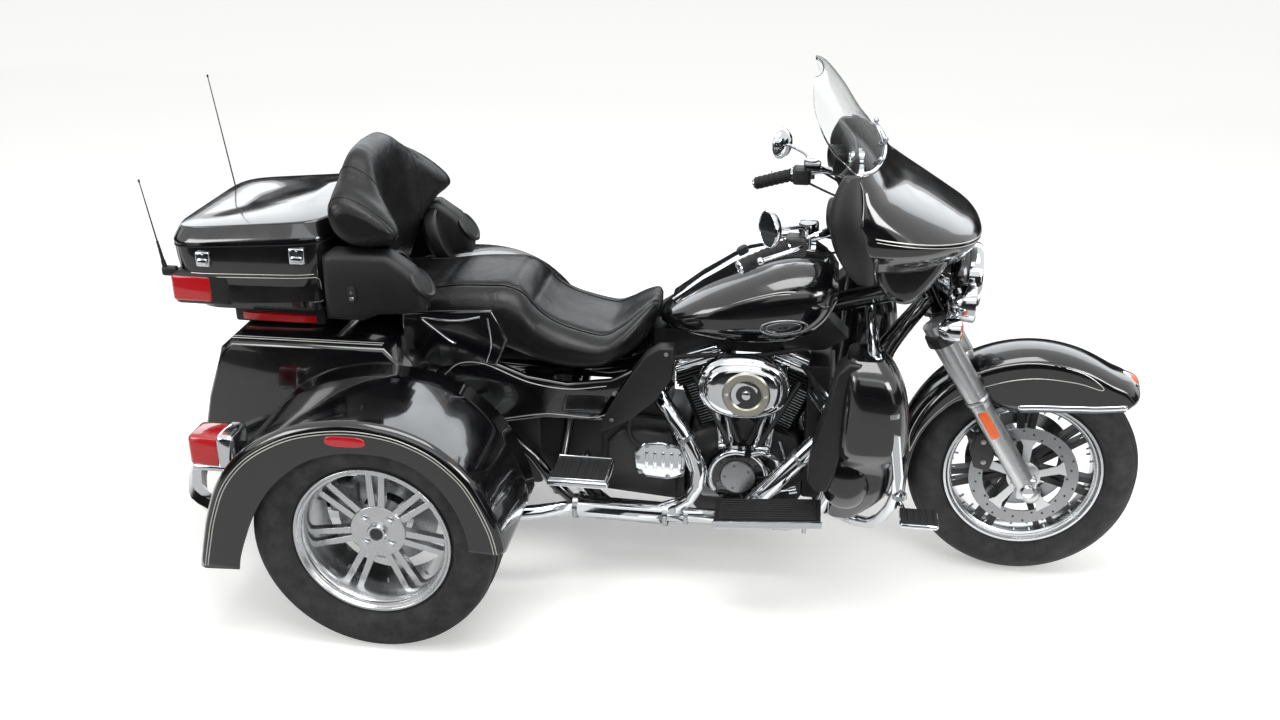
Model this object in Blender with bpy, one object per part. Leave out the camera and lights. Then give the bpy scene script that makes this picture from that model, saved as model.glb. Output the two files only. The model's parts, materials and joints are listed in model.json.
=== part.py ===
"""Full-dress motorized trike: a V-twin front end with a leading fork, and two car-size rear wheels.

Metres. +X runs forward, +Y to the vehicle's left, +Z up, ground at Z = 0.
Stations below are measured from the rear axle; every object hangs from the empty "datum",
which moves the middle of the overall length onto X = 0.
"""

from math import atan2, cos, pi, sin

import bmesh
import bpy
from mathutils import Matrix, Vector

# Overall
REAR_TIP_X = -0.735
WHEELBASE = 1.692
GAP = 0.0003

# Front wheel and tyre (130/90-16)
FRONT_TYRE_R = 0.3195
FRONT_TYRE_W = 0.130
FRONT_RIM_R = 0.2205
FRONT_RIM_W = 0.092

# Rear wheels and tyres (205/65-15)
REAR_TYRE_R = 0.3225
REAR_TYRE_W = 0.205
REAR_RIM_R = 0.2085
REAR_RIM_W = 0.185
REAR_WHEEL_Y = 0.5765
TYRE_WALL = 0.010
WHEEL_STEPS = 28

# Steering geometry: the axis leans 26 degrees, the fork legs 32 degrees
YOKE_Z = 0.752
STEER_OFFSET = 0.01352
STEER_LEAN = 0.4877
LEG_LEAN = 0.6249
LEG_Y = 0.118
SLIDER_R = 0.029
LEG_COVER_R = 0.033

# Rear body
FENDER_OUT_Y = 0.6985
FENDER_IN_Y = 0.3360
FENDER_SKIN = 0.007
TRUNK_HALF_W = 0.3350
TRUNK_TOP_Z = 0.712

# Engine
CRANK_X = 0.909
CRANK_Z = 0.290
V_HALF_ANGLE = pi / 8
BARREL_BASE = 0.165
CYLINDER_R = 0.060
FIN_R = 0.078
FIN_COUNT = 5

# Seat and tank
TUNNEL_HALF_W = 0.0285

# Top case
CASE_SKIN = 0.006
CASE_HALF_W = 0.272

MATERIALS = {
    "gloss_black": ((0.010, 0.010, 0.012), 0.08, 0.0),
    "matte_black": ((0.025, 0.025, 0.027), 0.55, 0.0),
    "chrome": ((0.80, 0.80, 0.81), 0.06, 1.0),
    "aluminium": ((0.70, 0.70, 0.71), 0.25, 1.0),
    "engine_black": ((0.030, 0.030, 0.032), 0.40, 0.3),
    "vinyl": ((0.020, 0.020, 0.021), 0.50, 0.0),
    "rubber": ((0.020, 0.020, 0.020), 0.80, 0.0),
    "red_lens": ((0.45, 0.01, 0.01), 0.15, 0.0),
    "clear": ((0.85, 0.88, 0.90), 0.05, 0.0),
}

for stale in list(bpy.data.objects):
    bpy.data.objects.remove(stale, do_unlink=True)

DATUM = bpy.data.objects.new("datum", None)
bpy.context.scene.collection.objects.link(DATUM)
DATUM.location = (-(WHEELBASE + FRONT_TYRE_R + REAR_TIP_X) / 2, 0.0, 0.0)


def material(name):
    found = bpy.data.materials.get(name)
    if found:
        return found
    colour, roughness, metallic = MATERIALS[name]
    made = bpy.data.materials.new(name)
    made.use_nodes = True
    shader = made.node_tree.nodes["Principled BSDF"]
    shader.inputs["Base Color"].default_value = (*colour, 1.0)
    shader.inputs["Roughness"].default_value = roughness
    shader.inputs["Metallic"].default_value = metallic
    made.diffuse_color = (*colour, 1.0)
    return made


def finish(bm, name, finish_name):
    """The bmesh as an object under the datum; with no material it is a hidden helper."""
    bmesh.ops.remove_doubles(bm, verts=bm.verts, dist=1e-6)
    bmesh.ops.recalc_face_normals(bm, faces=bm.faces)
    mesh = bpy.data.meshes.new(name)
    bm.to_mesh(mesh)
    bm.free()
    obj = bpy.data.objects.new(name, mesh)
    bpy.context.scene.collection.objects.link(obj)
    obj.parent = DATUM
    if finish_name is None:
        hide(obj)
    else:
        mesh.materials.append(material(finish_name))
    return obj


def hide(obj):
    obj.hide_render = True
    obj.display_type = "WIRE"


def combine(target, other, operation="DIFFERENCE"):
    hide(other)
    step = target.modifiers.new(operation.lower(), "BOOLEAN")
    step.operation = operation
    step.solver = "EXACT"
    step.object = other
    return target


def cut(target, *others):
    for other in others:
        combine(target, other)
    return target


def union(target, *others):
    for other in others:
        combine(target, other, "UNION")
    return target


def clear(target, *neighbours, gap=GAP):
    """Cuts each neighbour out of the target, with a small gap all round."""
    for neighbour in neighbours:
        grown = neighbour.copy()
        grown.name = "clear_" + neighbour.name
        bpy.context.scene.collection.objects.link(grown)
        step = grown.modifiers.new("grow", "DISPLACE")
        step.strength = gap
        step.mid_level = 0.0
        combine(target, grown)
    return target


def place(obj, pivot):
    """Moves the object's origin to its joint axis without moving its shape."""
    obj.data.transform(Matrix.Translation(-Vector(pivot)))
    obj.location = pivot
    return obj


def round_off(bm, edges, width, rows):
    bmesh.ops.bevel(bm, geom=edges, offset=width, segments=rows, profile=0.5, affect="EDGES", material=-1)


def loft(rings, name, finish_name):
    bm = bmesh.new()
    loops = []
    for ring in rings:
        corners = [bm.verts.new(p) for p in ring]
        loops.append([bm.edges.new((corners[i - 1], corners[i])) for i in range(len(corners))])
    for near, far in zip(loops, loops[1:]):
        bmesh.ops.bridge_loops(bm, edges=near + far)
    for end in (loops[0], loops[-1]):
        bmesh.ops.edgeloop_fill(bm, edges=end)
    return finish(bm, name, finish_name)


def prism(outline, y_low, y_high, name, finish_name, bevel=0.0, rows=2):
    """An X-Z outline extruded across Y, with rounded side edges."""
    bm = bmesh.new()
    face = bm.faces.new([bm.verts.new((x, y_low, z)) for x, z in outline])
    made = bmesh.ops.extrude_face_region(bm, geom=[face])
    tops = [v for v in made["geom"] if isinstance(v, bmesh.types.BMVert)]
    bmesh.ops.translate(bm, verts=tops, vec=(0.0, y_high - y_low, 0.0))
    if bevel:
        rims = [e for e in bm.edges if abs(e.verts[0].co.y - e.verts[1].co.y) < 1e-6]
        round_off(bm, rims, bevel, rows)
    return finish(bm, name, finish_name)


def block(x, y, z, name, finish_name, bevel=0.0, rows=2):
    """A box between pairs of stations, with every edge rounded."""
    bm = bmesh.new()
    bmesh.ops.create_cube(bm, size=1.0)
    bmesh.ops.scale(bm, vec=(x[1] - x[0], y[1] - y[0], z[1] - z[0]), verts=bm.verts)
    middle = [(a + b) / 2 for a, b in (x, y, z)]
    bmesh.ops.translate(bm, vec=middle, verts=bm.verts)
    if bevel:
        round_off(bm, bm.edges[:], bevel, rows)
    return finish(bm, name, finish_name)


def turned(centre, along):
    """A matrix that carries +Z onto a direction and the origin onto a centre."""
    swing = Vector(along).to_track_quat("Z", "Y").to_matrix().to_4x4()
    return Matrix.Translation(Vector(centre)) @ swing


def lathe(profile, centre, along, name, finish_name, steps=36):
    """A closed (radius, height) profile spun about an axis."""
    bm = bmesh.new()
    corners = [bm.verts.new((r, 0.0, h)) for r, h in profile]
    edges = [bm.edges.new((corners[i - 1], corners[i])) for i in range(len(corners))]
    bmesh.ops.spin(
        bm, geom=corners + edges, cent=(0, 0, 0), axis=(0, 0, 1), angle=2 * pi, steps=steps, use_merge=True
    )
    bmesh.ops.remove_doubles(bm, verts=bm.verts, dist=1e-6)
    bmesh.ops.dissolve_degenerate(bm, edges=bm.edges, dist=1e-7)
    bmesh.ops.transform(bm, matrix=turned(centre, along), verts=bm.verts)
    return finish(bm, name, finish_name)


def rod(start, end, radius, name, finish_name, sides=16):
    span = Vector(end) - Vector(start)
    bm = bmesh.new()
    bmesh.ops.create_cone(bm, cap_ends=True, segments=sides, radius1=radius, radius2=radius, depth=span.length)
    bmesh.ops.transform(bm, matrix=turned((Vector(start) + Vector(end)) / 2, span), verts=bm.verts)
    return finish(bm, name, finish_name)


def bent(points, radius, turns=2):
    """The polyline with each corner rounded to a radius."""
    points = [Vector(p) for p in points]
    out = [points[0]]
    for before, here, after in zip(points, points[1:], points[2:]):
        back = (before - here).normalized()
        on = (after - here).normalized()
        reach = min(radius, (before - here).length * 0.45, (after - here).length * 0.45)
        for i in range(turns + 1):
            t = i / turns
            a = here + back * reach * (1 - t) ** 2
            out.append(a + on * reach * t**2)
    out.append(points[-1])
    return out


def tube(points, radius, name, finish_name, bend=0.05, sides=2):
    """A round tube along a path, made by a bevelled curve with filled caps."""
    curve = bpy.data.curves.new(name + "_path", "CURVE")
    curve.dimensions = "3D"
    curve.bevel_depth = radius
    curve.bevel_resolution = sides
    curve.use_fill_caps = True
    path = bent(points, bend)
    line = curve.splines.new("POLY")
    line.points.add(len(path) - 1)
    for spot, p in zip(line.points, path):
        spot.co = (*p, 1.0)
    holder = bpy.data.objects.new(name + "_path", curve)
    bpy.context.scene.collection.objects.link(holder)
    bpy.context.view_layer.update()
    mesh = bpy.data.meshes.new_from_object(holder.evaluated_get(bpy.context.evaluated_depsgraph_get()))
    bpy.data.objects.remove(holder)
    bm = bmesh.new()
    bm.from_mesh(mesh)
    bpy.data.meshes.remove(mesh)
    return finish(bm, name, finish_name)


def mirrored(points):
    return [(x, -y, z) for x, y, z in points]


def inset(outline, depth):
    """A closed outline moved inwards; counter-clockwise or clockwise alike."""
    area = sum(a[0] * b[1] - b[0] * a[1] for a, b in zip(outline, outline[1:] + outline[:1])) / 2
    sign = 1.0 if area > 0 else -1.0
    out = []
    for i, here in enumerate(outline):
        before = Vector(outline[i - 1])
        here = Vector(here)
        after = Vector(outline[(i + 1) % len(outline)])
        d1 = (here - before).normalized()
        d2 = (after - here).normalized()
        n1 = Vector((-d1.y, d1.x)) * sign
        n2 = Vector((-d2.y, d2.x)) * sign
        bisector = (n1 + n2).normalized()
        out.append(tuple(here + bisector * depth / max(0.4, bisector.dot(n1))))
    return out


def signed_power(value, power):
    return (abs(value) ** power) * (1 if value >= 0 else -1)


def ring_yz(x, half_w, z_low, z_high, count=16, squareness=3.0, y_mid=0.0):
    out = []
    for i in range(count):
        t = 2 * pi * (i + 0.5) / count
        y = y_mid + half_w * signed_power(cos(t), 2 / squareness)
        z = (z_low + z_high) / 2 + (z_high - z_low) / 2 * signed_power(sin(t), 2 / squareness)
        out.append((x, y, z))
    return out


def ring_xy(x_low, x_high, half_w, z_rear, z_front, count=20, squareness=4.0, y_mid=0.0):
    out = []
    for i in range(count):
        t = 2 * pi * (i + 0.5) / count
        share = (1 + signed_power(cos(t), 2 / squareness)) / 2
        y = y_mid + half_w * signed_power(sin(t), 2 / squareness)
        out.append((x_low + (x_high - x_low) * share, y, z_rear + (z_front - z_rear) * share))
    return out


def leg_x(z):
    return WHEELBASE - LEG_LEAN * (z - FRONT_TYRE_R)


def steer_x(z):
    return leg_x(YOKE_Z) + STEER_OFFSET - STEER_LEAN * (z - YOKE_Z)


STEER_UP = Vector((-STEER_LEAN, 0.0, 1.0)).normalized()
LEG_UP = Vector((-LEG_LEAN, 0.0, 1.0)).normalized()
FRONT_AXLE = (WHEELBASE, 0.0, FRONT_TYRE_R)


def tyre(radius, width, rim_r, rim_w, shoulder, centre, name):
    """A hollow carcass, open towards the rim; the shoulder is (drop, share of the half width) rows."""
    seat = rim_r - 0.0174
    hold = rim_w / 2 - 0.0097
    half = width / 2
    wall = TYRE_WALL
    outer = [(seat, hold), (rim_r + 0.004, hold), (rim_r + 0.030, half)]
    outer += [(radius - drop, half * share) for drop, share in shoulder]
    crown = radius - shoulder[0][0]
    inner = [(seat, hold - wall), (rim_r + 0.010, hold - wall), (crown, half - wall), (radius - 0.016, 0.0)]
    profile = outer + [(r, -h) for r, h in reversed(outer)]
    profile += [(r, -h) for r, h in inner[:-1]] + list(reversed(inner))
    return lathe(profile, centre, (0, 1, 0), name, "rubber", steps=WHEEL_STEPS)


def spoked_wheel(rim_r, rim_w, hub_r, hub_ends, face_out, web, centre, side, name, windows=7):
    """A cast wheel: barrel, web and hub in one turned section, windows cut between the spokes."""
    flange = rim_w / 2
    hold = flange - 0.0092
    seat = rim_r - 0.0180
    barrel = seat - 0.012
    web_out = face_out
    web_in = face_out - web
    profile = [
        (rim_r, flange), (rim_r, hold), (seat, hold), (seat, -hold), (rim_r, -hold), (rim_r, -flange),
        (barrel, -flange + 0.006), (barrel, web_in), (hub_r, web_in - 0.004), (hub_r, hub_ends[0]),
        (0.018, hub_ends[0]), (0.018, hub_ends[1]), (hub_r, hub_ends[1]), (hub_r, web_out + 0.004),
        (barrel, web_out), (barrel, flange - 0.006),
    ]
    wheel = lathe([(r, h * side) for r, h in profile], centre, (0, 1, 0), name, "aluminium", steps=WHEEL_STEPS)
    bm = bmesh.new()
    pitch = 2 * pi / windows
    near = hub_r + 0.012
    far = barrel - 0.010
    for i in range(windows):
        for offset, spread_near, spread_far in ((0.0, 0.50, 0.64), (0.5, 0.20, 0.22)):
            middle = pi / 2 + (i + offset) * pitch
            corners = []
            for r, spread in ((near, spread_near), (near, -spread_near), (far, -spread_far), (far, spread_far)):
                a = middle + spread * pitch / 2
                corners.append((centre[0] + r * cos(a), centre[2] + r * sin(a)))
            face = bm.faces.new([bm.verts.new((x, centre[1] - 0.12, z)) for x, z in corners])
            made = bmesh.ops.extrude_face_region(bm, geom=[face])
            tops = [v for v in made["geom"] if isinstance(v, bmesh.types.BMVert)]
            bmesh.ops.translate(bm, verts=tops, vec=(0.0, 0.24, 0.0))
    return cut(wheel, finish(bm, name + "_windows", None))


def disc(centre, inner_r, outer_r, thick, name):
    half = thick / 2
    profile = [(inner_r, half), (outer_r, half), (outer_r, -half), (inner_r, -half)]
    return lathe(profile, centre, (0, 1, 0), name, "aluminium", steps=20)


ROUND_TREAD = ((0.055, 1.0), (0.019, 0.76), (0.0, 0.34))
CAR_TREAD = ((0.030, 1.0), (0.008, 0.86), (0.0, 0.5))


def wheels():
    tyre(FRONT_TYRE_R, FRONT_TYRE_W, FRONT_RIM_R, FRONT_RIM_W, ROUND_TREAD, FRONT_AXLE, "tyre_front")
    front = spoked_wheel(FRONT_RIM_R, FRONT_RIM_W, 0.040, (-0.0625, 0.0625), 0.016, 0.022, FRONT_AXLE, 1,
                         "wheel_front")
    for y in (-0.056, 0.056):
        plate = disc((WHEELBASE, y, FRONT_TYRE_R), 0.030, 0.150, 0.005, "disc_front_" + ("r" if y < 0 else "l"))
        union(front, plate)
    for name, side in (("right", -1), ("left", 1)):
        centre = (0.0, side * REAR_WHEEL_Y, REAR_TYRE_R)
        tyre(REAR_TYRE_R, REAR_TYRE_W, REAR_RIM_R, REAR_RIM_W, CAR_TREAD, centre, "tyre_rear_" + name)
        wheel = spoked_wheel(REAR_RIM_R, REAR_RIM_W, 0.055, (-0.056, 0.044), 0.038, 0.026, centre, side,
                             "wheel_rear_" + name)
        cap = lathe([(0.0, 0.030), (0.052, 0.030), (0.046, 0.052), (0.0, 0.056)],
                    centre, (0, side, 0), "rear_cap_" + name, None, 24)
        rotor = disc((0.0, side * (REAR_WHEEL_Y - 0.048), REAR_TYRE_R), 0.026, 0.140, 0.010, "rotor_" + name)
        union(wheel, cap, rotor)


AHEAD = steer_x(0.0) - 1.802
FRAME_TUBES = (
    # name, radius, corner radius, path on one side (x, y, z), how it reaches the other side
    ("backbone", 0.028, 0.08,
     ((1.385 + AHEAD, 0, 0.855), (0.70, 0, 0.672), (0.59, 0, 0.548), (0.0206, 0, 0.548)), "single"),
    ("down_rail", 0.017, 0.09,
     ((1.392 + AHEAD, 0.0195, 0.825), (1.300 + AHEAD, 0.034, 0.690), (1.168, 0.150, 0.440), (1.120, 0.160, 0.172),
      (0.420, 0.160, 0.172), (0.260, 0.150, 0.400), (-0.118, 0.150, 0.404)), "pair"),
    ("seat_post", 0.014, 0.05, ((0.380, 0.158, 0.215), (0.430, 0.120, 0.545), (0.420, 0.0, 0.548)), "arch"),
    ("rear_post", 0.014, 0.05, ((0.100, 0.150, 0.402), (0.100, 0.120, 0.560), (0.100, 0.0, 0.560)), "arch"),
    ("front_cross", 0.014, 0.05, ((1.120, 0.160, 0.180), (1.120, 0.0, 0.180)), "arch"),
    ("rear_cross", 0.014, 0.05, ((0.440, 0.160, 0.172), (0.440, 0.0, 0.172)), "arch"),
    ("rider_stay", 0.010, 0.03,
     ((1.075, 0.160, 0.176), (1.075, 0.180, 0.262), (1.075, 0.306, 0.268), (1.075, 0.3085, 0.3116)), "pair"),
    ("pillion_stay", 0.010, 0.03, ((0.355, 0.150, 0.250), (0.487, 0.235, 0.396), (0.487, 0.2845, 0.396)), "pair"),
)


def frame():
    neck_low = Vector((steer_x(0.79), 0, 0.79))
    height = 0.165
    neck = lathe([(0.021, 0.0), (0.034, 0.0), (0.034, height), (0.021, height)],
                 neck_low, STEER_UP, "frame", "gloss_black", 20)
    for name, radius, bend, path, reach in FRAME_TUBES:
        if reach == "arch":
            path = path + tuple(reversed(mirrored(path[:-1])))
        union(neck, tube(path, radius, name, None, bend, 1))
        if reach == "pair":
            union(neck, tube(mirrored(path), radius, name + "_left", None, bend, 1))
    bore = rod(neck_low - STEER_UP * 0.1, neck_low + STEER_UP * (height + 0.1), 0.0205, "neck_bore", None, 20)
    carrier = block((-0.075, -0.055), (-0.30, 0.30), (REAR_TYRE_R - 0.042, 0.40), "carrier_plate", None)
    return cut(neck, bore), carrier


def axle():
    profile = [
        (0.0, -0.468), (0.015, -0.468), (0.015, -0.452), (0.038, -0.452), (0.038, -0.12), (0.062, -0.09),
        (0.088, -0.045), (0.088, 0.045), (0.062, 0.09), (0.038, 0.12), (0.038, 0.452), (0.015, 0.452),
        (0.015, 0.468), (0.0, 0.468),
    ]
    housing = lathe(profile, (0, 0, REAR_TYRE_R), (0, 1, 0), "rear_axle", "engine_black", 14)
    for side in (-1, 1):
        shaft = rod((0, side * 0.44, REAR_TYRE_R), (0, side * (REAR_WHEEL_Y - 0.001), REAR_TYRE_R), 0.0165,
                    "stub_shaft", None, 16)
        union(housing, shaft)
    return housing


CASE_OUTLINE = (
    (1.045, 0.175), (1.080, 0.235), (1.075, 0.340), (1.050, 0.440), (0.909, 0.505), (0.768, 0.440),
    (0.745, 0.350), (0.745, 0.200), (0.790, 0.150), (1.000, 0.150),
)


def along_bank(lean, distance, across=0.0):
    """A point in the plane of the V: a distance up a cylinder's axis, and across it."""
    x = CRANK_X + sin(lean) * distance + cos(lean) * across
    return (x, CRANK_Z + cos(lean) * distance - sin(lean) * across)


def cylinder(lean, name):
    """Barrel with fins, finned head and rocker cover, standing on the crankcase deck."""
    base = BARREL_BASE
    profile = [(0.0, base), (CYLINDER_R, base)]
    step = 0.0262
    height = base + 0.012
    for _ in range(FIN_COUNT):
        profile += [(CYLINDER_R, height), (FIN_R, height), (FIN_R, height + 0.009), (CYLINDER_R, height + 0.009)]
        height += step
    profile += [(CYLINDER_R, height), (0.0, height)]
    axis = (sin(lean), 0, cos(lean))
    centre = (CRANK_X, 0, CRANK_Z)
    barrel = lathe(profile, centre, axis, name, "engine_black", 14)
    head = [along_bank(lean, d, a) for d, a in (
        (height - 0.004, -0.068), (height - 0.004, 0.068), (height + 0.052, 0.080), (height + 0.052, -0.080))]
    cover = [along_bank(lean, d, a) for d, a in (
        (height + 0.050, -0.072), (height + 0.050, 0.072), (height + 0.082, 0.060), (height + 0.082, -0.060))]
    head_body = prism(head, -0.092, 0.092, name + "_head", None, 0.004, 1)
    cover_body = prism(cover, -0.086, 0.086, name + "_cover", None, 0.010, 2)
    union(barrel, head_body, cover_body)
    deck = [along_bank(lean, d, a) for d, a in (
        (base - GAP, -0.12), (base - GAP, 0.12), (0.60, 0.12), (0.60, -0.12))]
    return barrel, prism(deck, -0.14, 0.14, name + "_deck_cutter", None)


def engine():
    cases = prism(CASE_OUTLINE, -0.105, 0.105, "crankcase", "aluminium", 0.008, 1)
    front, front_deck = cylinder(V_HALF_ANGLE, "cylinder_front")
    rear, rear_deck = cylinder(-V_HALF_ANGLE, "cylinder_rear")
    cut(cases, front_deck, rear_deck)
    cam = lathe([(0.0, 0.0), (0.088, 0.0), (0.088, 0.040), (0.074, 0.052), (0.0, 0.058)],
                (0.897, -0.100, 0.310), (0, -1, 0), "cam_cover", None, 24)
    tappets = block((0.845, 0.975), (-0.140, -0.098), (0.345, 0.385), "tappet_block", None, 0.006, 1)
    mount = block((0.980, 1.030), (-0.150, 0.150), (0.152, 0.190), "engine_mount", None)
    union(cases, cam, tappets, mount)
    for bank, near, far in ((front, 0.60, CRANK_X + GAP), (rear, CRANK_X - GAP, 1.30)):
        half_space = ((near, 0.30), (far, 0.30), (far, 0.80), (near, 0.80))
        cut(bank, prism(half_space, -0.2, 0.2, "bank_split", None))
    for bank, lean in (("front", V_HALF_ANGLE), ("rear", -V_HALF_ANGLE)):
        for offset in (-0.024, 0.024):
            low = along_bank(lean * 0.55, 0.088, offset * 0.6)
            high = along_bank(lean, 0.325, offset)
            ends = ((low[0], -0.122, low[1]), (high[0], -0.090, high[1]))
            pushrod = rod(*ends, 0.0085, "pushrod_" + bank, None, 10)
            union(cases, pushrod)
    clear(front, cases)
    clear(rear, cases)
    return cases, front, rear


PRIMARY_OUTLINE = (
    (0.560, 0.205), (0.930, 0.196), (1.010, 0.212), (1.055, 0.265), (1.050, 0.330), (1.000, 0.395),
    (0.930, 0.410), (0.600, 0.400), (0.530, 0.370), (0.495, 0.300), (0.510, 0.230),
)
GEARBOX_OUTLINE = (
    (0.500, 0.220), (0.7446, 0.200), (0.7446, 0.400), (0.715, 0.450), (0.560, 0.455), (0.505, 0.400),
)


def drive_line():
    primary = prism(PRIMARY_OUTLINE, 0.106, 0.200, "primary_cover", "chrome", 0.020, 2)
    gearbox = prism(GEARBOX_OUTLINE, -0.128, 0.105, "gearbox", "aluminium", 0.012, 2)
    cover = prism(inset(list(GEARBOX_OUTLINE), 0.022), -0.158, -0.120, "gearbox_cover", None, 0.010, 2)
    union(gearbox, cover)
    outline = []
    for i in range(24):
        t = 2 * pi * i / 24
        outline.append((0.906 + 0.122 * signed_power(cos(t), 0.8), 0.619 + 0.088 * signed_power(sin(t), 0.8)))
    cleaner = prism(outline, -0.285, -0.205, "air_cleaner", "chrome", 0.018, 2)
    stem = block((0.868, 0.950), (-0.210, -0.030), (0.575, 0.630), "intake_stem", None, 0.006, 1)
    union(cleaner, stem)
    return primary, gearbox, cleaner


EXHAUST_TUBES = (
    # name, radius, corner radius, path
    ("front_header", 0.0225, 0.07, ((1.090, -0.080, 0.560), (1.155, -0.190, 0.520), (1.150, -0.216, 0.300),
                                    (1.090, -0.216, 0.205), (0.700, -0.215, 0.205))),
    ("rear_header", 0.0225, 0.07, ((0.690, -0.100, 0.560), (0.665, -0.150, 0.545), (0.740, -0.200, 0.470),
                                   (0.800, -0.212, 0.350), (0.775, -0.214, 0.250), (0.660, -0.215, 0.205))),
    ("collector", 0.032, 0.05, ((0.700, -0.215, 0.205), (0.440, -0.220, 0.212))),
    ("right_pipe", 0.022, 0.10, ((0.470, -0.220, 0.212), (0.300, -0.280, 0.205), (0.180, -0.285, 0.200))),
    ("cross_pipe", 0.020, 0.08, ((0.560, -0.215, 0.205), (0.380, -0.060, 0.235), (0.350, 0.120, 0.235),
                                 (0.250, 0.280, 0.205), (0.180, 0.285, 0.200))),
)


def exhaust():
    first = EXHAUST_TUBES[0]
    pipe = tube(first[3], first[1], "exhaust_pipes", "chrome", first[2], 1)
    for name, radius, bend, path in EXHAUST_TUBES[1:]:
        union(pipe, tube(path, radius, name, None, bend, 1))
    mufflers = []
    profile = [(0.0, 0.0), (0.030, 0.0), (0.044, 0.04), (0.044, 0.62), (0.036, 0.66), (0.030, 0.66), (0.030, 0.58),
               (0.0, 0.58)]
    for name, side in (("right", -1), ("left", 1)):
        mouth = (0.1795, side * 0.285, 0.200)
        mufflers.append(lathe(profile, mouth, (-1, 0, 0.02), "muffler_" + name, "chrome", 20))
    return pipe, mufflers


TANK_RINGS = (
    # x, half width, lowest z, highest z
    (0.664, 0.060, 0.722, 0.750),
    (0.705, 0.110, 0.708, 0.784),
    (0.780, 0.148, 0.696, 0.834),
    (0.880, 0.172, 0.688, 0.882),
    (0.980, 0.181, 0.692, 0.920),
    (1.060, 0.175, 0.714, 0.928),
    (1.115, 0.150, 0.760, 0.914),
    (1.142, 0.105, 0.812, 0.884),
)
SEAT_RINGS = (
    # x, half width, lowest z, highest z
    (-0.186, 0.150, 0.735, 0.812),
    (-0.040, 0.178, 0.722, 0.818),
    (0.026, 0.184, 0.700, 0.822),
    (0.112, 0.188, 0.668, 0.838),
    (0.200, 0.192, 0.655, 0.844),
    (0.245, 0.192, 0.640, 0.845),
    (0.289, 0.193, 0.624, 0.828),
    (0.332, 0.195, 0.612, 0.780),
    (0.376, 0.198, 0.605, 0.749),
    (0.430, 0.200, 0.602, 0.729),
    (0.508, 0.198, 0.612, 0.712),
    (0.553, 0.182, 0.628, 0.730),
    (0.600, 0.148, 0.655, 0.764),
    (0.640, 0.095, 0.705, 0.788),
    (0.656, 0.060, 0.742, 0.780),
)


def tank_and_seat():
    tank = loft([ring_yz(x, w, lo, hi, 18, 2.7) for x, w, lo, hi in TANK_RINGS], "fuel_tank", "gloss_black")
    tunnel = prism(((0.60, 0.55), (1.20, 0.55), (1.20, 0.8352), (0.60, 0.6749)), -TUNNEL_HALF_W, TUNNEL_HALF_W,
                   "tank_tunnel", None)
    cut(tank, tunnel)
    top = ((0.690, 0.788), (0.731, 0.820), (0.772, 0.853), (0.814, 0.880), (0.854, 0.907), (0.895, 0.929),
           (0.985, 0.950), (1.075, 0.954), (1.110, 0.930), (1.100, 0.890), (0.700, 0.760))
    console = prism(top, -0.048, 0.048, "console", "chrome", 0.010, 2)
    clear(console, tank)
    seat = loft([ring_yz(x, w, lo, hi, 16, 3.0) for x, w, lo, hi in SEAT_RINGS], "seat", "vinyl")
    union(seat, block((0.120, 0.500), (-0.050, 0.050), (0.5765, 0.690), "seat_pan", None))
    return tank, console, seat


BACK_ROWS = (
    # |y|, rear x, front x, lowest z, highest z at the rear, how much lower the top is at the front
    (0.000, -0.197, -0.096, 0.800, 1.208, 0.03),
    (0.100, -0.197, -0.092, 0.800, 1.200, 0.03),
    (0.158, -0.196, -0.066, 0.872, 1.180, 0.05),
    (0.205, -0.195, -0.026, 0.962, 1.162, 0.09),
    (0.242, -0.194, -0.016, 0.980, 1.148, 0.10),
    (0.272, -0.190, -0.020, 0.988, 1.128, 0.09),
    (0.291, -0.160, -0.050, 1.010, 1.085, 0.05),
)


def backrest():
    """The passenger's back pad with its two wrap-around arms, one padded saddle."""
    rings = []
    rows = [(-y, *rest) for y, *rest in reversed(BACK_ROWS[1:])] + [tuple(row) for row in BACK_ROWS]
    for y, rear, front, low, high, drop in rows:
        ring = []
        for i in range(16):
            t = 2 * pi * (i + 0.5) / 16
            share = (1 + signed_power(cos(t), 0.62)) / 2
            up = signed_power(sin(t), 0.62)
            top = high - drop * share
            middle = (low + high) / 2
            z = middle + (top - middle if up > 0 else middle - low) * up
            ring.append((rear + (front - rear) * share - 0.055 * (z - 1.0), y, z))
        rings.append(ring)
    return loft(rings, "backrest", "vinyl")


def speakers():
    made = []
    shape = ((-0.222, 0.762), (-0.222, 0.940), (-0.196, 0.956), (-0.040, 0.955), (0.020, 0.915), (0.056, 0.860),
             (0.056, 0.800), (0.000, 0.788), (-0.075, 0.782), (-0.120, 0.762))
    for name, side in (("right", -1), ("left", 1)):
        y0, y1 = sorted((side * 0.205, side * 0.285))
        made.append(prism(shape, y0, y1, "speaker_" + name, "matte_black", 0.020, 2))
    return made


CASE_RINGS = (
    # rear x, front x, half width, z at rear, z at front
    (-0.606, -0.222, 0.252, 0.768, 0.776),
    (-0.646, -0.209, 0.266, 0.840, 0.850),
    (-0.659, -0.204, 0.272, 0.900, 0.925),
    (-0.663, -0.202, 0.272, 0.944, 0.978),
)
LID_RINGS = (
    (-0.664, -0.202, 0.273, 0.946, 0.980),
    (-0.664, -0.204, 0.270, 0.960, 0.994),
    (-0.645, -0.222, 0.245, 0.976, 1.020),
    (-0.600, -0.255, 0.190, 0.990, 1.036),
    (-0.510, -0.310, 0.090, 1.010, 1.042),
)


def shrunk(rings, skin, end_shift):
    """Inner skin of a stack of rings; one end is carried past the open edge."""
    out = []
    last = len(rings) - 1
    for i, (rear, front, half, z_rear, z_front) in enumerate(rings):
        dz = end_shift[0] if i == 0 else end_shift[1] if i == last else 0.0
        out.append((rear + skin, front - skin, half - skin, z_rear + dz, z_front + dz))
    return out


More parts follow.
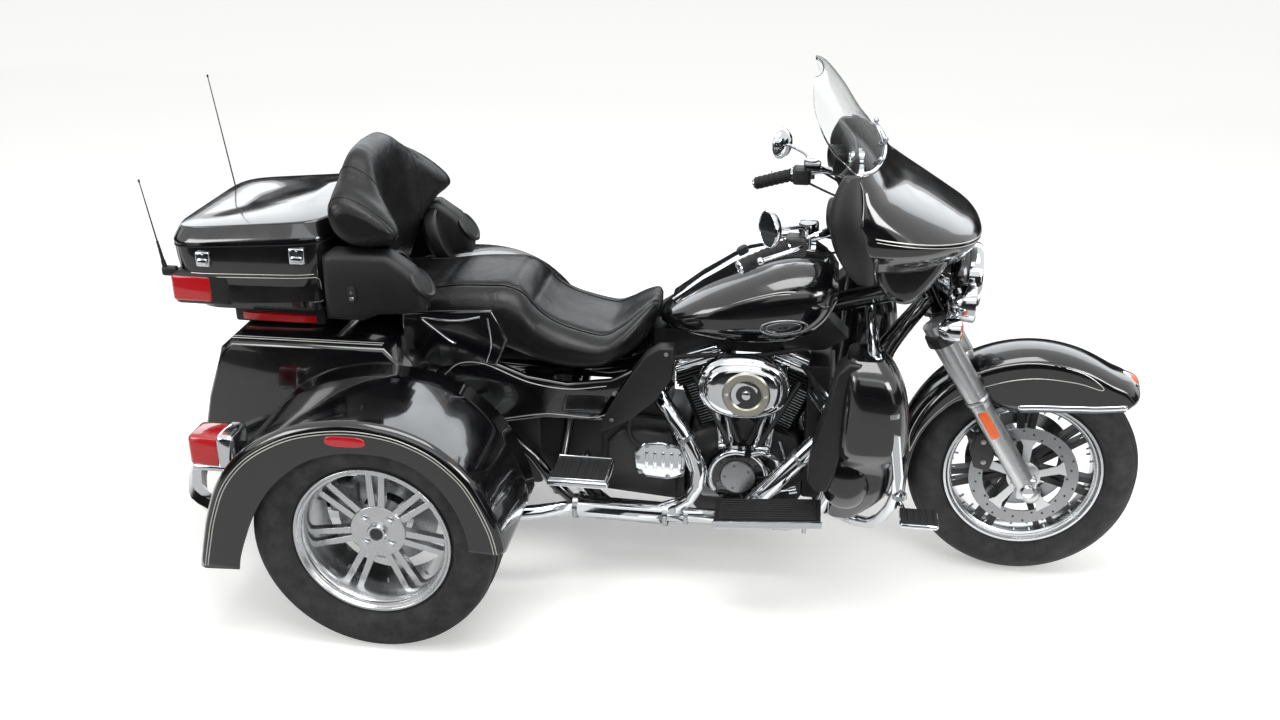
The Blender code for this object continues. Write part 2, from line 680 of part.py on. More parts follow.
def top_case():
    tub = loft([ring_xy(*row, 20, 6.5) for row in CASE_RINGS], "top_case_tub", "gloss_black")
    blank = loft([ring_xy(*row, 20, 6.5) for row in CASE_RINGS], "case_blank", None)
    base = block((-0.520, -0.260), (-0.160, 0.160), (TRUNK_TOP_Z + GAP, 0.775), "case_base", None, 0.006, 1)
    union(tub, base)
    cut(tub, loft([ring_xy(*row, 20, 6.5) for row in shrunk(CASE_RINGS, CASE_SKIN, (CASE_SKIN, 0.02))],
                  "tub_inside", None))
    lid = loft([ring_xy(*row, 20, 6.5) for row in LID_RINGS], "top_case_lid", "gloss_black")
    cut(lid, loft([ring_xy(*row, 20, 6.5) for row in shrunk(LID_RINGS, CASE_SKIN, (-0.02, -CASE_SKIN))],
                  "lid_inside", None))
    place(lid, (-0.430, CASE_HALF_W + 0.002, 0.962))
    return tub, lid, blank


def antennas():
    made = []
    for name, side, tip in (("left", 1, (REAR_TIP_X + 0.004, 1.300)), ("right", -1, (REAR_TIP_X + 0.022, 1.125))):
        mast = rod((-0.672, side * 0.255, 0.870), (tip[0], side * 0.255, tip[1]), 0.004, "antenna_" + name,
                   "matte_black", 8)
        y0, y1 = sorted((side * 0.240, side * 0.266))
        foot = block((-0.682, -0.585), (y0, y1), (0.862, 0.888), "mast_foot", None, 0.004, 1)
        made.append(union(mast, foot))
    return made


TRUNK_OUTLINE = (
    (-0.130, 0.395), (-0.130, 0.445), (0.020, 0.460), (0.020, 0.635), (-0.008, 0.668), (-0.048, 0.712), (-0.475, 0.708),
    (-0.514, 0.661), (-0.558, 0.538), (-0.588, 0.413), (-0.590, 0.395),
)
DOOR_LINE = ((-0.583, 0.433), (-0.5115, 0.668))


def trunk():
    body = prism(TRUNK_OUTLINE, -TRUNK_HALF_W, TRUNK_HALF_W, "trunk_body", "gloss_black", 0.012, 2)
    room_half = TRUNK_HALF_W - 0.008
    room = prism(inset(list(TRUNK_OUTLINE), 0.012), -room_half, room_half, "trunk_room", None)
    low, high = (Vector(p) for p in DOOR_LINE)
    up = (high - low).normalized()
    out = Vector((-up.y, up.x))
    hole = [low - up * 0.0015 + out * 0.08, high + up * 0.0015 + out * 0.08, high + up * 0.0015 - out * 0.06,
            low - up * 0.0015 - out * 0.06]
    opening = prism([tuple(p) for p in hole], -0.2965, 0.2965, "door_opening", None)
    cut(body, room, opening)
    panel = [low + out * 0.012, high + out * 0.012, high - out * 0.004, low - out * 0.004]
    door = prism([tuple(p) for p in panel], -0.295, 0.295, "tailgate", "gloss_black", 0.004, 1)
    place(door, (low.x + out.x * 0.012, 0.0, low.y + out.y * 0.012))
    return body, door


FENDER_OUTLINE = (
    (0.352, 0.334), (0.334, 0.410), (0.304, 0.480), (0.264, 0.545), (0.195, 0.608), (0.118, 0.646), (0.040, 0.664),
    (-0.050, 0.667), (-0.150, 0.650), (-0.232, 0.618), (-0.318, 0.560), (-0.385, 0.478), (-0.425, 0.380),
    (-0.462, 0.225), (-0.382, 0.225), (-0.300, 0.270), (0.150, 0.334),
)
ARCH_OUTLINE = (
    (0.268, 0.100), (0.262, 0.340), (0.236, 0.440), (0.178, 0.528), (0.094, 0.578), (-0.004, 0.589), (-0.104, 0.574),
    (-0.196, 0.524), (-0.262, 0.448), (-0.310, 0.360), (-0.352, 0.240), (-0.372, 0.100),
)


def fenders():
    made = []
    for name, side in (("right", -1), ("left", 1)):
        y_in, y_out = side * FENDER_IN_Y, side * FENDER_OUT_Y
        shell = fender_block(FENDER_OUTLINE, y_in, y_out, 0.060, "fender_" + name, "gloss_black")
        inner = list(inset(list(FENDER_OUTLINE[:14]), FENDER_SKIN))
        inner[0] = (inner[0][0] - 0.004, 0.150)
        inner[-1] = (inner[-1][0] + 0.006, 0.150)
        room = fender_block(inner, y_in + side * FENDER_SKIN, y_out - side * FENDER_SKIN, 0.055,
                            "fender_room_" + name, None)
        reach = sorted((side * 0.60, side * 0.75))
        arch = prism(ARCH_OUTLINE, *reach, "arch_" + name, None)
        cut(shell, room, arch)
        axle_slot = prism(((-0.070, 0.100), (0.070, 0.100), (0.070, 0.400), (-0.070, 0.400)),
                          min(side * 0.30, side * 0.40), max(side * 0.30, side * 0.40), "axle_slot_" + name, None)
        cut(shell, axle_slot)
        made.append(shell)
    return made


def fender_block(outline, y_in, y_out, bevel, name, finish_name):
    """The fender's outline carried across Y, with only its outer upper edge rounded."""
    bm = bmesh.new()
    face = bm.faces.new([bm.verts.new((x, y_in, z)) for x, z in outline])
    made = bmesh.ops.extrude_face_region(bm, geom=[face])
    outer = [v for v in made["geom"] if isinstance(v, bmesh.types.BMVert)]
    bmesh.ops.translate(bm, verts=outer, vec=(0.0, y_out - y_in, 0.0))
    rims = []
    for edge in bm.edges:
        a, b = edge.verts
        on_rim = abs(a.co.y - y_out) < 1e-6 and abs(b.co.y - y_out) < 1e-6
        if on_rim and min(a.co.z, b.co.z) > 0.36 and max(a.co.z, b.co.z) > 0.40:
            rims.append(edge)
    round_off(bm, rims, bevel, 3)
    return finish(bm, name, finish_name)


def rear_trim():
    lamps = []
    for name, side in (("right", -1), ("left", 1)):
        y0, y1 = sorted((side * 0.545, side * 0.645))
        span = ((-0.476, -0.365), (y0, y1), (0.478, 0.570))
        lamps.append(block(*span, "rear_lamp_" + name, "red_lens", 0.016, 2))
    bar = [(-0.465, -0.560, 0.330), (-0.530, -0.520, 0.330), (-0.612, -0.350, 0.330), (-0.628, 0.0, 0.330)]
    path = bar + [(x, -y, z) for x, y, z in reversed(bar[:-1])]
    bumper = tube(path, 0.024, "bumper", "gloss_black", 0.09, 1)
    stays = block((-0.632, -0.585), (-0.20, 0.20), (0.334, 0.3945), "bumper_stay", None, 0.004, 1)
    union(bumper, stays)
    return lamps, bumper


def side_covers():
    made = []
    shape = ((0.045, 0.585), (0.100, 0.640), (0.190, 0.640), (0.310, 0.594), (0.420, 0.580), (0.540, 0.598),
             (0.600, 0.630), (0.600, 0.540), (0.520, 0.470), (0.360, 0.470), (0.200, 0.440), (0.045, 0.440))
    for name, side in (("right", -1), ("left", 1)):
        y0, y1 = sorted((side * 0.172, side * 0.195))
        cover = prism(shape, y0, y1, "side_cover_" + name, "gloss_black", 0.008, 2)
        y0, y1 = sorted((side * 0.126, side * 0.180))
        made.append(union(cover, block((0.402, 0.432), (y0, y1), (0.480, 0.510), "cover_boss", None)))
    return made


def deflectors():
    """The matte heat shields between the side covers and the tank."""
    shape = ((0.6006, 0.545), (0.6006, 0.632), (0.640, 0.690), (0.673, 0.712), (0.716, 0.715), (0.713, 0.626),
             (0.675, 0.575))
    for name, side in (("right", -1), ("left", 1)):
        y0, y1 = sorted((side * 0.168, side * 0.215))
        prism(shape, y0, y1, "deflector_" + name, "matte_black", 0.010, 2)


def lower_fairings():
    made = []
    rows = (
        # z, rear x, front x, inner |y|, outer |y|
        (0.300, 1.150, 1.225, 0.250, 0.330),
        (0.380, 1.150, 1.300, 0.248, 0.362),
        (0.520, 1.155, 1.312, 0.244, 0.372),
        (0.660, 1.160, 1.310, 0.236, 0.372),
        (0.730, 1.165, 1.285, 0.247, 0.365),
        (0.765, 1.172, 1.250, 0.257, 0.335),
    )
    for name, side in (("right", -1), ("left", 1)):
        rings = []
        for z, rear, front, inner, outer in rows:
            rings.append(ring_xy(rear, front, (outer - inner) / 2, z, z, 16, 3.5, side * (inner + outer) / 2))
        y0, y1 = sorted((side * 0.340, side * 0.400))
        lug = block((1.290, 1.318), (y0, y1), (0.530, 0.560), "guard_lug", None)
        made.append(union(loft(rings, "lower_fairing_" + name, "gloss_black"), lug))
    return made


def guard():
    half = [(1.130, -0.158, 0.235), (1.270, -0.300, 0.262), (1.326, -0.405, 0.420), (1.290, -0.405, 0.650),
            (1.240, -0.360, 0.782), (1.235, -0.060, 0.7705)]
    path = half + [(x, -y, z) for x, y, z in reversed(half)]
    return tube(path, 0.016, "engine_guard", "chrome", 0.06, 1)


def boards():
    made = []
    for name, side in (("right", -1), ("left", 1)):
        y0, y1 = sorted((side * 0.295, side * 0.420))
        rider = prism(((0.850, 0.296), (1.130, 0.318), (1.130, 0.334), (0.850, 0.312)), y0, y1,
                      "rider_board_" + name, "matte_black", 0.004, 1)
        place(rider, (0.990, side * 0.295, 0.307))
        y0, y1 = sorted((side * 0.285, side * 0.430))
        pillion = block((0.406, 0.569), (y0, y1), (0.388, 0.406), "pillion_board_" + name, "chrome", 0.005, 2)
        place(pillion, (0.487, side * 0.285, 0.406))
        made += [rider, pillion]
    return made


def pedals():
    arm = [(1.152, -0.163, 0.350), (1.230, -0.205, 0.340), (1.336, -0.262, 0.338), (1.352, -0.388, 0.340)]
    brake = tube(arm, 0.008, "brake_pedal", "chrome", 0.05, 1)
    union(brake, block((1.332, 1.432), (-0.425, -0.345), (0.334, 0.352), "brake_pad", None, 0.006, 1))
    shift = tube(mirrored(arm), 0.008, "shift_lever", "chrome", 0.05, 1)
    union(shift, rod((1.360, 0.372, 0.341), (1.360, 0.450, 0.341), 0.013, "shift_peg", None, 10))
    return brake, shift


YOKES = (
    # z, thickness, reach behind and ahead of the steering axis, radius round each leg, name
    (YOKE_Z, 0.030, 0.028, 0.036, 0.043, "lower_yoke"),
    (0.970, 0.026, 0.060, 0.036, 0.036, "upper_yoke"),
)


def fork():
    """Stem, yokes and legs; the joint axis is the stem."""
    low = Vector((steer_x(0.765), 0, 0.765))
    high = Vector((steer_x(0.985), 0, 0.985))
    stem = rod(low, high, 0.0198, "fork_yokes", "chrome", 20)
    tilt = Matrix.Rotation(-atan2(STEER_LEAN, 1.0), 4, "Y")
    legs = []
    for side in (-1, 1):
        bottom = Vector((WHEELBASE + 0.018, side * LEG_Y, FRONT_TYRE_R - 0.030))
        length = (0.990 - bottom.z) / LEG_UP.z
        profile = [(0.0, 0.0), (SLIDER_R, 0.0), (SLIDER_R, 0.425), (LEG_COVER_R, 0.435), (LEG_COVER_R, 0.600),
                   (0.0245, 0.605), (0.0245, length), (0.0, length)]
        leg = lathe(profile, bottom, LEG_UP, "fork_leg_" + ("right" if side < 0 else "left"), "chrome", 20)
        legs.append(leg)
    for z, thick, back, ahead, boss_r, name in YOKES:
        bm = bmesh.new()
        bmesh.ops.create_cube(bm, size=1.0)
        bmesh.ops.scale(bm, vec=(back + ahead, 2 * LEG_Y, thick), verts=bm.verts)
        bmesh.ops.translate(bm, vec=((ahead - back) / 2, 0, 0), verts=bm.verts)
        bmesh.ops.transform(bm, matrix=Matrix.Translation((steer_x(z), 0, z)) @ tilt, verts=bm.verts)
        union(stem, finish(bm, name, None))
        for side in (-1, 1):
            eye = Vector((leg_x(z), side * LEG_Y, z))
            reach = STEER_UP * thick / 2
            union(stem, rod(eye - reach, eye + reach, boss_r, name + "_eye", None, 14))
    for leg in legs:
        clear(stem, leg)
    axle_rod = rod((WHEELBASE, -LEG_Y - 0.031, FRONT_TYRE_R), (WHEELBASE, LEG_Y + 0.031, FRONT_TYRE_R), 0.0168,
                   "front_axle", "chrome", 16)
    for leg in legs:
        clear(leg, axle_rod)
    return stem, legs, axle_rod


FENDER_ARC = (
    # angle from straight ahead in degrees, crest and skirt radius beyond the tyre's
    (44.0, 0.0735, 0.0575),
    (50.0, 0.0755, 0.0180),
    (58.0, 0.0645, -0.0150),
    (72.0, 0.0635, -0.0300),
    (90.0, 0.0625, -0.0400),
    (108.0, 0.0595, -0.0400),
    (127.0, 0.0560, -0.0200),
    (142.0, 0.0505, -0.0050),
    (160.0, 0.0430, 0.0010),
    (178.0, 0.0350, 0.0010),
    (194.0, 0.0255, 0.0155),
)


def front_fender():
    rings = []
    skin = 0.004
    half = 0.084
    for angle, above, below in FENDER_ARC:
        a = angle * pi / 180
        crest = FRONT_TYRE_R + above
        skirt = FRONT_TYRE_R + below
        out = Vector((cos(a), 0, sin(a)))
        centre = Vector(FRONT_AXLE)
        shoulder = crest - 0.030
        outer = [(-half, skirt), (-half, min(shoulder, crest - 0.012)), (-half * 0.80, crest - 0.008),
                 (-half * 0.4, crest), (half * 0.4, crest), (half * 0.80, crest - 0.008),
                 (half, min(shoulder, crest - 0.012)), (half, skirt)]
        inner = [(half - skin, skirt), (half - skin, min(shoulder, crest - 0.012) - skin * 0.6),
                 (half * 0.80 - skin * 0.6, crest - 0.008 - skin), (half * 0.4, crest - skin),
                 (-half * 0.4, crest - skin), (-half * 0.80 + skin * 0.6, crest - 0.008 - skin),
                 (-half + skin, min(shoulder, crest - 0.012) - skin * 0.6), (-half + skin, skirt)]
        rings.append([tuple(centre + out * r + Vector((0, y, 0))) for y, r in outer + inner])
    fender = loft(rings, "front_fender", "gloss_black")
    for side in (-1, 1):
        y0, y1 = sorted((side * 0.0805, side * 0.097))
        union(fender, block((1.497, 1.537), (y0, y1), (0.580, 0.612), "fender_tab", None))
    return fender


FAIRING_ROWS = (
    # z, half width, wing rear x, nose x, fullness of the nose
    (0.985, 0.300, 1.205, 1.478, 2.2),
    (1.030, 0.345, 1.190, 1.501, 2.3),
    (1.060, 0.362, 1.183, 1.490, 2.3),
    (1.088, 0.366, 1.179, 1.446, 2.3),
    (1.124, 0.368, 1.176, 1.384, 2.2),
    (1.160, 0.360, 1.178, 1.318, 2.1),
    (1.182, 0.353, 1.178, 1.282, 2.0),
    (1.210, 0.342, 1.174, 1.256, 2.0),
    (1.236, 0.325, 1.160, 1.238, 2.0),
)


def crescent(z, half_w, rear_x, nose_x, fullness, skin, count=14):
    outer = []
    inner = []
    for i in range(count + 1):
        t = -1 + 2 * i / count
        a = t * pi / 2
        across = signed_power(sin(a), 2 / fullness)
        ahead = abs(cos(a)) ** (2 / fullness)
        outer.append((rear_x + (nose_x - rear_x) * ahead, half_w * across, z))
        inner.append((rear_x + (nose_x - skin - rear_x) * ahead, (half_w - skin) * across, z))
    return outer + list(reversed(inner))


def fairing():
    shell = loft([crescent(*row, 0.006) for row in FAIRING_ROWS], "outer_fairing", "gloss_black")
    lobe = ((1.222, 1.000), (1.238, 0.915), (1.292, 0.868), (1.340, 0.884), (1.392, 0.955), (1.408, 1.004))
    for side in (-1, 1):
        y0, y1 = sorted((side * 0.205, side * 0.255))
        union(shell, prism(lobe, y0, y1, "lobe", None, 0.016, 2))
    rows = ((0.965, 0.240, 1.205), (1.010, 0.3175, 1.165), (1.069, 0.3553, 1.128), (1.135, 0.3585, 1.118),
            (1.190, 0.3435, 1.118), (1.232, 0.3200, 1.106))
    rings = []
    for z, half_w, rear in rows:
        ring = []
        for i in range(9):
            a = (-1 + i / 4) * pi / 2
            ring.append((rear + 0.055 * (1 - abs(cos(a)) ** 0.7), half_w * sin(a), z))
        for i in range(9):
            a = (1 - i / 4) * pi / 2
            ring.append((rear + 0.006 + 0.055 * (1 - abs(cos(a)) ** 0.7), (half_w - 0.003) * sin(a), z))
        rings.append(ring)
    inner = loft(rings, "inner_fairing", "matte_black")
    clear(inner, shell, gap=0.0006)
    return shell, inner


def windshield():
    rows = ((1.2365, 0.324, 1.159, 1.237), (1.300, 0.312, 1.090, 1.180), (1.370, 0.295, 1.055, 1.130),
            (1.415, 0.235, 1.045, 1.088), (1.430, 0.120, 1.045, 1.067))
    rings = []
    for z, half_w, rear, front in rows:
        rings.append(crescent(z, half_w, rear, front, 2.0, 0.004, 10))
    return loft(rings, "windshield", "clear")


def front_lamps():
    """Headlamp, the two passing lamps and the turn signals on their bar."""
    lamp = lathe([(0.0, 0.0), (0.070, 0.0), (0.086, 0.012), (0.088, 0.040), (0.080, 0.048), (0.0, 0.056)],
                 (1.460, 0, 0.888), (1, 0, 0), "front_lamps", "chrome", 24)
    half = [(1.412, -0.240, 0.822), (1.448, -0.150, 0.824), (1.463, -0.070, 0.824)]
    bar = tube(half + mirrored(reversed(half)), 0.011, "lamp_bar", None, 0.04, 1)
    union(lamp, bar)
    for side in (-1, 1):
        passing = lathe([(0.0, 0.0), (0.036, 0.010), (0.052, 0.044), (0.052, 0.062), (0.0, 0.068)],
                        (1.424, side * 0.160, 0.868), (1, 0, 0), "passing_lamp", None, 12)
        signal = lathe([(0.0, 0.0), (0.022, 0.008), (0.032, 0.040), (0.032, 0.058), (0.0, 0.064)],
                       (1.396, side * 0.240, 0.822), (1, 0, 0), "turn_signal", None, 12)
        union(lamp, passing, signal)
    stay = block((1.454, 1.472), (-0.024, 0.024), (0.752, 0.824), "lamp_stay", None, 0.004, 1)
    union(lamp, stay)
    return lamp


BAR_HALF = ((1.300, 0.0, 1.022), (1.285, 0.085, 1.040), (1.215, 0.160, 1.075), (1.105, 0.285, 1.082),
            (1.012, 0.325, 1.058), (0.895, 0.375, 1.010))


def handlebar():
    path = [(x, -y, z) for x, y, z in reversed(BAR_HALF)] + list(BAR_HALF[1:])
    bar = tube(path, 0.0127, "handlebar", "chrome", 0.04, 1)
    union(bar, block((1.275, 1.325), (-0.060, 0.060), (0.975, 1.032), "risers", None, 0.006, 1))
    for side in (-1, 1):
        grip = rod((1.000, side * 0.330, 1.053), (0.887, side * 0.3785, 1.0065), 0.0185, "grip", None, 12)
        cluster = block((0.997, 1.052), (side * 0.320 - 0.030, side * 0.320 + 0.030), (1.026, 1.096), "cluster", None,
                        0.012, 1)
        lever = tube([(1.040, side * 0.300, 1.066), (1.045, side * 0.400, 1.035), (0.962, side * 0.446, 1.000)],
                     0.006, "lever", None, 0.03, 1)
        stalk = tube([(1.025, side * 0.330, 1.075), (1.030, side * 0.372, 1.085), (0.990, side * 0.400, 1.110)],
                     0.006, "mirror_stalk", None, 0.03, 1)
        glass = lathe([(0.0, 0.0), (0.038, 0.0), (0.045, 0.010), (0.036, 0.030), (0.0, 0.038)],
                      (0.962, side * 0.412, 1.122), (0.86, -side * 0.5, 0), "mirror_head", None, 12)
        union(bar, grip, cluster, lever, stalk, glass)
    return bar


def body():
    chassis_frame, carrier = frame()
    housing = axle()
    union(chassis_frame, carrier)
    clear(chassis_frame, housing)
    cases, front_cylinder, rear_cylinder = engine()
    primary, gearbox, cleaner = drive_line()
    pipe, mufflers = exhaust()
    tank, console, seat = tank_and_seat()
    pad = backrest()
    clear(pad, seat)
    pods = speakers()
    tub, lid, case_blank = top_case()
    deflectors()
    for neighbour in (*antennas(), *pods):
        clear(neighbour, case_blank, gap=0.0006)
    trunk_body, door = trunk()
    shells = fenders()
    rear_lamps, bumper = rear_trim()
    covers = side_covers()
    hoop = guard()
    clear(hoop, chassis_frame)
    for neighbour in (*covers, cases):
        clear(neighbour, chassis_frame, gap=0.0006)
    for neighbour in lower_fairings():
        clear(neighbour, hoop, gap=0.0006)
    boards()
    for pedal in pedals():
        clear(pedal, chassis_frame, gap=0.0006)
    clear(pipe, front_cylinder, rear_cylinder, *mufflers)
    clear(cleaner, front_cylinder, rear_cylinder)
    for shell, lamp in zip(shells, rear_lamps):
        clear(shell, lamp, gap=0.0008)
    return chassis_frame


def steered():
    stem, legs, axle_rod = fork()
    clear(front_fender(), *legs, gap=0.0006)
    shell, inner = fairing()
    union(stem, block((1.3256, 1.4578), (-0.020, 0.020), (0.966, 1.016), "fairing_bracket", None))
    clear(stem, shell, gap=0.0006)
    windshield()
    lamps = front_lamps()
    bar = handlebar()
    clear(stem, lamps, gap=0.0008)
    clear(bar, stem, gap=0.0006)
    path = [(x, -y, z) for x, y, z in reversed(BAR_HALF)] + list(BAR_HALF[1:])
    slot = tube(path, 0.020, "bar_slot", None, 0.04, 1)
    cut(inner, slot)


wheels()
body()
steered()
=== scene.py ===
"""Looks of the motorized trike: paint, chrome, vinyl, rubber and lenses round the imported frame.

Metres. +X forward, +Y to the vehicle's left, +Z up. Stations below are measured from the rear axle,
as in the part's source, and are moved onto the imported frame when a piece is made.
"""

import json
from math import atan2, cos, pi, radians, sin, sqrt

import bmesh
import bpy
from bpy.props import FloatProperty, FloatVectorProperty, PointerProperty
from mathutils import Matrix, Vector

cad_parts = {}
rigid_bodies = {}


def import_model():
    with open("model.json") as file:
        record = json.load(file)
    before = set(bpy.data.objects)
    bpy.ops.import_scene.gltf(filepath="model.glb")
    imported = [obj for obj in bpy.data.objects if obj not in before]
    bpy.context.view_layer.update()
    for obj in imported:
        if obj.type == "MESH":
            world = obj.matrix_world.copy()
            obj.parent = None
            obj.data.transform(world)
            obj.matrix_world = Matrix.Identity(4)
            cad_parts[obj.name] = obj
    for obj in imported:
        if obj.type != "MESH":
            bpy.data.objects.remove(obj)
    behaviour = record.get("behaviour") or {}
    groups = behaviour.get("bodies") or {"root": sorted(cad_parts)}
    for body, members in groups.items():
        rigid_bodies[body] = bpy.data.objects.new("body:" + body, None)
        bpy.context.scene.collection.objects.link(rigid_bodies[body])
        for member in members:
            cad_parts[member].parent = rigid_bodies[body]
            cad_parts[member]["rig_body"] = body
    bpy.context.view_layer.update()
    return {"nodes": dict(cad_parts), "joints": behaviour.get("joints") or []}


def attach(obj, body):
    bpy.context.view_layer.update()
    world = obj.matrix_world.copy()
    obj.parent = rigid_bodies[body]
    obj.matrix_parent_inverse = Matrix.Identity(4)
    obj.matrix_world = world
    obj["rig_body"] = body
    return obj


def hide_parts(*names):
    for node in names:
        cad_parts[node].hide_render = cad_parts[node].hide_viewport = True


bl_info = {
    "name": "Motorized trike looks",
    "version": (1, 0, 0),
    "blender": (4, 5, 0),
    "location": "3D View > Sidebar > Trike",
    "description": "Builds the visible pieces and finishes of a motorized trike on its packed frame",
    "category": "Object",
}

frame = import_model()
JOINT_AT = {joint["name"]: joint["pos_m"] for joint in frame["joints"]}
REAR_AXLE_X = JOINT_AT["rear_wheel_right_spin"][0]
REAR_AXLE_Z = JOINT_AT["rear_wheel_right_spin"][2]
REAR_WHEEL_Y = JOINT_AT["rear_wheel_left_spin"][1]
FRONT_AXLE_X = JOINT_AT["front_wheel_spin"][0]
FRONT_AXLE_Z = JOINT_AT["front_wheel_spin"][2]
WHEELBASE = FRONT_AXLE_X - REAR_AXLE_X
REAR_AXLE = (REAR_AXLE_X, REAR_AXLE_Z)
FRONT_AXLE = (FRONT_AXLE_X, FRONT_AXLE_Z)

# Fork line, as in the part's source
LEG_LEAN = 0.6249
LEG_Y = 0.118
LEG_UP = Vector((-LEG_LEAN, 0.0, 1.0)).normalized()

# Tyres: tread radii, and how the cross cuts and wall ribs are spaced in the rubber
REAR_TYRE_R = 0.3225
FRONT_TYRE_R = 0.3195
TREAD_DEPTH = 0.022
SIPE_SLANT = 1.8
SIPE_SHARE = 0.72
WALL_RIBS = 1500.0


def srgb(code):
    """Linear colour from an sRGB hex value."""
    parts = [int(code[i : i + 2], 16) / 255 for i in (0, 2, 4)]
    return tuple(c / 12.92 if c <= 0.04045 else ((c + 0.055) / 1.055) ** 2.4 for c in parts)


def swatch(name, description, code):
    """A colour setting that starts at an sRGB hex value."""
    return FloatVectorProperty(name=name, description=description, subtype="COLOR", size=3, min=0.0, max=1.0,
                               default=srgb(code))


def length(name, description, default, low, high):
    """A length setting in metres with its limits."""
    return FloatProperty(name=name, description=description, default=default, min=low, max=high,
                         unit="LENGTH")


class TRIKE_PG_colours(bpy.types.PropertyGroup):
    paint: swatch("Paint", "Gloss enamel of the bodywork", "08080A")
    stripe: swatch("Pinstripe", "Twin lines on the bodywork", "B9B9B4")
    vinyl: swatch("Vinyl", "Seat and backrest covers", "0B0B0C")
    plastic: swatch("Moulded plastic", "Matte inner fairing and shields", "0F0F10")
    rubber: swatch("Rubber", "Tyres, grips and pads", "151516")
    red: swatch("Red lens", "Rear lamps and side markers", "B01018")
    amber: swatch("Amber lens", "Reflectors and the fender lamp", "E8601A")


class TRIKE_PG_sizes(bpy.types.PropertyGroup):
    stripe_width: length("Pinstripe width", "Width of one painted line", 0.0028, 0.001, 0.01)
    grain_size: length("Vinyl grain", "Distance between grain cells, drawn coarse", 0.0022, 0.0005, 0.01)
    fin_pitch: length("Fin pitch", "Distance between cooling fins", 0.0086, 0.005, 0.02)
    tube_radius: length("Cable radius", "Radius of control cables and brake lines", 0.0036, 0.002, 0.008)
    bolt_radius: length("Bolt radius", "Across-corners radius of small cap screws", 0.0062, 0.002, 0.02)


def colour(name):
    return (*getattr(bpy.context.scene.trike_colours, name), 1.0)


def size(name):
    return getattr(bpy.context.scene.trike_sizes, name)


def add_node(tree, kind, settings=None, inputs=None):
    """One shader node with its settings, and its sockets set or linked."""
    node = tree.nodes.new(kind)
    for key, value in (settings or {}).items():
        setattr(node, key, value)
    for key, value in (inputs or {}).items():
        if isinstance(value, bpy.types.NodeSocket):
            tree.links.new(value, node.inputs[key])
        else:
            node.inputs[key].default_value = value
    return node


def start_material(name, settings):
    """A Principled material with its constants on the shader, and the object coordinates."""
    made = bpy.data.materials.new(name)
    made.use_nodes = True
    tree = made.node_tree
    shader = tree.nodes["Principled BSDF"]
    for key, value in settings.items():
        shader.inputs[key].default_value = value
    place = add_node(tree, "ShaderNodeTexCoord").outputs["Object"]
    return made, tree, shader, place


def noise(tree, vector, scale, detail, **more):
    """Cloudy noise, as the socket that other nodes read."""
    inputs = {"Vector": vector, "Scale": scale, "Detail": detail, **more}
    return add_node(tree, "ShaderNodeTexNoise", None, inputs).outputs["Fac"]


def gloss_from(tree, shader, value, low, high, start=0.0, stop=1.0):
    """The shader's roughness, from low to high as the value goes from start to stop."""
    span = {"Value": value, "From Min": start, "From Max": stop, "To Min": low, "To Max": high}
    film = add_node(tree, "ShaderNodeMapRange", None, span)
    tree.links.new(film.outputs["Result"], shader.inputs["Roughness"])


def relief(tree, height, strength, distance, shader=None, socket="Normal", **more):
    """A bump from a height, linked to the shader where one is given."""
    inputs = {"Height": height, "Strength": strength, "Distance": distance, **more}
    bump = add_node(tree, "ShaderNodeBump", None, inputs).outputs["Normal"]
    if shader:
        tree.links.new(bump, shader.inputs[socket])
    return bump


def sums(tree, operation, *values):
    """One step of arithmetic on sockets and numbers."""
    step = add_node(tree, "ShaderNodeMath", {"operation": operation}, dict(enumerate(values)))
    return step.outputs[0]


def solid(code):
    """An sRGB hex value as a colour with full alpha."""
    return (*srgb(code), 1.0)


def enamel():
    # Wet-looking black enamel under clear coat; faint orange peel breaks up long reflections, dust greys it
    made, tree, shader, place = start_material("gloss_enamel", {"Base Color": colour("paint"),
                                                                "Roughness": 0.22, "IOR": 1.5,
                                                                "Coat Weight": 1.0, "Coat Roughness": 0.025,
                                                                "Coat IOR": 1.55})
    sway = relief(tree, noise(tree, place, 9.0, 2.0), 0.1, 0.004)
    relief(tree, noise(tree, place, 220.0, 1.0), 0.05, 0.0006, shader, "Coat Normal", Normal=sway)
    gloss_from(tree, shader, noise(tree, place, 14.0, 6.0), 0.12, 0.28, 0.35, 0.75)
    return made


def pinstripe():
    # Silver enamel line under the clear coat, with a fine glint of flake
    made, tree, shader, place = start_material("silver_pinstripe", {
        "Base Color": colour("stripe"), "Metallic": 0.45, "Roughness": 0.32, "Coat Weight": 0.8,
        "Coat Roughness": 0.04})
    flake = add_node(tree, "ShaderNodeTexVoronoi", None, {"Vector": place, "Scale": 1400.0})
    relief(tree, flake.outputs["Distance"], 0.1, 0.0004, shader)
    return made


def chrome():
    # Bright plated steel; wiped smears make the mirror slightly uneven
    made, tree, shader, place = start_material("chrome_plate", {
        "Base Color": solid("DDE0E3"), "Metallic": 1.0, "Roughness": 0.06})
    gloss_from(tree, shader, noise(tree, place, 22.0, 5.0, Roughness=0.65), 0.035, 0.16, 0.35, 0.75)
    return made


def brushed_aluminium():
    # Satin fork legs and brackets: fine drawn lines along the tube
    made, tree, shader, place = start_material("satin_aluminium", {
        "Base Color": solid("C9CBCC"), "Metallic": 1.0, "Roughness": 0.3})
    run = add_node(tree, "ShaderNodeMapping", None, {"Vector": place, "Scale": (260.0, 900.0, 30.0)})
    lines = noise(tree, run.outputs["Vector"], 1.0, 3.0)
    gloss_from(tree, shader, lines, 0.2, 0.42)
    relief(tree, lines, 0.12, 0.0003, shader)
    return made


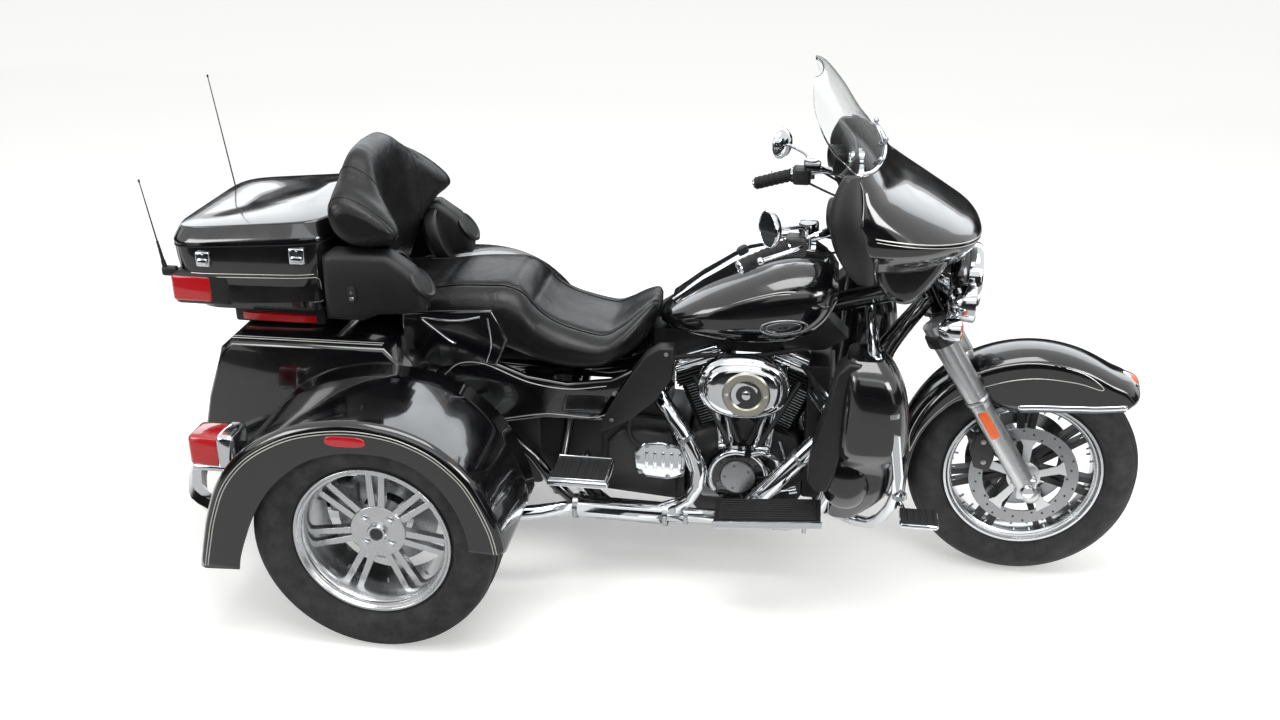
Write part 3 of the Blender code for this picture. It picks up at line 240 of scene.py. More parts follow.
def turned_aluminium(name, centre, tint="D9DBDC"):
    # Lathe-turned rim metal: rings, drawn coarser than the real tool marks, that draw out highlights
    made, tree, shader, place = start_material(name, {"Base Color": solid(tint), "Metallic": 1.0,
                                                      "Roughness": 0.24})
    about = add_node(tree, "ShaderNodeMapping", None,
                     {"Vector": place, "Location": (-centre[0], 0.0, -centre[1])})
    rings = add_node(tree, "ShaderNodeTexWave", {"wave_type": "RINGS", "rings_direction": "Y"},
                     {"Vector": about.outputs["Vector"], "Scale": 100.0, "Distortion": 0.4, "Detail": 1.0})
    relief(tree, rings.outputs["Fac"], 0.16, 0.0004, shader)
    gloss_from(tree, shader, noise(tree, place, 30.0, 4.0), 0.16, 0.34)
    return made


def cast_aluminium():
    # Sand-cast cases under clear lacquer: dull silver with a fine pebble
    made, tree, shader, place = start_material("cast_aluminium", {
        "Base Color": solid("A4A6A8"), "Metallic": 1.0, "Roughness": 0.42})
    relief(tree, noise(tree, place, 900.0, 2.0), 0.35, 0.0006, shader)
    return made


def wrinkle_black():
    # Baked black engine coating: satin with a fine shrivelled skin
    made, tree, shader, place = start_material("engine_black", {
        "Base Color": solid("0B0B0C"), "Roughness": 0.38, "Specular IOR Level": 0.5})
    skin = add_node(tree, "ShaderNodeTexVoronoi", {"feature": "SMOOTH_F1"}, {"Vector": place, "Scale": 700.0})
    relief(tree, skin.outputs["Distance"], 0.3, 0.0006, shader)
    gloss_from(tree, shader, noise(tree, place, 25.0, 5.0), 0.32, 0.55)
    return made


def leathercloth():
    # Calendered vinyl: pebbled grain, and long shallow wrinkles where it is pulled
    made, tree, shader, place = start_material("black_vinyl", {
        "Base Color": colour("vinyl"), "Roughness": 0.36, "IOR": 1.42})
    cells = add_node(tree, "ShaderNodeTexVoronoi", {"feature": "F1"},
                     {"Vector": place, "Scale": 1.0 / size("grain_size")})
    pull = relief(tree, noise(tree, place, 16.0, 3.0, Distortion=1.6), 0.22, 0.01)
    relief(tree, cells.outputs["Distance"], 0.35, 0.0005, shader, Normal=pull)
    gloss_from(tree, shader, noise(tree, place, 11.0, 6.0), 0.27, 0.42, 0.3, 0.7)
    return made


def tyre_rubber(name, axle, radius, sipes):
    # Black carbon rubber: moulded ribs on the wall, cross cuts in the tread, road dust on both
    made, tree, shader, place = start_material(name, {"Base Color": colour("rubber"), "Roughness": 0.78})
    split = add_node(tree, "ShaderNodeSeparateXYZ", None, {"Vector": place})
    dx = sums(tree, "SUBTRACT", split.outputs["X"], axle[0])
    dz = sums(tree, "SUBTRACT", split.outputs["Z"], axle[1])
    flat = add_node(tree, "ShaderNodeCombineXYZ", None, {"X": dx, "Y": dz})
    reach = add_node(tree, "ShaderNodeVectorMath", {"operation": "LENGTH"}, {0: flat.outputs["Vector"]})
    reach = reach.outputs["Value"]
    slant = sums(tree, "ABSOLUTE", split.outputs["Y"])
    skew = sums(tree, "MULTIPLY_ADD", slant, SIPE_SLANT, sums(tree, "ARCTAN2", dz, dx))
    cut = sums(tree, "GREATER_THAN", sums(tree, "SINE", sums(tree, "MULTIPLY", skew, sipes)), SIPE_SHARE)
    groove = sums(tree, "MULTIPLY", cut, sums(tree, "GREATER_THAN", reach, radius - TREAD_DEPTH))
    ripple = sums(tree, "SINE", sums(tree, "MULTIPLY", reach, WALL_RIBS))
    wall = sums(tree, "MULTIPLY_ADD", ripple, 0.05, 0.5)
    relief(tree, sums(tree, "SUBTRACT", wall, groove), 0.8, 0.0035, shader)
    tone = add_node(tree, "ShaderNodeValToRGB", None, {"Fac": noise(tree, place, 18.0, 7.0, Roughness=0.7)})
    for stop, at, shade in zip(tone.color_ramp.elements, (0.38, 0.78), (colour("rubber"), solid("333334"))):
        stop.position = at
        stop.color = shade
    tree.links.new(tone.outputs["Color"], shader.inputs["Base Color"])
    return made


def moulded_plastic():
    # Injection-moulded polypropylene with a spark-eroded texture, flat black
    made, tree, shader, place = start_material("moulded_plastic", {
        "Base Color": colour("plastic"), "Roughness": 0.5, "IOR": 1.49})
    relief(tree, noise(tree, place, 1100.0, 2.0), 0.3, 0.0004, shader)
    gloss_from(tree, shader, noise(tree, place, 12.0, 5.0), 0.38, 0.6)
    return made


def soft_rubber():
    # Ribbed grip and pad rubber, dull
    made, tree, shader, place = start_material("grip_rubber", {"Base Color": solid("141415"),
                                                               "Roughness": 0.7})
    ribs = add_node(tree, "ShaderNodeTexWave", {"bands_direction": "X"}, {"Vector": place, "Scale": 70.0})
    relief(tree, ribs.outputs["Fac"], 0.4, 0.0012, shader)
    return made


def lens(name, tone):
    # Dyed acrylic lamp lens: glossy outside, 4 mm prisms inside that show as small facets
    made, tree, shader, place = start_material(name, {
        "Base Color": tone, "Roughness": 0.1, "IOR": 1.49, "Transmission Weight": 0.25, "Coat Weight": 1.0,
        "Coat Roughness": 0.02})
    prism = add_node(tree, "ShaderNodeTexVoronoi", {"feature": "F1", "distance": "CHEBYCHEV"},
                     {"Vector": place, "Scale": 240.0, "Randomness": 0.0})
    relief(tree, prism.outputs["Distance"], 0.6, 0.0015, shader)
    return made


def lamp_glass():
    # Pressed clear lamp glass with vertical flutes
    made, tree, shader, place = start_material("lamp_glass", {
        "Base Color": solid("F4F7F8"), "Roughness": 0.03, "IOR": 1.5, "Transmission Weight": 1.0})
    flutes = add_node(tree, "ShaderNodeTexWave", {"bands_direction": "Y"}, {"Vector": place, "Scale": 60.0})
    relief(tree, flutes.outputs["Fac"], 0.12, 0.001, shader)
    return made


def screen_plastic():
    # Clear polycarbonate windscreen with wiped haze
    made, tree, shader, place = start_material("clear_polycarbonate", {
        "Base Color": solid("F8FAFA"), "Roughness": 0.02, "IOR": 1.12, "Transmission Weight": 1.0})
    gloss_from(tree, shader, noise(tree, place, 12.0, 5.0), 0.01, 0.05, 0.4, 0.8)
    return made


def mirror_glass():
    # Silvered glass with a faint blue cast
    made, tree, shader, place = start_material("mirror_glass", {
        "Base Color": solid("DFE6EA"), "Metallic": 1.0, "Roughness": 0.015})
    gloss_from(tree, shader, noise(tree, place, 60.0, 3.0), 0.01, 0.06, 0.5)
    return made


def bright_steel():
    # Zinc-bright screws and discs, a little grey
    made, tree, shader, place = start_material("bright_steel", {
        "Base Color": solid("A9ABAD"), "Metallic": 1.0, "Roughness": 0.28})
    gloss_from(tree, shader, noise(tree, place, 140.0, 4.0), 0.18, 0.42)
    return made


def bronze_ring():
    # Brushed nickel-bronze trim ring, warmer than the chrome round it
    made, tree, shader, place = start_material("brushed_bronze", {
        "Base Color": solid("B4B1A4"), "Metallic": 1.0, "Roughness": 0.34})
    relief(tree, noise(tree, place, 500.0, 2.0), 0.2, 0.0003, shader)
    return made


def grille_cloth():
    # Perforated speaker cover: holes 3 mm apart
    made, tree, shader, place = start_material("grille_mesh", {"Base Color": solid("101011"),
                                                               "Roughness": 0.6})
    holes = add_node(tree, "ShaderNodeTexVoronoi", {"feature": "F1"},
                     {"Vector": place, "Scale": 330.0, "Randomness": 0.0})
    relief(tree, holes.outputs["Distance"], 1.0, 0.002, shader)
    return made


MAKERS = {
    # finish: how it is made, the record's slot that it belongs to
    "gloss_enamel": (enamel, "gloss_black"),
    "silver_pinstripe": (pinstripe, "gloss_black"),
    "chrome_plate": (chrome, "chrome"),
    "satin_aluminium": (brushed_aluminium, "aluminium"),
    "rear_rim_metal": (lambda: turned_aluminium("rear_rim_metal", REAR_AXLE), "aluminium"),
    "front_rim_metal": (lambda: turned_aluminium("front_rim_metal", FRONT_AXLE, "CDD0D2"), "aluminium"),
    "disc_metal": (lambda: turned_aluminium("disc_metal", FRONT_AXLE, "8E9092"), "aluminium"),
    "cast_aluminium": (cast_aluminium, "aluminium"),
    "engine_black": (wrinkle_black, "engine_black"),
    "black_vinyl": (leathercloth, "vinyl"),
    "rear_tyre_rubber": (lambda: tyre_rubber("rear_tyre_rubber", REAR_AXLE, REAR_TYRE_R, 64.0), "rubber"),
    "front_tyre_rubber": (lambda: tyre_rubber("front_tyre_rubber", FRONT_AXLE, FRONT_TYRE_R, 38.0), "rubber"),
    "moulded_plastic": (moulded_plastic, "matte_black"),
    "grip_rubber": (soft_rubber, "rubber"),
    "red_acrylic": (lambda: lens("red_acrylic", colour("red")), "red_lens"),
    "amber_acrylic": (lambda: lens("amber_acrylic", colour("amber")), "red_lens"),
    "lamp_glass": (lamp_glass, "clear"),
    "clear_polycarbonate": (screen_plastic, "clear"),
    "mirror_glass": (mirror_glass, "chrome"),
    "bright_steel": (bright_steel, "chrome"),
    "brushed_bronze": (bronze_ring, "chrome"),
    "grille_mesh": (grille_cloth, "matte_black"),
}


def finish(name):
    return bpy.data.materials.get(name) or MAKERS[name][0]()


def publish(bm, name, finish_name, body="chassis", nodes=(), sharp=34.0, wall=0.0, levels=0, rounding=0.0,
            at_rest=True):
    """The bmesh as a smooth-shaded piece riding on a body, standing for CAD nodes where it replaces them."""
    bmesh.ops.remove_doubles(bm, verts=bm.verts, dist=1e-5)
    bmesh.ops.recalc_face_normals(bm, faces=bm.faces)
    if at_rest:
        bmesh.ops.translate(bm, vec=(REAR_AXLE_X, 0.0, 0.0), verts=bm.verts)
    mesh = bpy.data.meshes.new(name)
    bm.to_mesh(mesh)
    bm.free()
    mesh.shade_smooth()
    mesh.set_sharp_from_angle(angle=radians(sharp))
    mesh.materials.append(finish(finish_name))
    piece = bpy.data.objects.new(name, mesh)
    bpy.context.scene.collection.objects.link(piece)
    if wall:
        skin = piece.modifiers.new("wall", "SOLIDIFY")
        skin.thickness = wall
        skin.offset = -1.0
    if rounding:
        soft = piece.modifiers.new("rounding", "BEVEL")
        soft.width = rounding
        soft.segments = 2
        soft.limit_method = "ANGLE"
        soft.angle_limit = radians(30.0)
        soft.harden_normals = True
    if levels:
        finer = piece.modifiers.new("smooth", "SUBSURF")
        finer.levels = levels
        finer.render_levels = levels
    if nodes:
        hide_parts(*nodes)
    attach(piece, body)
    return piece


def sided(side, inner, outer):
    """Two distances from the middle plane as a sorted pair of y: left for side 1, right for side -1."""
    return tuple(sorted((side * inner, side * outer)))


def body_of(node):
    return frame["nodes"][node]["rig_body"]


def reface(node, finish_name, sharp=28.0):
    """A merged, smooth-shaded copy of a CAD node in its real finish."""
    bm = bmesh.new()
    bm.from_mesh(frame["nodes"][node].data)
    return publish(bm, node + "_skin", finish_name, body_of(node), (node,), sharp, at_rest=False)


def turned(centre, along):
    swing = Vector(along).to_track_quat("Z", "Y").to_matrix().to_4x4()
    return Matrix.Translation(Vector(centre)) @ swing


def fresh_in(bm, old):
    return [v for v in bm.verts if v not in old]


def spun(bm, profile, centre, along, steps=48):
    """A closed (radius, height) section spun once round an axis."""
    old = set(bm.verts)
    corners = [bm.verts.new((r, 0.0, h)) for r, h in profile]
    edges = [bm.edges.new((corners[i - 1], corners[i])) for i in range(len(corners))]
    bmesh.ops.spin(bm, geom=corners + edges, cent=(0, 0, 0), axis=(0, 0, 1), angle=2 * pi, steps=steps,
                   use_merge=True)
    bmesh.ops.transform(bm, matrix=turned(centre, along), verts=fresh_in(bm, old))


def loft(bm, rings):
    """Closed rings joined into one skin, with both ends filled."""
    loops = []
    for ring in rings:
        corners = [bm.verts.new(p) for p in ring]
        loops.append([bm.edges.new((corners[i - 1], corners[i])) for i in range(len(corners))])
    for near, far in zip(loops, loops[1:]):
        bmesh.ops.bridge_loops(bm, edges=near + far)
    for end in (loops[0], loops[-1]):
        bmesh.ops.edgeloop_fill(bm, edges=end)


def sheet(bm, rows):
    """An open skin: a grid whose rows are laid on rows of points."""
    old = set(bm.verts)
    bmesh.ops.create_grid(bm, x_segments=len(rows[0]) - 1, y_segments=len(rows) - 1, size=1.0)
    for vert, spot in zip(fresh_in(bm, old), [p for row in rows for p in row]):
        vert.co = spot


def slab(bm, outline, y_low, y_high, soft=0.0, rows=2):
    """An X-Z outline carried across Y, with rounded side edges."""
    old = set(bm.verts)
    face = bm.faces.new([bm.verts.new((x, y_low, z)) for x, z in outline])
    made = bmesh.ops.extrude_face_region(bm, geom=[face])
    tops = [v for v in made["geom"] if isinstance(v, bmesh.types.BMVert)]
    bmesh.ops.translate(bm, verts=tops, vec=(0.0, y_high - y_low, 0.0))
    if soft:
        edges = {e for v in fresh_in(bm, old) for e in v.link_edges}
        rims = [e for e in edges if abs(e.verts[0].co.y - e.verts[1].co.y) < 1e-6]
        bmesh.ops.bevel(bm, geom=rims, offset=soft, segments=rows, profile=0.5, affect="EDGES", material=-1)


def brick(bm, x, y, z, soft=0.002, rows=2, turn=None):
    """A rounded box between pairs of stations, turned about its middle where asked."""
    old = set(bm.verts)
    middle = Vector([(a + b) / 2 for a, b in (x, y, z)])
    made = bmesh.ops.create_cube(bm, size=1.0)
    verts = made["verts"]
    bmesh.ops.scale(bm, vec=(x[1] - x[0], y[1] - y[0], z[1] - z[0]), verts=verts)
    if soft:
        edges = sorted({e for v in verts for e in v.link_edges}, key=lambda e: e.index)
        bmesh.ops.bevel(bm, geom=edges, offset=soft, segments=rows, profile=0.5, affect="EDGES", material=-1)
    place = Matrix.Translation(middle) @ (turn or Matrix())
    bmesh.ops.transform(bm, matrix=place, verts=fresh_in(bm, old))


def rod(bm, start, end, radius, sides=20, tip=None):
    """A straight round bar, tapered where a tip radius is given."""
    span = Vector(end) - Vector(start)
    made = bmesh.ops.create_cone(bm, cap_ends=True, segments=sides, radius1=radius,
                                 radius2=radius if tip is None else tip, depth=span.length)
    bmesh.ops.transform(bm, matrix=turned((Vector(start) + Vector(end)) / 2, span), verts=made["verts"])


def ball(bm, centre, radius, squash=(1, 1, 1), sides=20):
    made = bmesh.ops.create_uvsphere(bm, u_segments=sides, v_segments=sides // 2, radius=radius)
    bmesh.ops.scale(bm, vec=squash, verts=made["verts"])
    bmesh.ops.translate(bm, vec=centre, verts=made["verts"])


def bolts(bm, spots, along, radius=None, height=0.006):
    """Domed hexagon screws standing on a surface."""
    radius = radius or size("bolt_radius")
    for spot in spots:
        base = Vector(spot)
        up = Vector(along).normalized()
        rod(bm, base - up * 0.004, base + up * height * 0.35, radius * 1.25, 14)
        rod(bm, base, base + up * height, radius, 6, radius * 0.86)


def eased(points, steps=6):
    """The points joined by one smooth curve through all of them."""
    points = [Vector(p) for p in points]
    padded = [points[0] * 2 - points[1]] + points + [points[-1] * 2 - points[-2]]
    out = []
    for before, here, there, after in zip(padded, padded[1:], padded[2:], padded[3:]):
        for i in range(steps):
            t = i / steps
            a = there - before
            b = before * 2 - here * 5 + there * 4 - after
            c = here * 3 - before - there * 3 + after
            out.append((here * 2 + a * t + b * t * t + c * t**3) / 2)
    out.append(points[-1])
    return out


def pipe(bm, points, radius, steps=6, sides=4):
    """A round tube with closed ends along a smooth path."""
    curve = bpy.data.curves.new("path", "CURVE")
    curve.dimensions = "3D"
    curve.bevel_depth = radius
    curve.bevel_resolution = sides
    curve.use_fill_caps = True
    path = eased(points, steps) if steps > 1 else [Vector(p) for p in points]
    line = curve.splines.new("POLY")
    line.points.add(len(path) - 1)
    for spot, p in zip(line.points, path):
        spot.co = (*p, 1.0)
    holder = bpy.data.objects.new("path", curve)
    bpy.context.scene.collection.objects.link(holder)
    bpy.context.view_layer.update()
    mesh = bpy.data.meshes.new_from_object(holder.evaluated_get(bpy.context.evaluated_depsgraph_get()))
    bpy.data.objects.remove(holder)
    bpy.data.curves.remove(curve)
    bm.from_mesh(mesh)
    bpy.data.meshes.remove(mesh)


def power(value, exponent):
    return (abs(value) ** exponent) * (1 if value >= 0 else -1)


def leg_x(z):
    return WHEELBASE - LEG_LEAN * (z - FRONT_AXLE_Z)


SIDES = (("right", -1), ("left", 1))

# Shared stations: fender side, top case wall, sewn crown line of the seat, tank section, cylinder banks
SHOULDER = 0.02
FLANK_Y = 0.6935
FENDER_FOOT_Y = 0.3368
CASE_MIDDLE_X = -0.4325
CASE_REACH = 0.228
CASE_SQUARE = 6.5
SEAT_CROWN = 0.66
TANK_SQUARE = 2.7
BANK_ANGLE = 22.5


def tyres():
    """Carcasses with a grooved tread; the cross cuts and wall ribs are in the rubber."""
    rear = [(0.1915, 0.079), (0.213, 0.0855), (0.222, 0.097), (0.245, 0.1022), (0.275, 0.1022),
            (0.292, 0.101), (0.304, 0.095), (0.3125, 0.0885), (0.316, 0.079), (0.318, 0.064), (0.312, 0.0625),
            (0.312, 0.0575), (0.3205, 0.056), (0.3216, 0.023), (0.313, 0.0215), (0.313, 0.0165),
            (0.3222, 0.015)]
    front = [(0.2035, 0.0335), (0.225, 0.04), (0.236, 0.056), (0.252, 0.064), (0.265, 0.0646),
             (0.279, 0.061), (0.292, 0.054), (0.303, 0.042), (0.304, 0.0385), (0.309, 0.036),
             (0.313, 0.024), (0.3085, 0.0225), (0.3085, 0.019), (0.315, 0.018), (0.3185, 0.008)]
    for name, side in SIDES:
        bm = bmesh.new()
        section = rear + [(r, -h) for r, h in reversed(rear)] + [(0.1915, -0.06), (0.3, -0.085), (0.3, 0.085),
                                                                 (0.1915, 0.06)]
        spun(bm, section, (0, side * REAR_WHEEL_Y, REAR_AXLE_Z), (0, 1, 0), 96)
        publish(bm, "rear_tyre_carcass_" + name, "rear_tyre_rubber", "rear_wheel_" + name,
                ("tyre_rear_" + name,), 50)
    bm = bmesh.new()
    section = front + [(r, -h) for r, h in reversed(front)] + [(0.2035, -0.02), (0.29, -0.045), (0.29, 0.045),
                                                               (0.2035, 0.02)]
    spun(bm, section, (WHEELBASE, 0, FRONT_AXLE_Z), (0, 1, 0), 96)
    publish(bm, "front_tyre_carcass", "front_tyre_rubber", "front_wheel", ("tyre_front",), 50)


def spokes(bm, centre, side, near, far, y_near, y_far, width, gap_near, gap_far, pairs, depth):
    """Pairs of straight spokes, each pair opening towards the rim."""
    for i in range(pairs):
        middle = pi / 2 + 2 * pi * i / pairs
        for turn in (-1, 1):
            outline = []
            for r, across, half in ((near, gap_near, width * 0.62), (far, gap_far, width * 0.5)):
                for edge in (-half, half):
                    a = middle + turn * (across / r) + edge / r
                    outline.append((centre[0] + r * cos(a), r * sin(a) + centre[2], r))
            order = (outline[0], outline[1], outline[3], outline[2])
            rows = []
            for out in (0.0, 1.0):
                row = []
                for x, z, r in order:
                    share = (r - near) / (far - near)
                    face_y = y_near + (y_far - y_near) * share
                    row.append((x, centre[1] + side * (face_y - depth * (1 - out)), z))
                rows.append(row)
            loft(bm, rows)


def rear_wheels():
    """Deep-dished rims: machined lip and barrel, seven pairs of spokes, four hub screws and a plain cap."""
    for name, side in SIDES:
        centre = (0.0, side * REAR_WHEEL_Y, REAR_AXLE_Z)
        along = (0, side, 0)
        bm = bmesh.new()
        rim = [(0.201, 0.0925), (0.2065, 0.0925), (0.2085, 0.089), (0.208, 0.084), (0.1895, 0.0825),
               (0.1895, -0.0825), (0.208, -0.084), (0.208, -0.0925), (0.2, -0.0925), (0.179, -0.078),
               (0.179, 0.03), (0.18, 0.056), (0.188, 0.074), (0.197, 0.085)]
        spun(bm, rim, centre, along, 96)
        hub = [(0.0, -0.03), (0.058, -0.03), (0.058, 0.02), (0.072, 0.031), (0.0745, 0.036), (0.072, 0.04),
               (0.03, 0.042), (0.0, 0.042)]
        spun(bm, hub, centre, along, 64)
        spokes(bm, centre, side, 0.06, 0.184, 0.036, 0.03, 0.0155, 0.0115, 0.0185, 7, 0.022)
        publish(bm, "rear_rim_" + name, "rear_rim_metal", "rear_wheel_" + name, ("wheel_rear_" + name,), 30,
                rounding=0.0012)
        bm = bmesh.new()
        face = side * (REAR_WHEEL_Y + 0.041)
        spots = []
        for i in range(4):
            a = pi / 4 + i * pi / 2
            spots.append((0.0475 * cos(a), face, REAR_AXLE_Z + 0.0475 * sin(a)))
        for spot in spots:
            rod(bm, Vector(spot) - Vector(along) * 0.004, Vector(spot) + Vector(along) * 0.003, 0.0135, 20)
            rod(bm, spot, Vector(spot) + Vector(along) * 0.011, 0.01, 6, 0.0085)
        ring = [(0.0, 0.04), (0.026, 0.04), (0.026, 0.05), (0.0235, 0.0535), (0.019, 0.0535), (0.0185, 0.052),
                (0.0, 0.052)]
        spun(bm, ring, centre, along, 40)
        inset = face - side * 0.02
        rod(bm, (0.165, inset, REAR_AXLE_Z - 0.06), (0.178, inset, REAR_AXLE_Z - 0.065), 0.0035, 10)
        publish(bm, "rear_hub_screws_" + name, "chrome_plate", "rear_wheel_" + name, sharp=30)
        bm = bmesh.new()
        spun(bm, [(0.0, 0.0515), (0.018, 0.0515), (0.0165, 0.053), (0.0, 0.0538)], centre, along, 32)
        publish(bm, "rear_hub_cap_" + name, "engine_black", "rear_wheel_" + name)
        bm = bmesh.new()
        disc = [(0.07, -0.052), (0.135, -0.052), (0.135, -0.044), (0.07, -0.044)]
        spun(bm, disc, centre, along, 64)
        publish(bm, "rear_brake_disc_" + name, "bright_steel", "rear_wheel_" + name)
        bm = bmesh.new()
        brick(bm, (-0.15, -0.075), sided(side, REAR_WHEEL_Y - 0.08, REAR_WHEEL_Y - 0.022),
              (REAR_AXLE_Z + 0.01, REAR_AXLE_Z + 0.095), 0.01, 3)
        publish(bm, "rear_caliper_" + name, "cast_aluminium")
        bm = bmesh.new()
        for i in range(10):
            a = 2 * pi * (i + 0.5) / 10
            inner = Vector((0.18 * cos(a), side * (REAR_WHEEL_Y - 0.01), REAR_AXLE_Z + 0.18 * sin(a)))
            rod(bm, inner, inner + Vector((-0.008 * cos(a), 0, -0.008 * sin(a))), 0.0028, 8)
        publish(bm, "rear_rim_balance_marks_" + name, "bright_steel", "rear_wheel_" + name)


def front_wheel():
    """Polished lip over black spokes, two drilled discs on their carriers."""
    centre = (WHEELBASE, 0.0, FRONT_AXLE_Z)
    bm = bmesh.new()
    rim = [(0.212, 0.046), (0.2185, 0.046), (0.2205, 0.043), (0.22, 0.038), (0.202, 0.0365),
           (0.202, -0.0365), (0.22, -0.038), (0.2205, -0.043), (0.2185, -0.046), (0.212, -0.046),
           (0.206, -0.037), (0.196, -0.03), (0.193, -0.018), (0.193, 0.018), (0.196, 0.03),
           (0.206, 0.037)]
    spun(bm, rim, centre, (0, 1, 0), 96)
    for i in range(28):
        a = 2 * pi * i / 28
        if i % 4 == 0:
            continue
        for side in (-1, 1):
            spot = Vector((WHEELBASE + 0.1945 * cos(a), side * 0.024, FRONT_AXLE_Z + 0.1945 * sin(a)))
            inward = Vector((-cos(a), 0, -sin(a)))
            rod(bm, spot, spot + inward * 0.01, 0.0035, 8)
    publish(bm, "front_rim", "front_rim_metal", "front_wheel", ("wheel_front",), 30)
    bm = bmesh.new()
    spokes(bm, centre, 1, 0.034, 0.196, 0.02, 0.016, 0.0165, 0.008, 0.02, 7, 0.034)
    spun(bm, [(0.0, -0.036), (0.044, -0.036), (0.05, -0.022), (0.05, 0.022), (0.044, 0.036), (0.0, 0.036)],
         centre, (0, 1, 0), 48)
    publish(bm, "front_spokes", "engine_black", "front_wheel", sharp=30, rounding=0.0016)
    for name, side in SIDES:
        y = side * 0.056
        bm = bmesh.new()
        ring = [(0.112, -0.0025), (0.15, -0.0025), (0.15, 0.0025), (0.112, 0.0025)]
        spun(bm, ring, (WHEELBASE, y, FRONT_AXLE_Z), (0, side, 0), 84)
        publish(bm, "front_disc_" + name, "disc_metal", "front_wheel", sharp=30)
        bm = bmesh.new()
        for i in range(30):
            a = 2 * pi * i / 30
            r = (0.12, 0.131, 0.142)[i % 3]
            spot = Vector((WHEELBASE + r * cos(a), y + side * 0.0024, FRONT_AXLE_Z + r * sin(a)))
            rod(bm, spot, spot + Vector((0, side * 0.0006, 0)), 0.0034, 10)
        publish(bm, "front_disc_holes_" + name, "engine_black", "front_wheel")
        bm = bmesh.new()
        for i in range(5):
            a = 2 * pi * i / 5 + 0.3
            outline = []
            for r, half in ((0.03, 0.34), (0.07, 0.16), (0.098, 0.13), (0.118, 0.2)):
                outline.append((r, a - half))
            for r, half in ((0.118, 0.2), (0.098, 0.13), (0.07, 0.16), (0.03, 0.34)):
                outline.append((r, a + half))
            flat = [(WHEELBASE + r * cos(t), FRONT_AXLE_Z + r * sin(t)) for r, t in outline]
            slab(bm, flat, *sorted((y + side * 0.0026, y + side * 0.0066)))
        spun(bm, [(0.0, 0.0), (0.046, 0.0), (0.046, 0.008), (0.038, 0.012), (0.0, 0.012)],
             (WHEELBASE, y - side * 0.002, FRONT_AXLE_Z), (0, side, 0), 40)
        spots = [(WHEELBASE + 0.036 * cos(t), y + side * 0.009, FRONT_AXLE_Z + 0.036 * sin(t))
                 for t in [2 * pi * k / 5 for k in range(5)]]
        bolts(bm, spots, (0, side, 0), 0.0055, 0.005)
        publish(bm, "front_disc_carrier_" + name, "satin_aluminium", "front_wheel", sharp=30)


ARC_STATIONS = (
    # rear fender crest (x, z), wheel opening (x, z)
    ((0.352, 0.334), (0.262, 0.334)), ((0.345, 0.372), (0.261, 0.356)), ((0.334, 0.41), (0.252, 0.398)),
    ((0.304, 0.48), (0.228, 0.458)), ((0.264, 0.545), (0.186, 0.518)), ((0.195, 0.608), (0.128, 0.563)),
    ((0.118, 0.646), (0.066, 0.585)), ((0.04, 0.664), (0.01, 0.5895)), ((-0.05, 0.667), (-0.052, 0.586)),
    ((-0.15, 0.65), (-0.12, 0.568)), ((-0.232, 0.618), (-0.182, 0.532)), ((-0.318, 0.56), (-0.246, 0.47)),
    ((-0.385, 0.478), (-0.292, 0.398)), ((-0.425, 0.38), (-0.326, 0.318)), ((-0.446, 0.3), (-0.345, 0.262)),
    ((-0.462, 0.226), (-0.352, 0.226)),
)

def rear_fenders():
    """Rolled fenders: flat crown, round shoulder and a side that stops at the wheel opening."""
    for name, side in SIDES:
        rows = []
        crest = eased([Vector((x, 0, z)) for (x, z), _ in ARC_STATIONS], 4)
        mouth = eased([Vector((x, 0, z)) for _, (x, z) in ARC_STATIONS], 4)
        hub = Vector((0.0, 0.0, REAR_AXLE_Z))
        for i, (top, low) in enumerate(zip(crest, mouth)):
            ahead = crest[min(i + 1, len(crest) - 1)] - crest[max(i - 1, 0)]
            inward = Vector((ahead.z, 0, -ahead.x)).normalized()
            if inward.dot(hub - top) < 0:
                inward = -inward
            row = [(top, 0.3365), (top, 0.42), (top, 0.5), (top, 0.58), (top, FLANK_Y - SHOULDER)]
            for k in range(1, 7):
                a = k * pi / 12
                row.append((top + inward * SHOULDER * (1 - cos(a)), FLANK_Y - SHOULDER * (1 - sin(a))))
            shoulder = row[-1][0]
            for k in (0.25, 0.5, 0.75, 1.0):
                row.append((shoulder + (low - shoulder) * k, FLANK_Y))
            row.append((low + (low - hub).normalized() * 0.001, FLANK_Y - 0.0033))
            row.append((low + (low - hub).normalized() * 0.004, FLANK_Y - 0.0083))
            rows.append([(p.x, side * y, p.z) for p, y in row])
        bm = bmesh.new()
        sheet(bm, rows)
        shell = publish(bm, "rear_fender_shell_" + name, "gloss_enamel", sharp=60, wall=0.0035)
        shell.modifiers["wall"].offset = 0.0
        bm = bmesh.new()
        inner = []
        for row in rows:
            x, _, z = row[0]
            inner.append([(x, side * FENDER_FOOT_Y, z), (x * 0.82, side * FENDER_FOOT_Y,
                                                         REAR_AXLE_Z + (z - REAR_AXLE_Z) * 0.82)])
        sheet(bm, inner)
        publish(bm, "rear_fender_inner_" + name, "moulded_plastic", nodes=("fender_" + name,), sharp=60,
                wall=0.003)


def fender_stripes():
    """Twin silver lines round each fender's side."""
    line = [(x, z) for (x, z), _ in ARC_STATIONS]
    hub = Vector((0, 0, REAR_AXLE_Z))
    for name, side in SIDES:
        bm = bmesh.new()
        for drop in (0.0, 0.0075):
            path = []
            for x, z in line:
                p = Vector((x, 0, z))
                p = p + (hub - p).normalized() * (SHOULDER * 0.96 + drop)
                path.append((p.x, side * (FLANK_Y + 0.0018), p.z))
            pipe(bm, path, size("stripe_width") * 0.45, 5, 2)
        publish(bm, "fender_pinstripes_" + name, "silver_pinstripe")


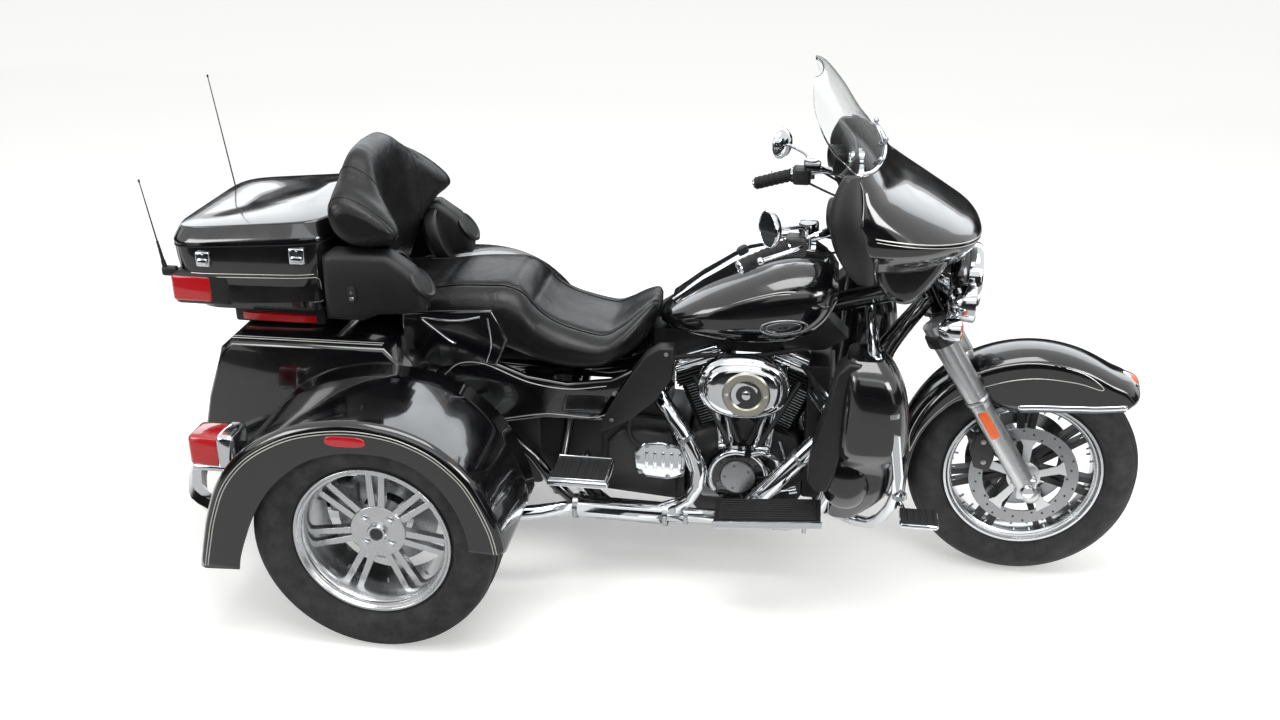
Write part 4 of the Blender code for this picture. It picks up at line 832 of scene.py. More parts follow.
def rear_lamps():
    """Wrap-round lamps on the fenders: a red lens in a chrome shell, with small side markers."""
    for name, side in SIDES:
        y0, y1 = sided(side, 0.548, 0.642)
        bm = bmesh.new()
        brick(bm, (-0.476, -0.385), (y0, y1), (0.488, 0.577), 0.016, 4)
        publish(bm, "rear_lamp_lens_" + name, "red_acrylic", sharp=40)
        bm = bmesh.new()
        brick(bm, (-0.468, -0.356), (y0 - 0.003, y1 + 0.003), (0.48, 0.497), 0.006, 3)
        brick(bm, (-0.4, -0.352), (y0 - 0.003, y1 + 0.003), (0.484, 0.582), 0.014, 4)
        publish(bm, "rear_lamp_shell_" + name, "chrome_plate", nodes=("rear_lamp_" + name,), sharp=40)
        bm = bmesh.new()
        outline = []
        for i in range(28):
            t = 2 * pi * i / 28
            outline.append((-0.029 + 0.052 * power(cos(t), 0.55), 0.612 + 0.0145 * power(sin(t), 0.7)))
        slab(bm, [(x - 0.007, z + 0.008) for x, z in outline], *sided(side, 0.69, 0.6983), 0.003, 3)
        publish(bm, "side_marker_" + name, "red_acrylic", sharp=40)


def trunk():
    """Lacquered trunk and its drop-down door, with a pull, a blank plate, lines and the bumper."""
    reface("trunk_body", "gloss_enamel", 26)
    reface("tailgate", "gloss_enamel", 26)
    bm = bmesh.new()
    for y, thick in ((0.318, 0.0014), (0.305, 0.001)):
        for side in (-1, 1):
            pipe(bm, [(-0.478, side * y, 0.7126), (-0.055, side * y, 0.7166)], thick, 1, 2)
    publish(bm, "trunk_pinstripes", "silver_pinstripe")
    up = Vector((-0.5115 + 0.583, 0, 0.668 - 0.433)).normalized()
    out = Vector((-up.z, 0, up.x))
    middle = Vector((-0.583, 0, 0.433)) + up * 0.205 + out * 0.012
    bm = bmesh.new()
    lean = out.to_track_quat("Z", "Y").to_matrix().to_4x4()
    brick(bm, (-0.02, 0.02), (-0.06, 0.06), (-0.002, 0.01), 0.004, 3)
    bmesh.ops.transform(bm, matrix=Matrix.Translation(middle) @ lean, verts=bm.verts)
    publish(bm, "trunk_door_pull", "chrome_plate", "tailgate", sharp=40)
    bm = bmesh.new()
    plate = Vector((-0.583, 0, 0.433)) + up * 0.095 + out * 0.0125
    brick(bm, (-0.052, 0.052), (-0.092, 0.092), (-0.0006, 0.0022), 0.001, 2)
    bmesh.ops.transform(bm, matrix=Matrix.Translation(plate) @ lean, verts=bm.verts)
    publish(bm, "trunk_blank_plate", "satin_aluminium", "tailgate", sharp=40)
    reface("bumper", "gloss_enamel", 32)
    bm = bmesh.new()
    for side in (-1, 1):
        brick(bm, (-0.6365, -0.6285), sided(side, 0.225, 0.305), (0.318, 0.342), 0.003, 2)
    publish(bm, "bumper_reflectors", "red_acrylic", sharp=40)


CASE_ROWS = (
    # rear x, front x, half width, z at rear, z at front
    (-0.606, -0.222, 0.252, 0.768, 0.776), (-0.646, -0.209, 0.266, 0.84, 0.85),
    (-0.659, -0.204, 0.272, 0.9, 0.925), (-0.663, -0.202, 0.272, 0.942, 0.976),
)
LID_ROWS = ((-0.664, -0.202, 0.273, 0.946, 0.98), (-0.664, -0.204, 0.27, 0.958, 0.992),
            (-0.652, -0.214, 0.253, 0.984, 1.024), (-0.649, -0.217, 0.25, 0.988, 1.028),
            (-0.642, -0.224, 0.243, 0.992, 1.031), (-0.6, -0.255, 0.19, 0.998, 1.037),
            (-0.51, -0.31, 0.09, 1.004, 1.042),)


def case_ring(row, grow=0.0, count=72, squareness=CASE_SQUARE):
    rear, front, half, z_rear, z_front = row
    rear, front, half = rear - grow, front + grow, half + grow
    out = []
    for i in range(count):
        t = 2 * pi * i / count
        share = (1 + power(cos(t), 2 / squareness)) / 2
        y = half * power(sin(t), 2 / squareness)
        out.append((rear + (front - rear) * share, y, z_rear + (z_front - z_rear) * share))
    return out


def rows_between(rows, steps):
    """The rows of numbers joined by a smooth curve, number by number."""
    flat = [eased([Vector((row[k], 0, 0)) for row in rows], steps) for k in range(len(rows[0]))]
    return [tuple(track[i].x for track in flat) for i in range(len(flat[0]))]


def case_side_point(x, z, side, grow=0.001):
    """A point on the case's side wall at a station."""
    half = 0.252 + (0.272 - 0.252) * min(1.0, max(0.0, (z - 0.772) / 0.12))
    off = abs((x - CASE_MIDDLE_X) / CASE_REACH)
    y = half * max(0.0, 1 - off**CASE_SQUARE) ** (1 / CASE_SQUARE)
    return (x, side * (y + grow), z)


def top_case():
    """Hard luggage case: lacquered tub and lid, matte seam band, latches, corner lamps and a lamp strip."""
    bm = bmesh.new()
    loft(bm, [case_ring(row) for row in rows_between(CASE_ROWS, 5)])
    caps = [f for f in bm.faces if len(f.verts) > 8]
    lift = [f for f in caps if f.calc_center_median().z > 0.9]
    bmesh.ops.inset_region(bm, faces=lift, thickness=0.006, use_even_offset=True)
    drop = bmesh.ops.extrude_face_region(bm, geom=lift)
    low = [v for v in drop["geom"] if isinstance(v, bmesh.types.BMVert)]
    bmesh.ops.translate(bm, vec=(0, 0, -0.165), verts=low)
    bmesh.ops.delete(bm, geom=lift, context="FACES_ONLY")
    publish(bm, "case_tub_shell", "gloss_enamel", nodes=("top_case_tub",), sharp=40)
    bm = bmesh.new()
    loft(bm, [case_ring(row) for row in rows_between(LID_ROWS, 5)])
    under = [f for f in bm.faces if len(f.verts) > 8 and f.calc_center_median().z < 0.99]
    bmesh.ops.inset_region(bm, faces=under, thickness=0.006, use_even_offset=True)
    rise = bmesh.ops.extrude_face_region(bm, geom=under)
    high = [v for v in rise["geom"] if isinstance(v, bmesh.types.BMVert)]
    for v in high:
        v.co = Vector((v.co.x * 0.8 - 0.086, v.co.y * 0.7, v.co.z + 0.022))
    bmesh.ops.delete(bm, geom=under, context="FACES_ONLY")
    publish(bm, "case_lid_shell", "gloss_enamel", "top_case_lid", ("top_case_lid",), 40)
    bm = bmesh.new()
    band = [case_ring((-0.6645, -0.2015, 0.2738, z, z + 0.034)) for z in (0.94, 0.9435)]
    loft(bm, band)
    publish(bm, "case_seam_band", "moulded_plastic", sharp=40)
    bm = bmesh.new()
    brick(bm, (-0.515, -0.254), (-0.202, 0.202), (0.7125, 0.774), 0.008, 3)
    publish(bm, "case_pedestal", "moulded_plastic", sharp=40)
    for name, side in SIDES:
        bm = bmesh.new()
        for x0, x1, z0, z1 in ((-0.572, -0.532, 0.896, 0.938), (-0.31, -0.266, 0.915, 0.961)):
            x = (x0 + x1) / 2
            y = case_side_point(x, 0.92, side)[1]
            ys = sorted((y - side * 0.004, y + side * 0.008))
            brick(bm, (x0, x1), ys, (z0, z1), 0.005, 3)
            brick(bm, (x0 + 0.006, x1 - 0.006), sorted((y, y + side * 0.0125)), (z0 + 0.008, z0 + 0.024),
                  0.004, 3)
            rod(bm, (x, y + side * 0.004, z1 - 0.01), (x, y + side * 0.0115, z1 - 0.01), 0.0055, 16)
        publish(bm, "case_latches_" + name, "chrome_plate", sharp=40)
        bm = bmesh.new()
        for x0, x1, z0, z1 in ((-0.6, -0.25, 0.862, 0.864), (-0.595, -0.25, 0.8725, 0.8735)):
            points = [case_side_point(x0 + (x1 - x0) * k / 10, z0 + (z1 - z0 + 0.012) * k / 10,
                                      side) for k in range(11)]
            pipe(bm, points, 0.0011, 2, 2)
        corner = [case_side_point(x, z, side) for x, z in ((-0.25, 0.876), (-0.24, 0.87), (-0.238, 0.85),
                                                           (-0.24, 0.815), (-0.252, 0.802), (-0.4, 0.797),
                                                           (-0.505, 0.795))]
        pipe(bm, corner, 0.0011, 4, 2)
        publish(bm, "case_pinstripes_" + name, "silver_pinstripe")
        bm = bmesh.new()
        y = side * 0.243
        brick(bm, (-0.652, -0.488), sorted((y - side * 0.03, y + side * 0.027)), (0.781, 0.876), 0.014, 4)
        publish(bm, "case_lamp_housing_" + name, "moulded_plastic", sharp=40)
        bm = bmesh.new()
        brick(bm, (-0.655, -0.54), sorted((y - side * 0.024, y + side * 0.0295)), (0.79, 0.867), 0.01, 4)
        publish(bm, "case_corner_lamp_" + name, "red_acrylic", sharp=40)
    bm = bmesh.new()
    loft(bm, [case_ring((rear, front, half, z, z)) for rear, front, half,
              z in ((-0.516, -0.252, 0.204, 0.719), (-0.521, -0.248, 0.209, 0.7215),
                    (-0.521, -0.248, 0.209, 0.741), (-0.516, -0.252, 0.204, 0.744))])
    publish(bm, "case_lamp_strip", "red_acrylic", sharp=40)
    bm = bmesh.new()
    brick(bm, (-0.668, -0.655), (-0.175, 0.175), (0.8, 0.85), 0.006, 3)
    publish(bm, "case_rear_lamp", "red_acrylic", sharp=40)
    bm = bmesh.new()
    for y in (-0.1, 0.1):
        brick(bm, (-0.674, -0.66), (y - 0.022, y + 0.022), (0.905, 0.975), 0.005, 3)
    publish(bm, "case_lid_hinges", "chrome_plate", sharp=40)


def antennas():
    """Spring-based rod antennas behind the case."""
    for name, side, tip in (("left", 1, (-0.731, 1.299)), ("right", -1, (-0.713, 1.124))):
        start = Vector((-0.6715, side * 0.255, 0.866))
        end = Vector((tip[0], side * 0.255, tip[1]))
        along = (end - start).normalized()
        bm = bmesh.new()
        rod(bm, start, start + along * 0.035, 0.0075, 18, 0.006)
        rod(bm, start + along * 0.03, start + along * 0.09, 0.005, 16, 0.0032)
        rod(bm, start + along * 0.08, end - along * 0.006, 0.0022, 12, 0.0013)
        rod(bm, end - along * 0.008, end, 0.0028, 12, 0.0024)
        y0, y1 = sided(side, 0.2415, 0.2645)
        brick(bm, (-0.682, -0.64), (y0, y1), (0.858, 0.884), 0.006, 3)
        publish(bm, "antenna_rod_" + name, "moulded_plastic", nodes=("antenna_" + name,), sharp=40)


SEAT_ROWS = (
    # x, half width, lowest z, highest z
    (-0.186, 0.15, 0.735, 0.812), (-0.04, 0.178, 0.722, 0.818), (0.026, 0.184, 0.7, 0.822),
    (0.112, 0.188, 0.668, 0.838), (0.2, 0.192, 0.655, 0.844), (0.245, 0.192, 0.64, 0.845),
    (0.289, 0.193, 0.624, 0.828), (0.332, 0.195, 0.612, 0.78), (0.376, 0.198, 0.605, 0.749),
    (0.43, 0.2, 0.602, 0.729), (0.508, 0.198, 0.612, 0.712), (0.553, 0.182, 0.628, 0.73),
    (0.6, 0.148, 0.655, 0.764), (0.64, 0.095, 0.705, 0.788), (0.656, 0.06, 0.742, 0.78),
)


def seat():
    """Two-up seat: one crowned body with sewn grooves between its top panels and its skirt."""
    rows = rows_between(SEAT_ROWS, 6)
    count = 96
    rings = []
    for x, half, low, high in rows:
        ring = []
        for i in range(count):
            t = 2 * pi * (i + 0.5) / count
            y = half * power(cos(t), 2 / 3.0)
            up = power(sin(t), 2 / 3.0)
            z = (low + high) / 2 + (high - low) / 2 * up
            share = abs(y) / half
            if up > 0:
                groove = max(0.0, 1 - abs(share - SEAT_CROWN) / 0.035)
                z -= 0.008 * groove
                z -= 0.006 * max(0.0, 1 - abs(share) / 0.5) ** 2 * (1 if x > 0.3 else 0.2)
            skirt = max(0.0, 1 - abs(up + 0.05) / 0.1)
            y -= 0.0045 * skirt * (1 if y > 0 else -1)
            ring.append([x, y, z])
        rings.append(ring)
    seams = ((0.262, 0.008), (0.318, 0.008), (0.072, 0.005), (0.165, 0.005))
    for ring, row in zip(rings, rows):
        for at, depth in seams:
            close = max(0.0, 1 - abs(row[0] - at) / 0.0075)
            if close:
                for p in ring:
                    if p[2] > (row[2] + row[3]) / 2 and abs(p[1]) < row[1] * SEAT_CROWN:
                        p[2] -= depth * close
    bm = bmesh.new()
    loft(bm, rings)
    cover = publish(bm, "seat_cover", "black_vinyl", nodes=("seat",), sharp=60, levels=1)
    piping = bmesh.new()
    for side in (-1, 1):
        path = []
        for x, half, low, high in rows[6:-8:3]:
            up = (1 - SEAT_CROWN**3.0) ** (1 / 3.0)
            z = (low + high) / 2 + (high - low) / 2 * up
            path.append((x, side * half * SEAT_CROWN, z - 0.0022))
        pipe(piping, path, 0.0022, 3, 3)
    publish(piping, "seat_piping", "black_vinyl")
    bm = bmesh.new()
    brick(bm, (0.125, 0.495), (-0.048, 0.048), (0.577, 0.64), 0.006, 2)
    publish(bm, "seat_base_pan", "moulded_plastic")


BACK_ROWS = (
    # |y|, rear x, front x, lowest z, highest z at the rear, how much lower the top is at the front
    (0.0, -0.197, -0.096, 0.8, 1.208, 0.03), (0.1, -0.197, -0.092, 0.8, 1.2, 0.03),
    (0.158, -0.196, -0.07, 0.88, 1.18, 0.06), (0.205, -0.195, -0.03, 0.95, 1.164, 0.1),
    (0.24, -0.194, -0.012, 0.966, 1.15, 0.1), (0.266, -0.19, -0.014, 0.972, 1.132, 0.09),
    (0.281, -0.182, -0.024, 0.984, 1.112, 0.07), (0.29, -0.16, -0.05, 1.006, 1.08, 0.04),
)


def backrest():
    """Wrap-round pillion backrest, deeply padded, with a seam between the pad and its arms."""
    rows = rows_between(BACK_ROWS, 6)
    rows = [(-row[0], *row[1:]) for row in reversed(rows[1:])] + rows
    rings = []
    for y, rear, front, low, high, drop in rows:
        soft = 0.66 + 0.26 * min(1.0, max(0.0, (abs(y) - 0.15) / 0.09))
        ring = []
        for i in range(56):
            t = 2 * pi * (i + 0.5) / 56
            share = (1 + power(cos(t), soft)) / 2
            up = power(sin(t), soft)
            top = high - drop * share
            z = (low + top) / 2 + (top - low) / 2 * up
            ring.append((rear + (front - rear) * share - 0.055 * (z - 1.0), y, z))
        rings.append(ring)
    bm = bmesh.new()
    loft(bm, rings)
    pad = publish(bm, "backrest_cover", "black_vinyl", nodes=("backrest",), sharp=80, levels=1)
    by_y = {round(ring[0][1], 4): ring for ring in rings}
    reach = sorted(by_y)
    bm = bmesh.new()
    for side in (-1, 1):
        for column, first, last in ((0.155, 6, 24), (0.262, 4, 30)):
            y = min(reach, key=lambda value: abs(value - side * column))
            ring = by_y[round(y, 4)]
            pipe(bm, [ring[i % 56] for i in range(first - 12, last)], 0.0016, 2, 3)
    publish(bm, "backrest_seams", "grip_rubber")


def speakers():
    """Matte speaker housings beside the backrest with drums, round grilles and a small switch."""
    for name, side in SIDES:
        reface("speaker_" + name, "moulded_plastic", 40)
        bm = bmesh.new()
        ring = [(0.036, -0.004), (0.048, -0.004), (0.05, 0.004), (0.044, 0.01), (0.036, 0.006)]
        centre = (0.04, side * 0.245, 0.872)
        spun(bm, ring, centre, (0.8, 0, 0.6), 40)
        publish(bm, "speaker_ring_" + name, "moulded_plastic", sharp=40)
        bm = bmesh.new()
        spun(bm, [(0.0, 0.0), (0.037, 0.0), (0.035, 0.006), (0.0, 0.01)], centre, (0.8, 0, 0.6), 40)
        publish(bm, "speaker_grille_" + name, "grille_mesh", sharp=40)
        drum = [(0.0, -0.04), (0.062, -0.036), (0.078, -0.02), (0.081, 0.0), (0.078, 0.01), (0.07, 0.013),
                (0.066, 0.007), (0.0, 0.009)]
        bm = bmesh.new()
        spun(bm, drum, (-0.026, side * 0.198, 0.862), (0.94, side * 0.04, 0.34), 48)
        publish(bm, "speaker_drum_" + name, "moulded_plastic", sharp=30)
        bm = bmesh.new()
        outline = [(-0.14 + 0.012 * power(cos(t), 0.8), 0.842 + 0.026 * power(sin(t), 0.8)) for t in
                   [2 * pi * i / 24 for i in range(24)]]
        slab(bm, outline, *sided(side, 0.284, 0.2895), 0.002, 2)
        publish(bm, "pillion_switch_" + name, "grip_rubber", sharp=40)
        bm = bmesh.new()
        rod(bm, (-0.14, side * 0.288, 0.85), (-0.14, side * 0.2915, 0.85), 0.0045, 14)
        brick(bm, (-0.146, -0.134), sided(side, 0.288, 0.2925), (0.827, 0.837), 0.001, 1)
        publish(bm, "pillion_switch_keys_" + name, "bright_steel", sharp=40)


TANK_ROWS = (
    # x, half width, lowest z, highest z
    (0.664, 0.06, 0.722, 0.75), (0.705, 0.11, 0.708, 0.784), (0.78, 0.148, 0.696, 0.834),
    (0.88, 0.172, 0.688, 0.882), (0.98, 0.181, 0.692, 0.92), (1.06, 0.175, 0.714, 0.928),
    (1.115, 0.15, 0.76, 0.914), (1.142, 0.105, 0.812, 0.884),
)


def tank_half(x, z, grow=0.0):
    """Half width of the tank's side at a station."""
    rows = TANK_ROWS
    for near, far in zip(rows, rows[1:]):
        if near[0] <= x <= far[0]:
            share = (x - near[0]) / (far[0] - near[0])
            half, low, high = [a + (b - a) * share for a, b in zip(near[1:], far[1:])]
            off = abs(z - (low + high) / 2) / ((high - low) / 2)
            return half * max(0.0, 1 - min(off, 1.0) ** TANK_SQUARE) ** (1 / TANK_SQUARE) + grow
    return rows[-1][1]


def tank_ring(row, count=64):
    x, half, low, high = row
    ring = []
    for i in range(count):
        t = 2 * pi * (i + 0.5) / count
        y = half * power(cos(t), 2 / TANK_SQUARE)
        z = (low + high) / 2 + (high - low) / 2 * power(sin(t), 2 / TANK_SQUARE)
        ring.append((x, y, z))
    return ring


def tank():
    """Teardrop tank with a striped panel, a bare oval plate, and the chrome console on its spine."""
    bm = bmesh.new()
    loft(bm, [tank_ring(row) for row in rows_between(TANK_ROWS, 8)])
    publish(bm, "tank_shell", "gloss_enamel", nodes=("fuel_tank",), sharp=60)
    panel = ((0.742, 0.742), (0.8, 0.722), (0.9, 0.712), (0.99, 0.722), (1.05, 0.752), (1.09, 0.8),
             (1.085, 0.85), (1.04, 0.872), (0.98, 0.868), (0.9, 0.842), (0.82, 0.806), (0.762, 0.772))
    for name, side in SIDES:
        bm = bmesh.new()
        for shrink in (0.0, 0.008):
            loop = []
            for x, z in panel + panel[:1]:
                x = 0.93 + (x - 0.93) * (1 - shrink * 5)
                z = 0.79 + (z - 0.79) * (1 - shrink * 9)
                loop.append((x, side * tank_half(x, z, 0.0002), z))
            pipe(bm, loop, 0.0013 if not shrink else 0.0009, 5, 2)
        publish(bm, "tank_pinstripes_" + name, "silver_pinstripe")
        shape = oval(0.0, 0.0, 0.062, 0.022, 40, 2.2)

        def on_tank(share, lift):
            spots = [(1.004 + x * share, 0.775 + (z + 0.08 * x) * share) for x, z in shape + shape[:1]]
            return [(x, side * tank_half(x, z, lift), z) for x, z in spots]

        bm = bmesh.new()
        sheet(bm, [on_tank(share, 0.0036) for share in (0.02, 0.3, 0.6, 0.85, 1.0)])
        publish(bm, "tank_badge_plate_" + name, "gloss_enamel", sharp=60, wall=0.002)
        bm = bmesh.new()
        pipe(bm, on_tank(1.0, 0.004), 0.0023, 1, 4)
        pipe(bm, on_tank(0.74, 0.0045), 0.0011, 1, 3)
        publish(bm, "tank_badge_rim_" + name, "bright_steel", sharp=60)
    reface("console", "chrome_plate", 20)
    bm = bmesh.new()
    base = Vector((1.0, 0.0, 0.9515))
    up = Vector((-0.05, 0, 1)).normalized()
    spun(bm, [(0.0, 0.0), (0.038, 0.0), (0.038, 0.01), (0.034, 0.016), (0.0, 0.019)], base, up, 48)
    publish(bm, "filler_cap", "chrome_plate", sharp=30)
    bm = bmesh.new()
    spun(bm, [(0.0, 0.0), (0.016, 0.0), (0.016, 0.012), (0.012, 0.015), (0.0, 0.015)], (0.88, 0.0, 0.922),
         (-0.5, 0, 0.85), 32)
    publish(bm, "console_switch", "moulded_plastic", sharp=30)


def bank(angle):
    """Turn that stands an upright engine piece on a cylinder bank."""
    return Matrix.Translation((0.909, 0.0, 0.29)) @ Matrix.Rotation(radians(angle), 4, "Y")


def cylinders():
    """Black finned barrels with bright fin edges, heads, and polished rocker covers on both banks."""
    for name, angle in (("front", BANK_ANGLE), ("rear", -BANK_ANGLE)):
        sway = bank(angle)
        bm = bmesh.new()
        rings = []
        z = 0.15
        while z < 0.3:
            rings.append(z)
            z += size("fin_pitch")
        for z in rings:
            section = [(-0.078, -0.06), (-0.06, -0.078), (0.06, -0.078), (0.078, -0.06), (0.078, 0.06),
                       (0.06, 0.078), (-0.06, 0.078), (-0.078, 0.06)]
            loft(bm, [[(x, y, zz) for x, y in section] for zz in (z, z + 0.0026)])
        rod(bm, (0, 0, 0.12), (0, 0, 0.302), 0.06, 40)
        for out, z in ((0.081, 0.303), (0.083, 0.312), (0.083, 0.321), (0.08, 0.33), (0.076, 0.339)):
            brick(bm, (-out, out), (-out, out), (z, z + 0.0035), 0.001, 1)
        brick(bm, (-0.066, 0.066), (-0.066, 0.066), (0.3, 0.345), 0.006, 2)
        bmesh.ops.transform(bm, matrix=sway, verts=bm.verts)
        publish(bm, "cylinder_fins_" + name, "engine_black", nodes=("cylinder_" + name,), sharp=30)
        bm = bmesh.new()
        for z in rings:
            for y in (-0.0782, 0.0782):
                brick(bm, (-0.06, 0.06), tuple(sorted((y, y * 0.985))), (z + 0.0002, z + 0.0024), 0.0, 1)
        bmesh.ops.transform(bm, matrix=sway, verts=bm.verts)
        publish(bm, "fin_edges_" + name, "bright_steel")
        bm = bmesh.new()
        brick(bm, (-0.074, 0.074), (-0.08, 0.08), (0.343, 0.366), 0.008, 4)
        brick(bm, (-0.064, 0.064), (-0.072, 0.072), (0.364, 0.388), 0.011, 5)
        bmesh.ops.transform(bm, matrix=sway, verts=bm.verts)
        publish(bm, "rocker_cover_" + name, "chrome_plate", sharp=40)
        bm = bmesh.new()
        for x in (-0.062, 0.062):
            for y in (-0.066, 0.066):
                rod(bm, (x, y, 0.364), (x, y, 0.371), 0.007, 6)
        bmesh.ops.transform(bm, matrix=sway, verts=bm.verts)
        publish(bm, "rocker_screws_" + name, "bright_steel", sharp=30)
    bm = bmesh.new()
    for spread, top in ((0.05, BANK_ANGLE), (-0.05, -BANK_ANGLE)):
        for shift in (-0.013, 0.013):
            low = Vector((0.909 + spread + shift * 1.1, -0.112, 0.385))
            high = bank(top) @ Vector((-0.045 if top > 0 else 0.045, -0.06 + shift * 0.2, 0.345))
            high = high + Vector((shift * 1.0, -0.028, 0))
            rod(bm, low, high, 0.0095, 20)
            rod(bm, low, low + (high - low).normalized() * 0.028, 0.0125, 20, 0.0115)
            rod(bm, high, high - (high - low).normalized() * 0.022, 0.012, 20)
    publish(bm, "pushrod_tubes", "chrome_plate", sharp=30)
    bm = bmesh.new()
    for x in (0.862, 0.956):
        brick(bm, (x - 0.028, x + 0.028), (-0.134, -0.088), (0.356, 0.392), 0.009, 4)
        for dx in (-0.019, 0.019):
            rod(bm, (x + dx, -0.124, 0.386), (x + dx, -0.124, 0.397), 0.006, 6)
    publish(bm, "lifter_blocks", "chrome_plate", sharp=40)


def ring_of(count, radius, phase=0.0):
    return [(radius * cos(2 * pi * i / count + phase),
             radius * sin(2 * pi * i / count + phase)) for i in range(count)]


def cases():
    """Black crankcase and gearbox, chrome primary and clutch covers, gloss cam cover and oil lines."""
    reface("crankcase", "engine_black", 30)
    bm = bmesh.new()
    cam = (0.897, -0.1585, 0.31)
    spun(bm, [(0.0, -0.06), (0.09, -0.06), (0.09, -0.01), (0.083, 0.0), (0.0, 0.002)], cam, (0, -1, 0), 64)
    for i in range(18):
        a = 2 * pi * i / 18
        spot = Vector((cam[0] + 0.068 * cos(a), cam[1] + 0.001, cam[2] + 0.068 * sin(a)))
        brick(bm, (-0.013, 0.013), (-0.003, 0.003), (-0.0022, 0.0022), 0.001, 1)
        new = [v for v in bm.verts if v.co.length < 0.02]
        bmesh.ops.transform(bm, matrix=Matrix.Translation(spot) @ Matrix.Rotation(-a, 4, "Y"), verts=new)
    publish(bm, "cam_cover", "gloss_enamel", sharp=30)
    bm = bmesh.new()
    for first, last, r, y, thick in ((1.35, 3.75, 0.078, -0.1625, 0.0085), (0.15, 1.1, 0.08, -0.162, 0.007)):
        arc = [first + (last - first) * k / 10 for k in range(11)]
        pipe(bm, [(cam[0] + r * cos(a), y, cam[2] + r * sin(a)) for a in arc], thick, 2, 6)
    pipe(bm, [(0.935, -0.163, 0.384), (0.965, -0.166, 0.392), (1.0, -0.16, 0.372), (1.008, -0.152, 0.345)],
         0.0075, 4, 6)
    publish(bm, "cam_cover_trim", "chrome_plate", sharp=40)
    bm = bmesh.new()
    spun(bm, [(0.0, -0.004), (0.05, -0.004), (0.05, 0.006), (0.047, 0.01), (0.0, 0.01)], cam, (0, -1, 0), 56)
    publish(bm, "cam_timing_plate", "disc_metal", sharp=30)
    bm = bmesh.new()
    for x, z in ring_of(5, 0.036, 0.6):
        bolts(bm, [(cam[0] + x, cam[1] - 0.006, cam[2] + z)], (0, -1, 0), 0.0042, 0.004)
    for x, z in ring_of(8, 0.08, 0.2):
        bolts(bm, [(cam[0] + x, cam[1] + 0.002, cam[2] + z)], (0, -1, 0), 0.0052, 0.005)
    publish(bm, "cam_screws", "bright_steel", sharp=30)
    reface("gearbox", "engine_black", 30)
    bm = bmesh.new()
    outline = ((0.7, 0.286), (0.745, 0.3), (0.752, 0.352), (0.735, 0.392), (0.68, 0.404), (0.63, 0.398),
               (0.604, 0.366), (0.606, 0.318), (0.64, 0.29))
    slab(bm, outline, -0.168, -0.15, 0.006, 3)
    for k in range(5):
        x = 0.64 + k * 0.0235
        brick(bm, (x - 0.0048, x + 0.0048), (-0.1725, -0.164), (0.322, 0.374), 0.0025, 2)
    publish(bm, "clutch_release_cover", "chrome_plate", sharp=40)
    bm = bmesh.new()
    spots = [(x, -0.167, z) for x, z in ((0.7, 0.297), (0.741, 0.318), (0.741, 0.37), (0.7, 0.393),
                                         (0.64, 0.391), (0.614, 0.352), (0.622, 0.308))]
    bolts(bm, spots, (0, -1, 0), 0.0056, 0.006)
    publish(bm, "clutch_cover_screws", "bright_steel", sharp=30)
    bm = bmesh.new()
    slab(bm, ((0.8, 0.232), (0.98, 0.232), (1.02, 0.262), (1.02, 0.3), (0.99, 0.3), (0.975, 0.262),
              (0.815, 0.262), (0.8, 0.3), (0.76, 0.3), (0.76, 0.262)), -0.15, -0.128, 0.006, 3)
    publish(bm, "lower_case_rib", "cast_aluminium", sharp=40)
    reface("primary_cover", "chrome_plate", 30)
    bm = bmesh.new()
    for x, z, r in ((0.905, 0.29, 0.074), (0.7, 0.3, 0.05)):
        spun(bm, [(0.0, -0.004), (r, -0.004), (r, 0.002), (r - 0.006, 0.007), (0.0, 0.008)], (x, 0.2005, z),
             (0, 1, 0), 48)
        bolts(bm, [(x + dx, 0.2055, z + dz) for dx, dz in ring_of(5, r - 0.012)], (0, 1, 0), 0.005, 0.004)
    publish(bm, "primary_inspection_covers", "chrome_plate", sharp=30)
    bm = bmesh.new()
    rod(bm, (0.985, -0.07, 0.235), (1.06, -0.07, 0.255), 0.036, 32)
    rod(bm, (1.04, -0.07, 0.25), (1.062, -0.07, 0.256), 0.039, 32)
    publish(bm, "oil_filter", "chrome_plate", sharp=40)
    bm = bmesh.new()
    pipe(bm, [(0.8, -0.15, 0.3), (0.77, -0.175, 0.32), (0.735, -0.165, 0.405), (0.7, -0.13, 0.44)], 0.0055, 6,
         4)
    pipe(bm, [(1.01, -0.13, 0.3), (1.03, -0.15, 0.35), (1.01, -0.14, 0.42)], 0.005, 6, 4)
    publish(bm, "oil_lines", "chrome_plate")


def oval(cx, cz, a, b, count=72, square=2.3):
    return [(cx + a * power(cos(2 * pi * i / count), 2 / square),
             cz + b * power(sin(2 * pi * i / count), 2 / square)) for i in range(count)]


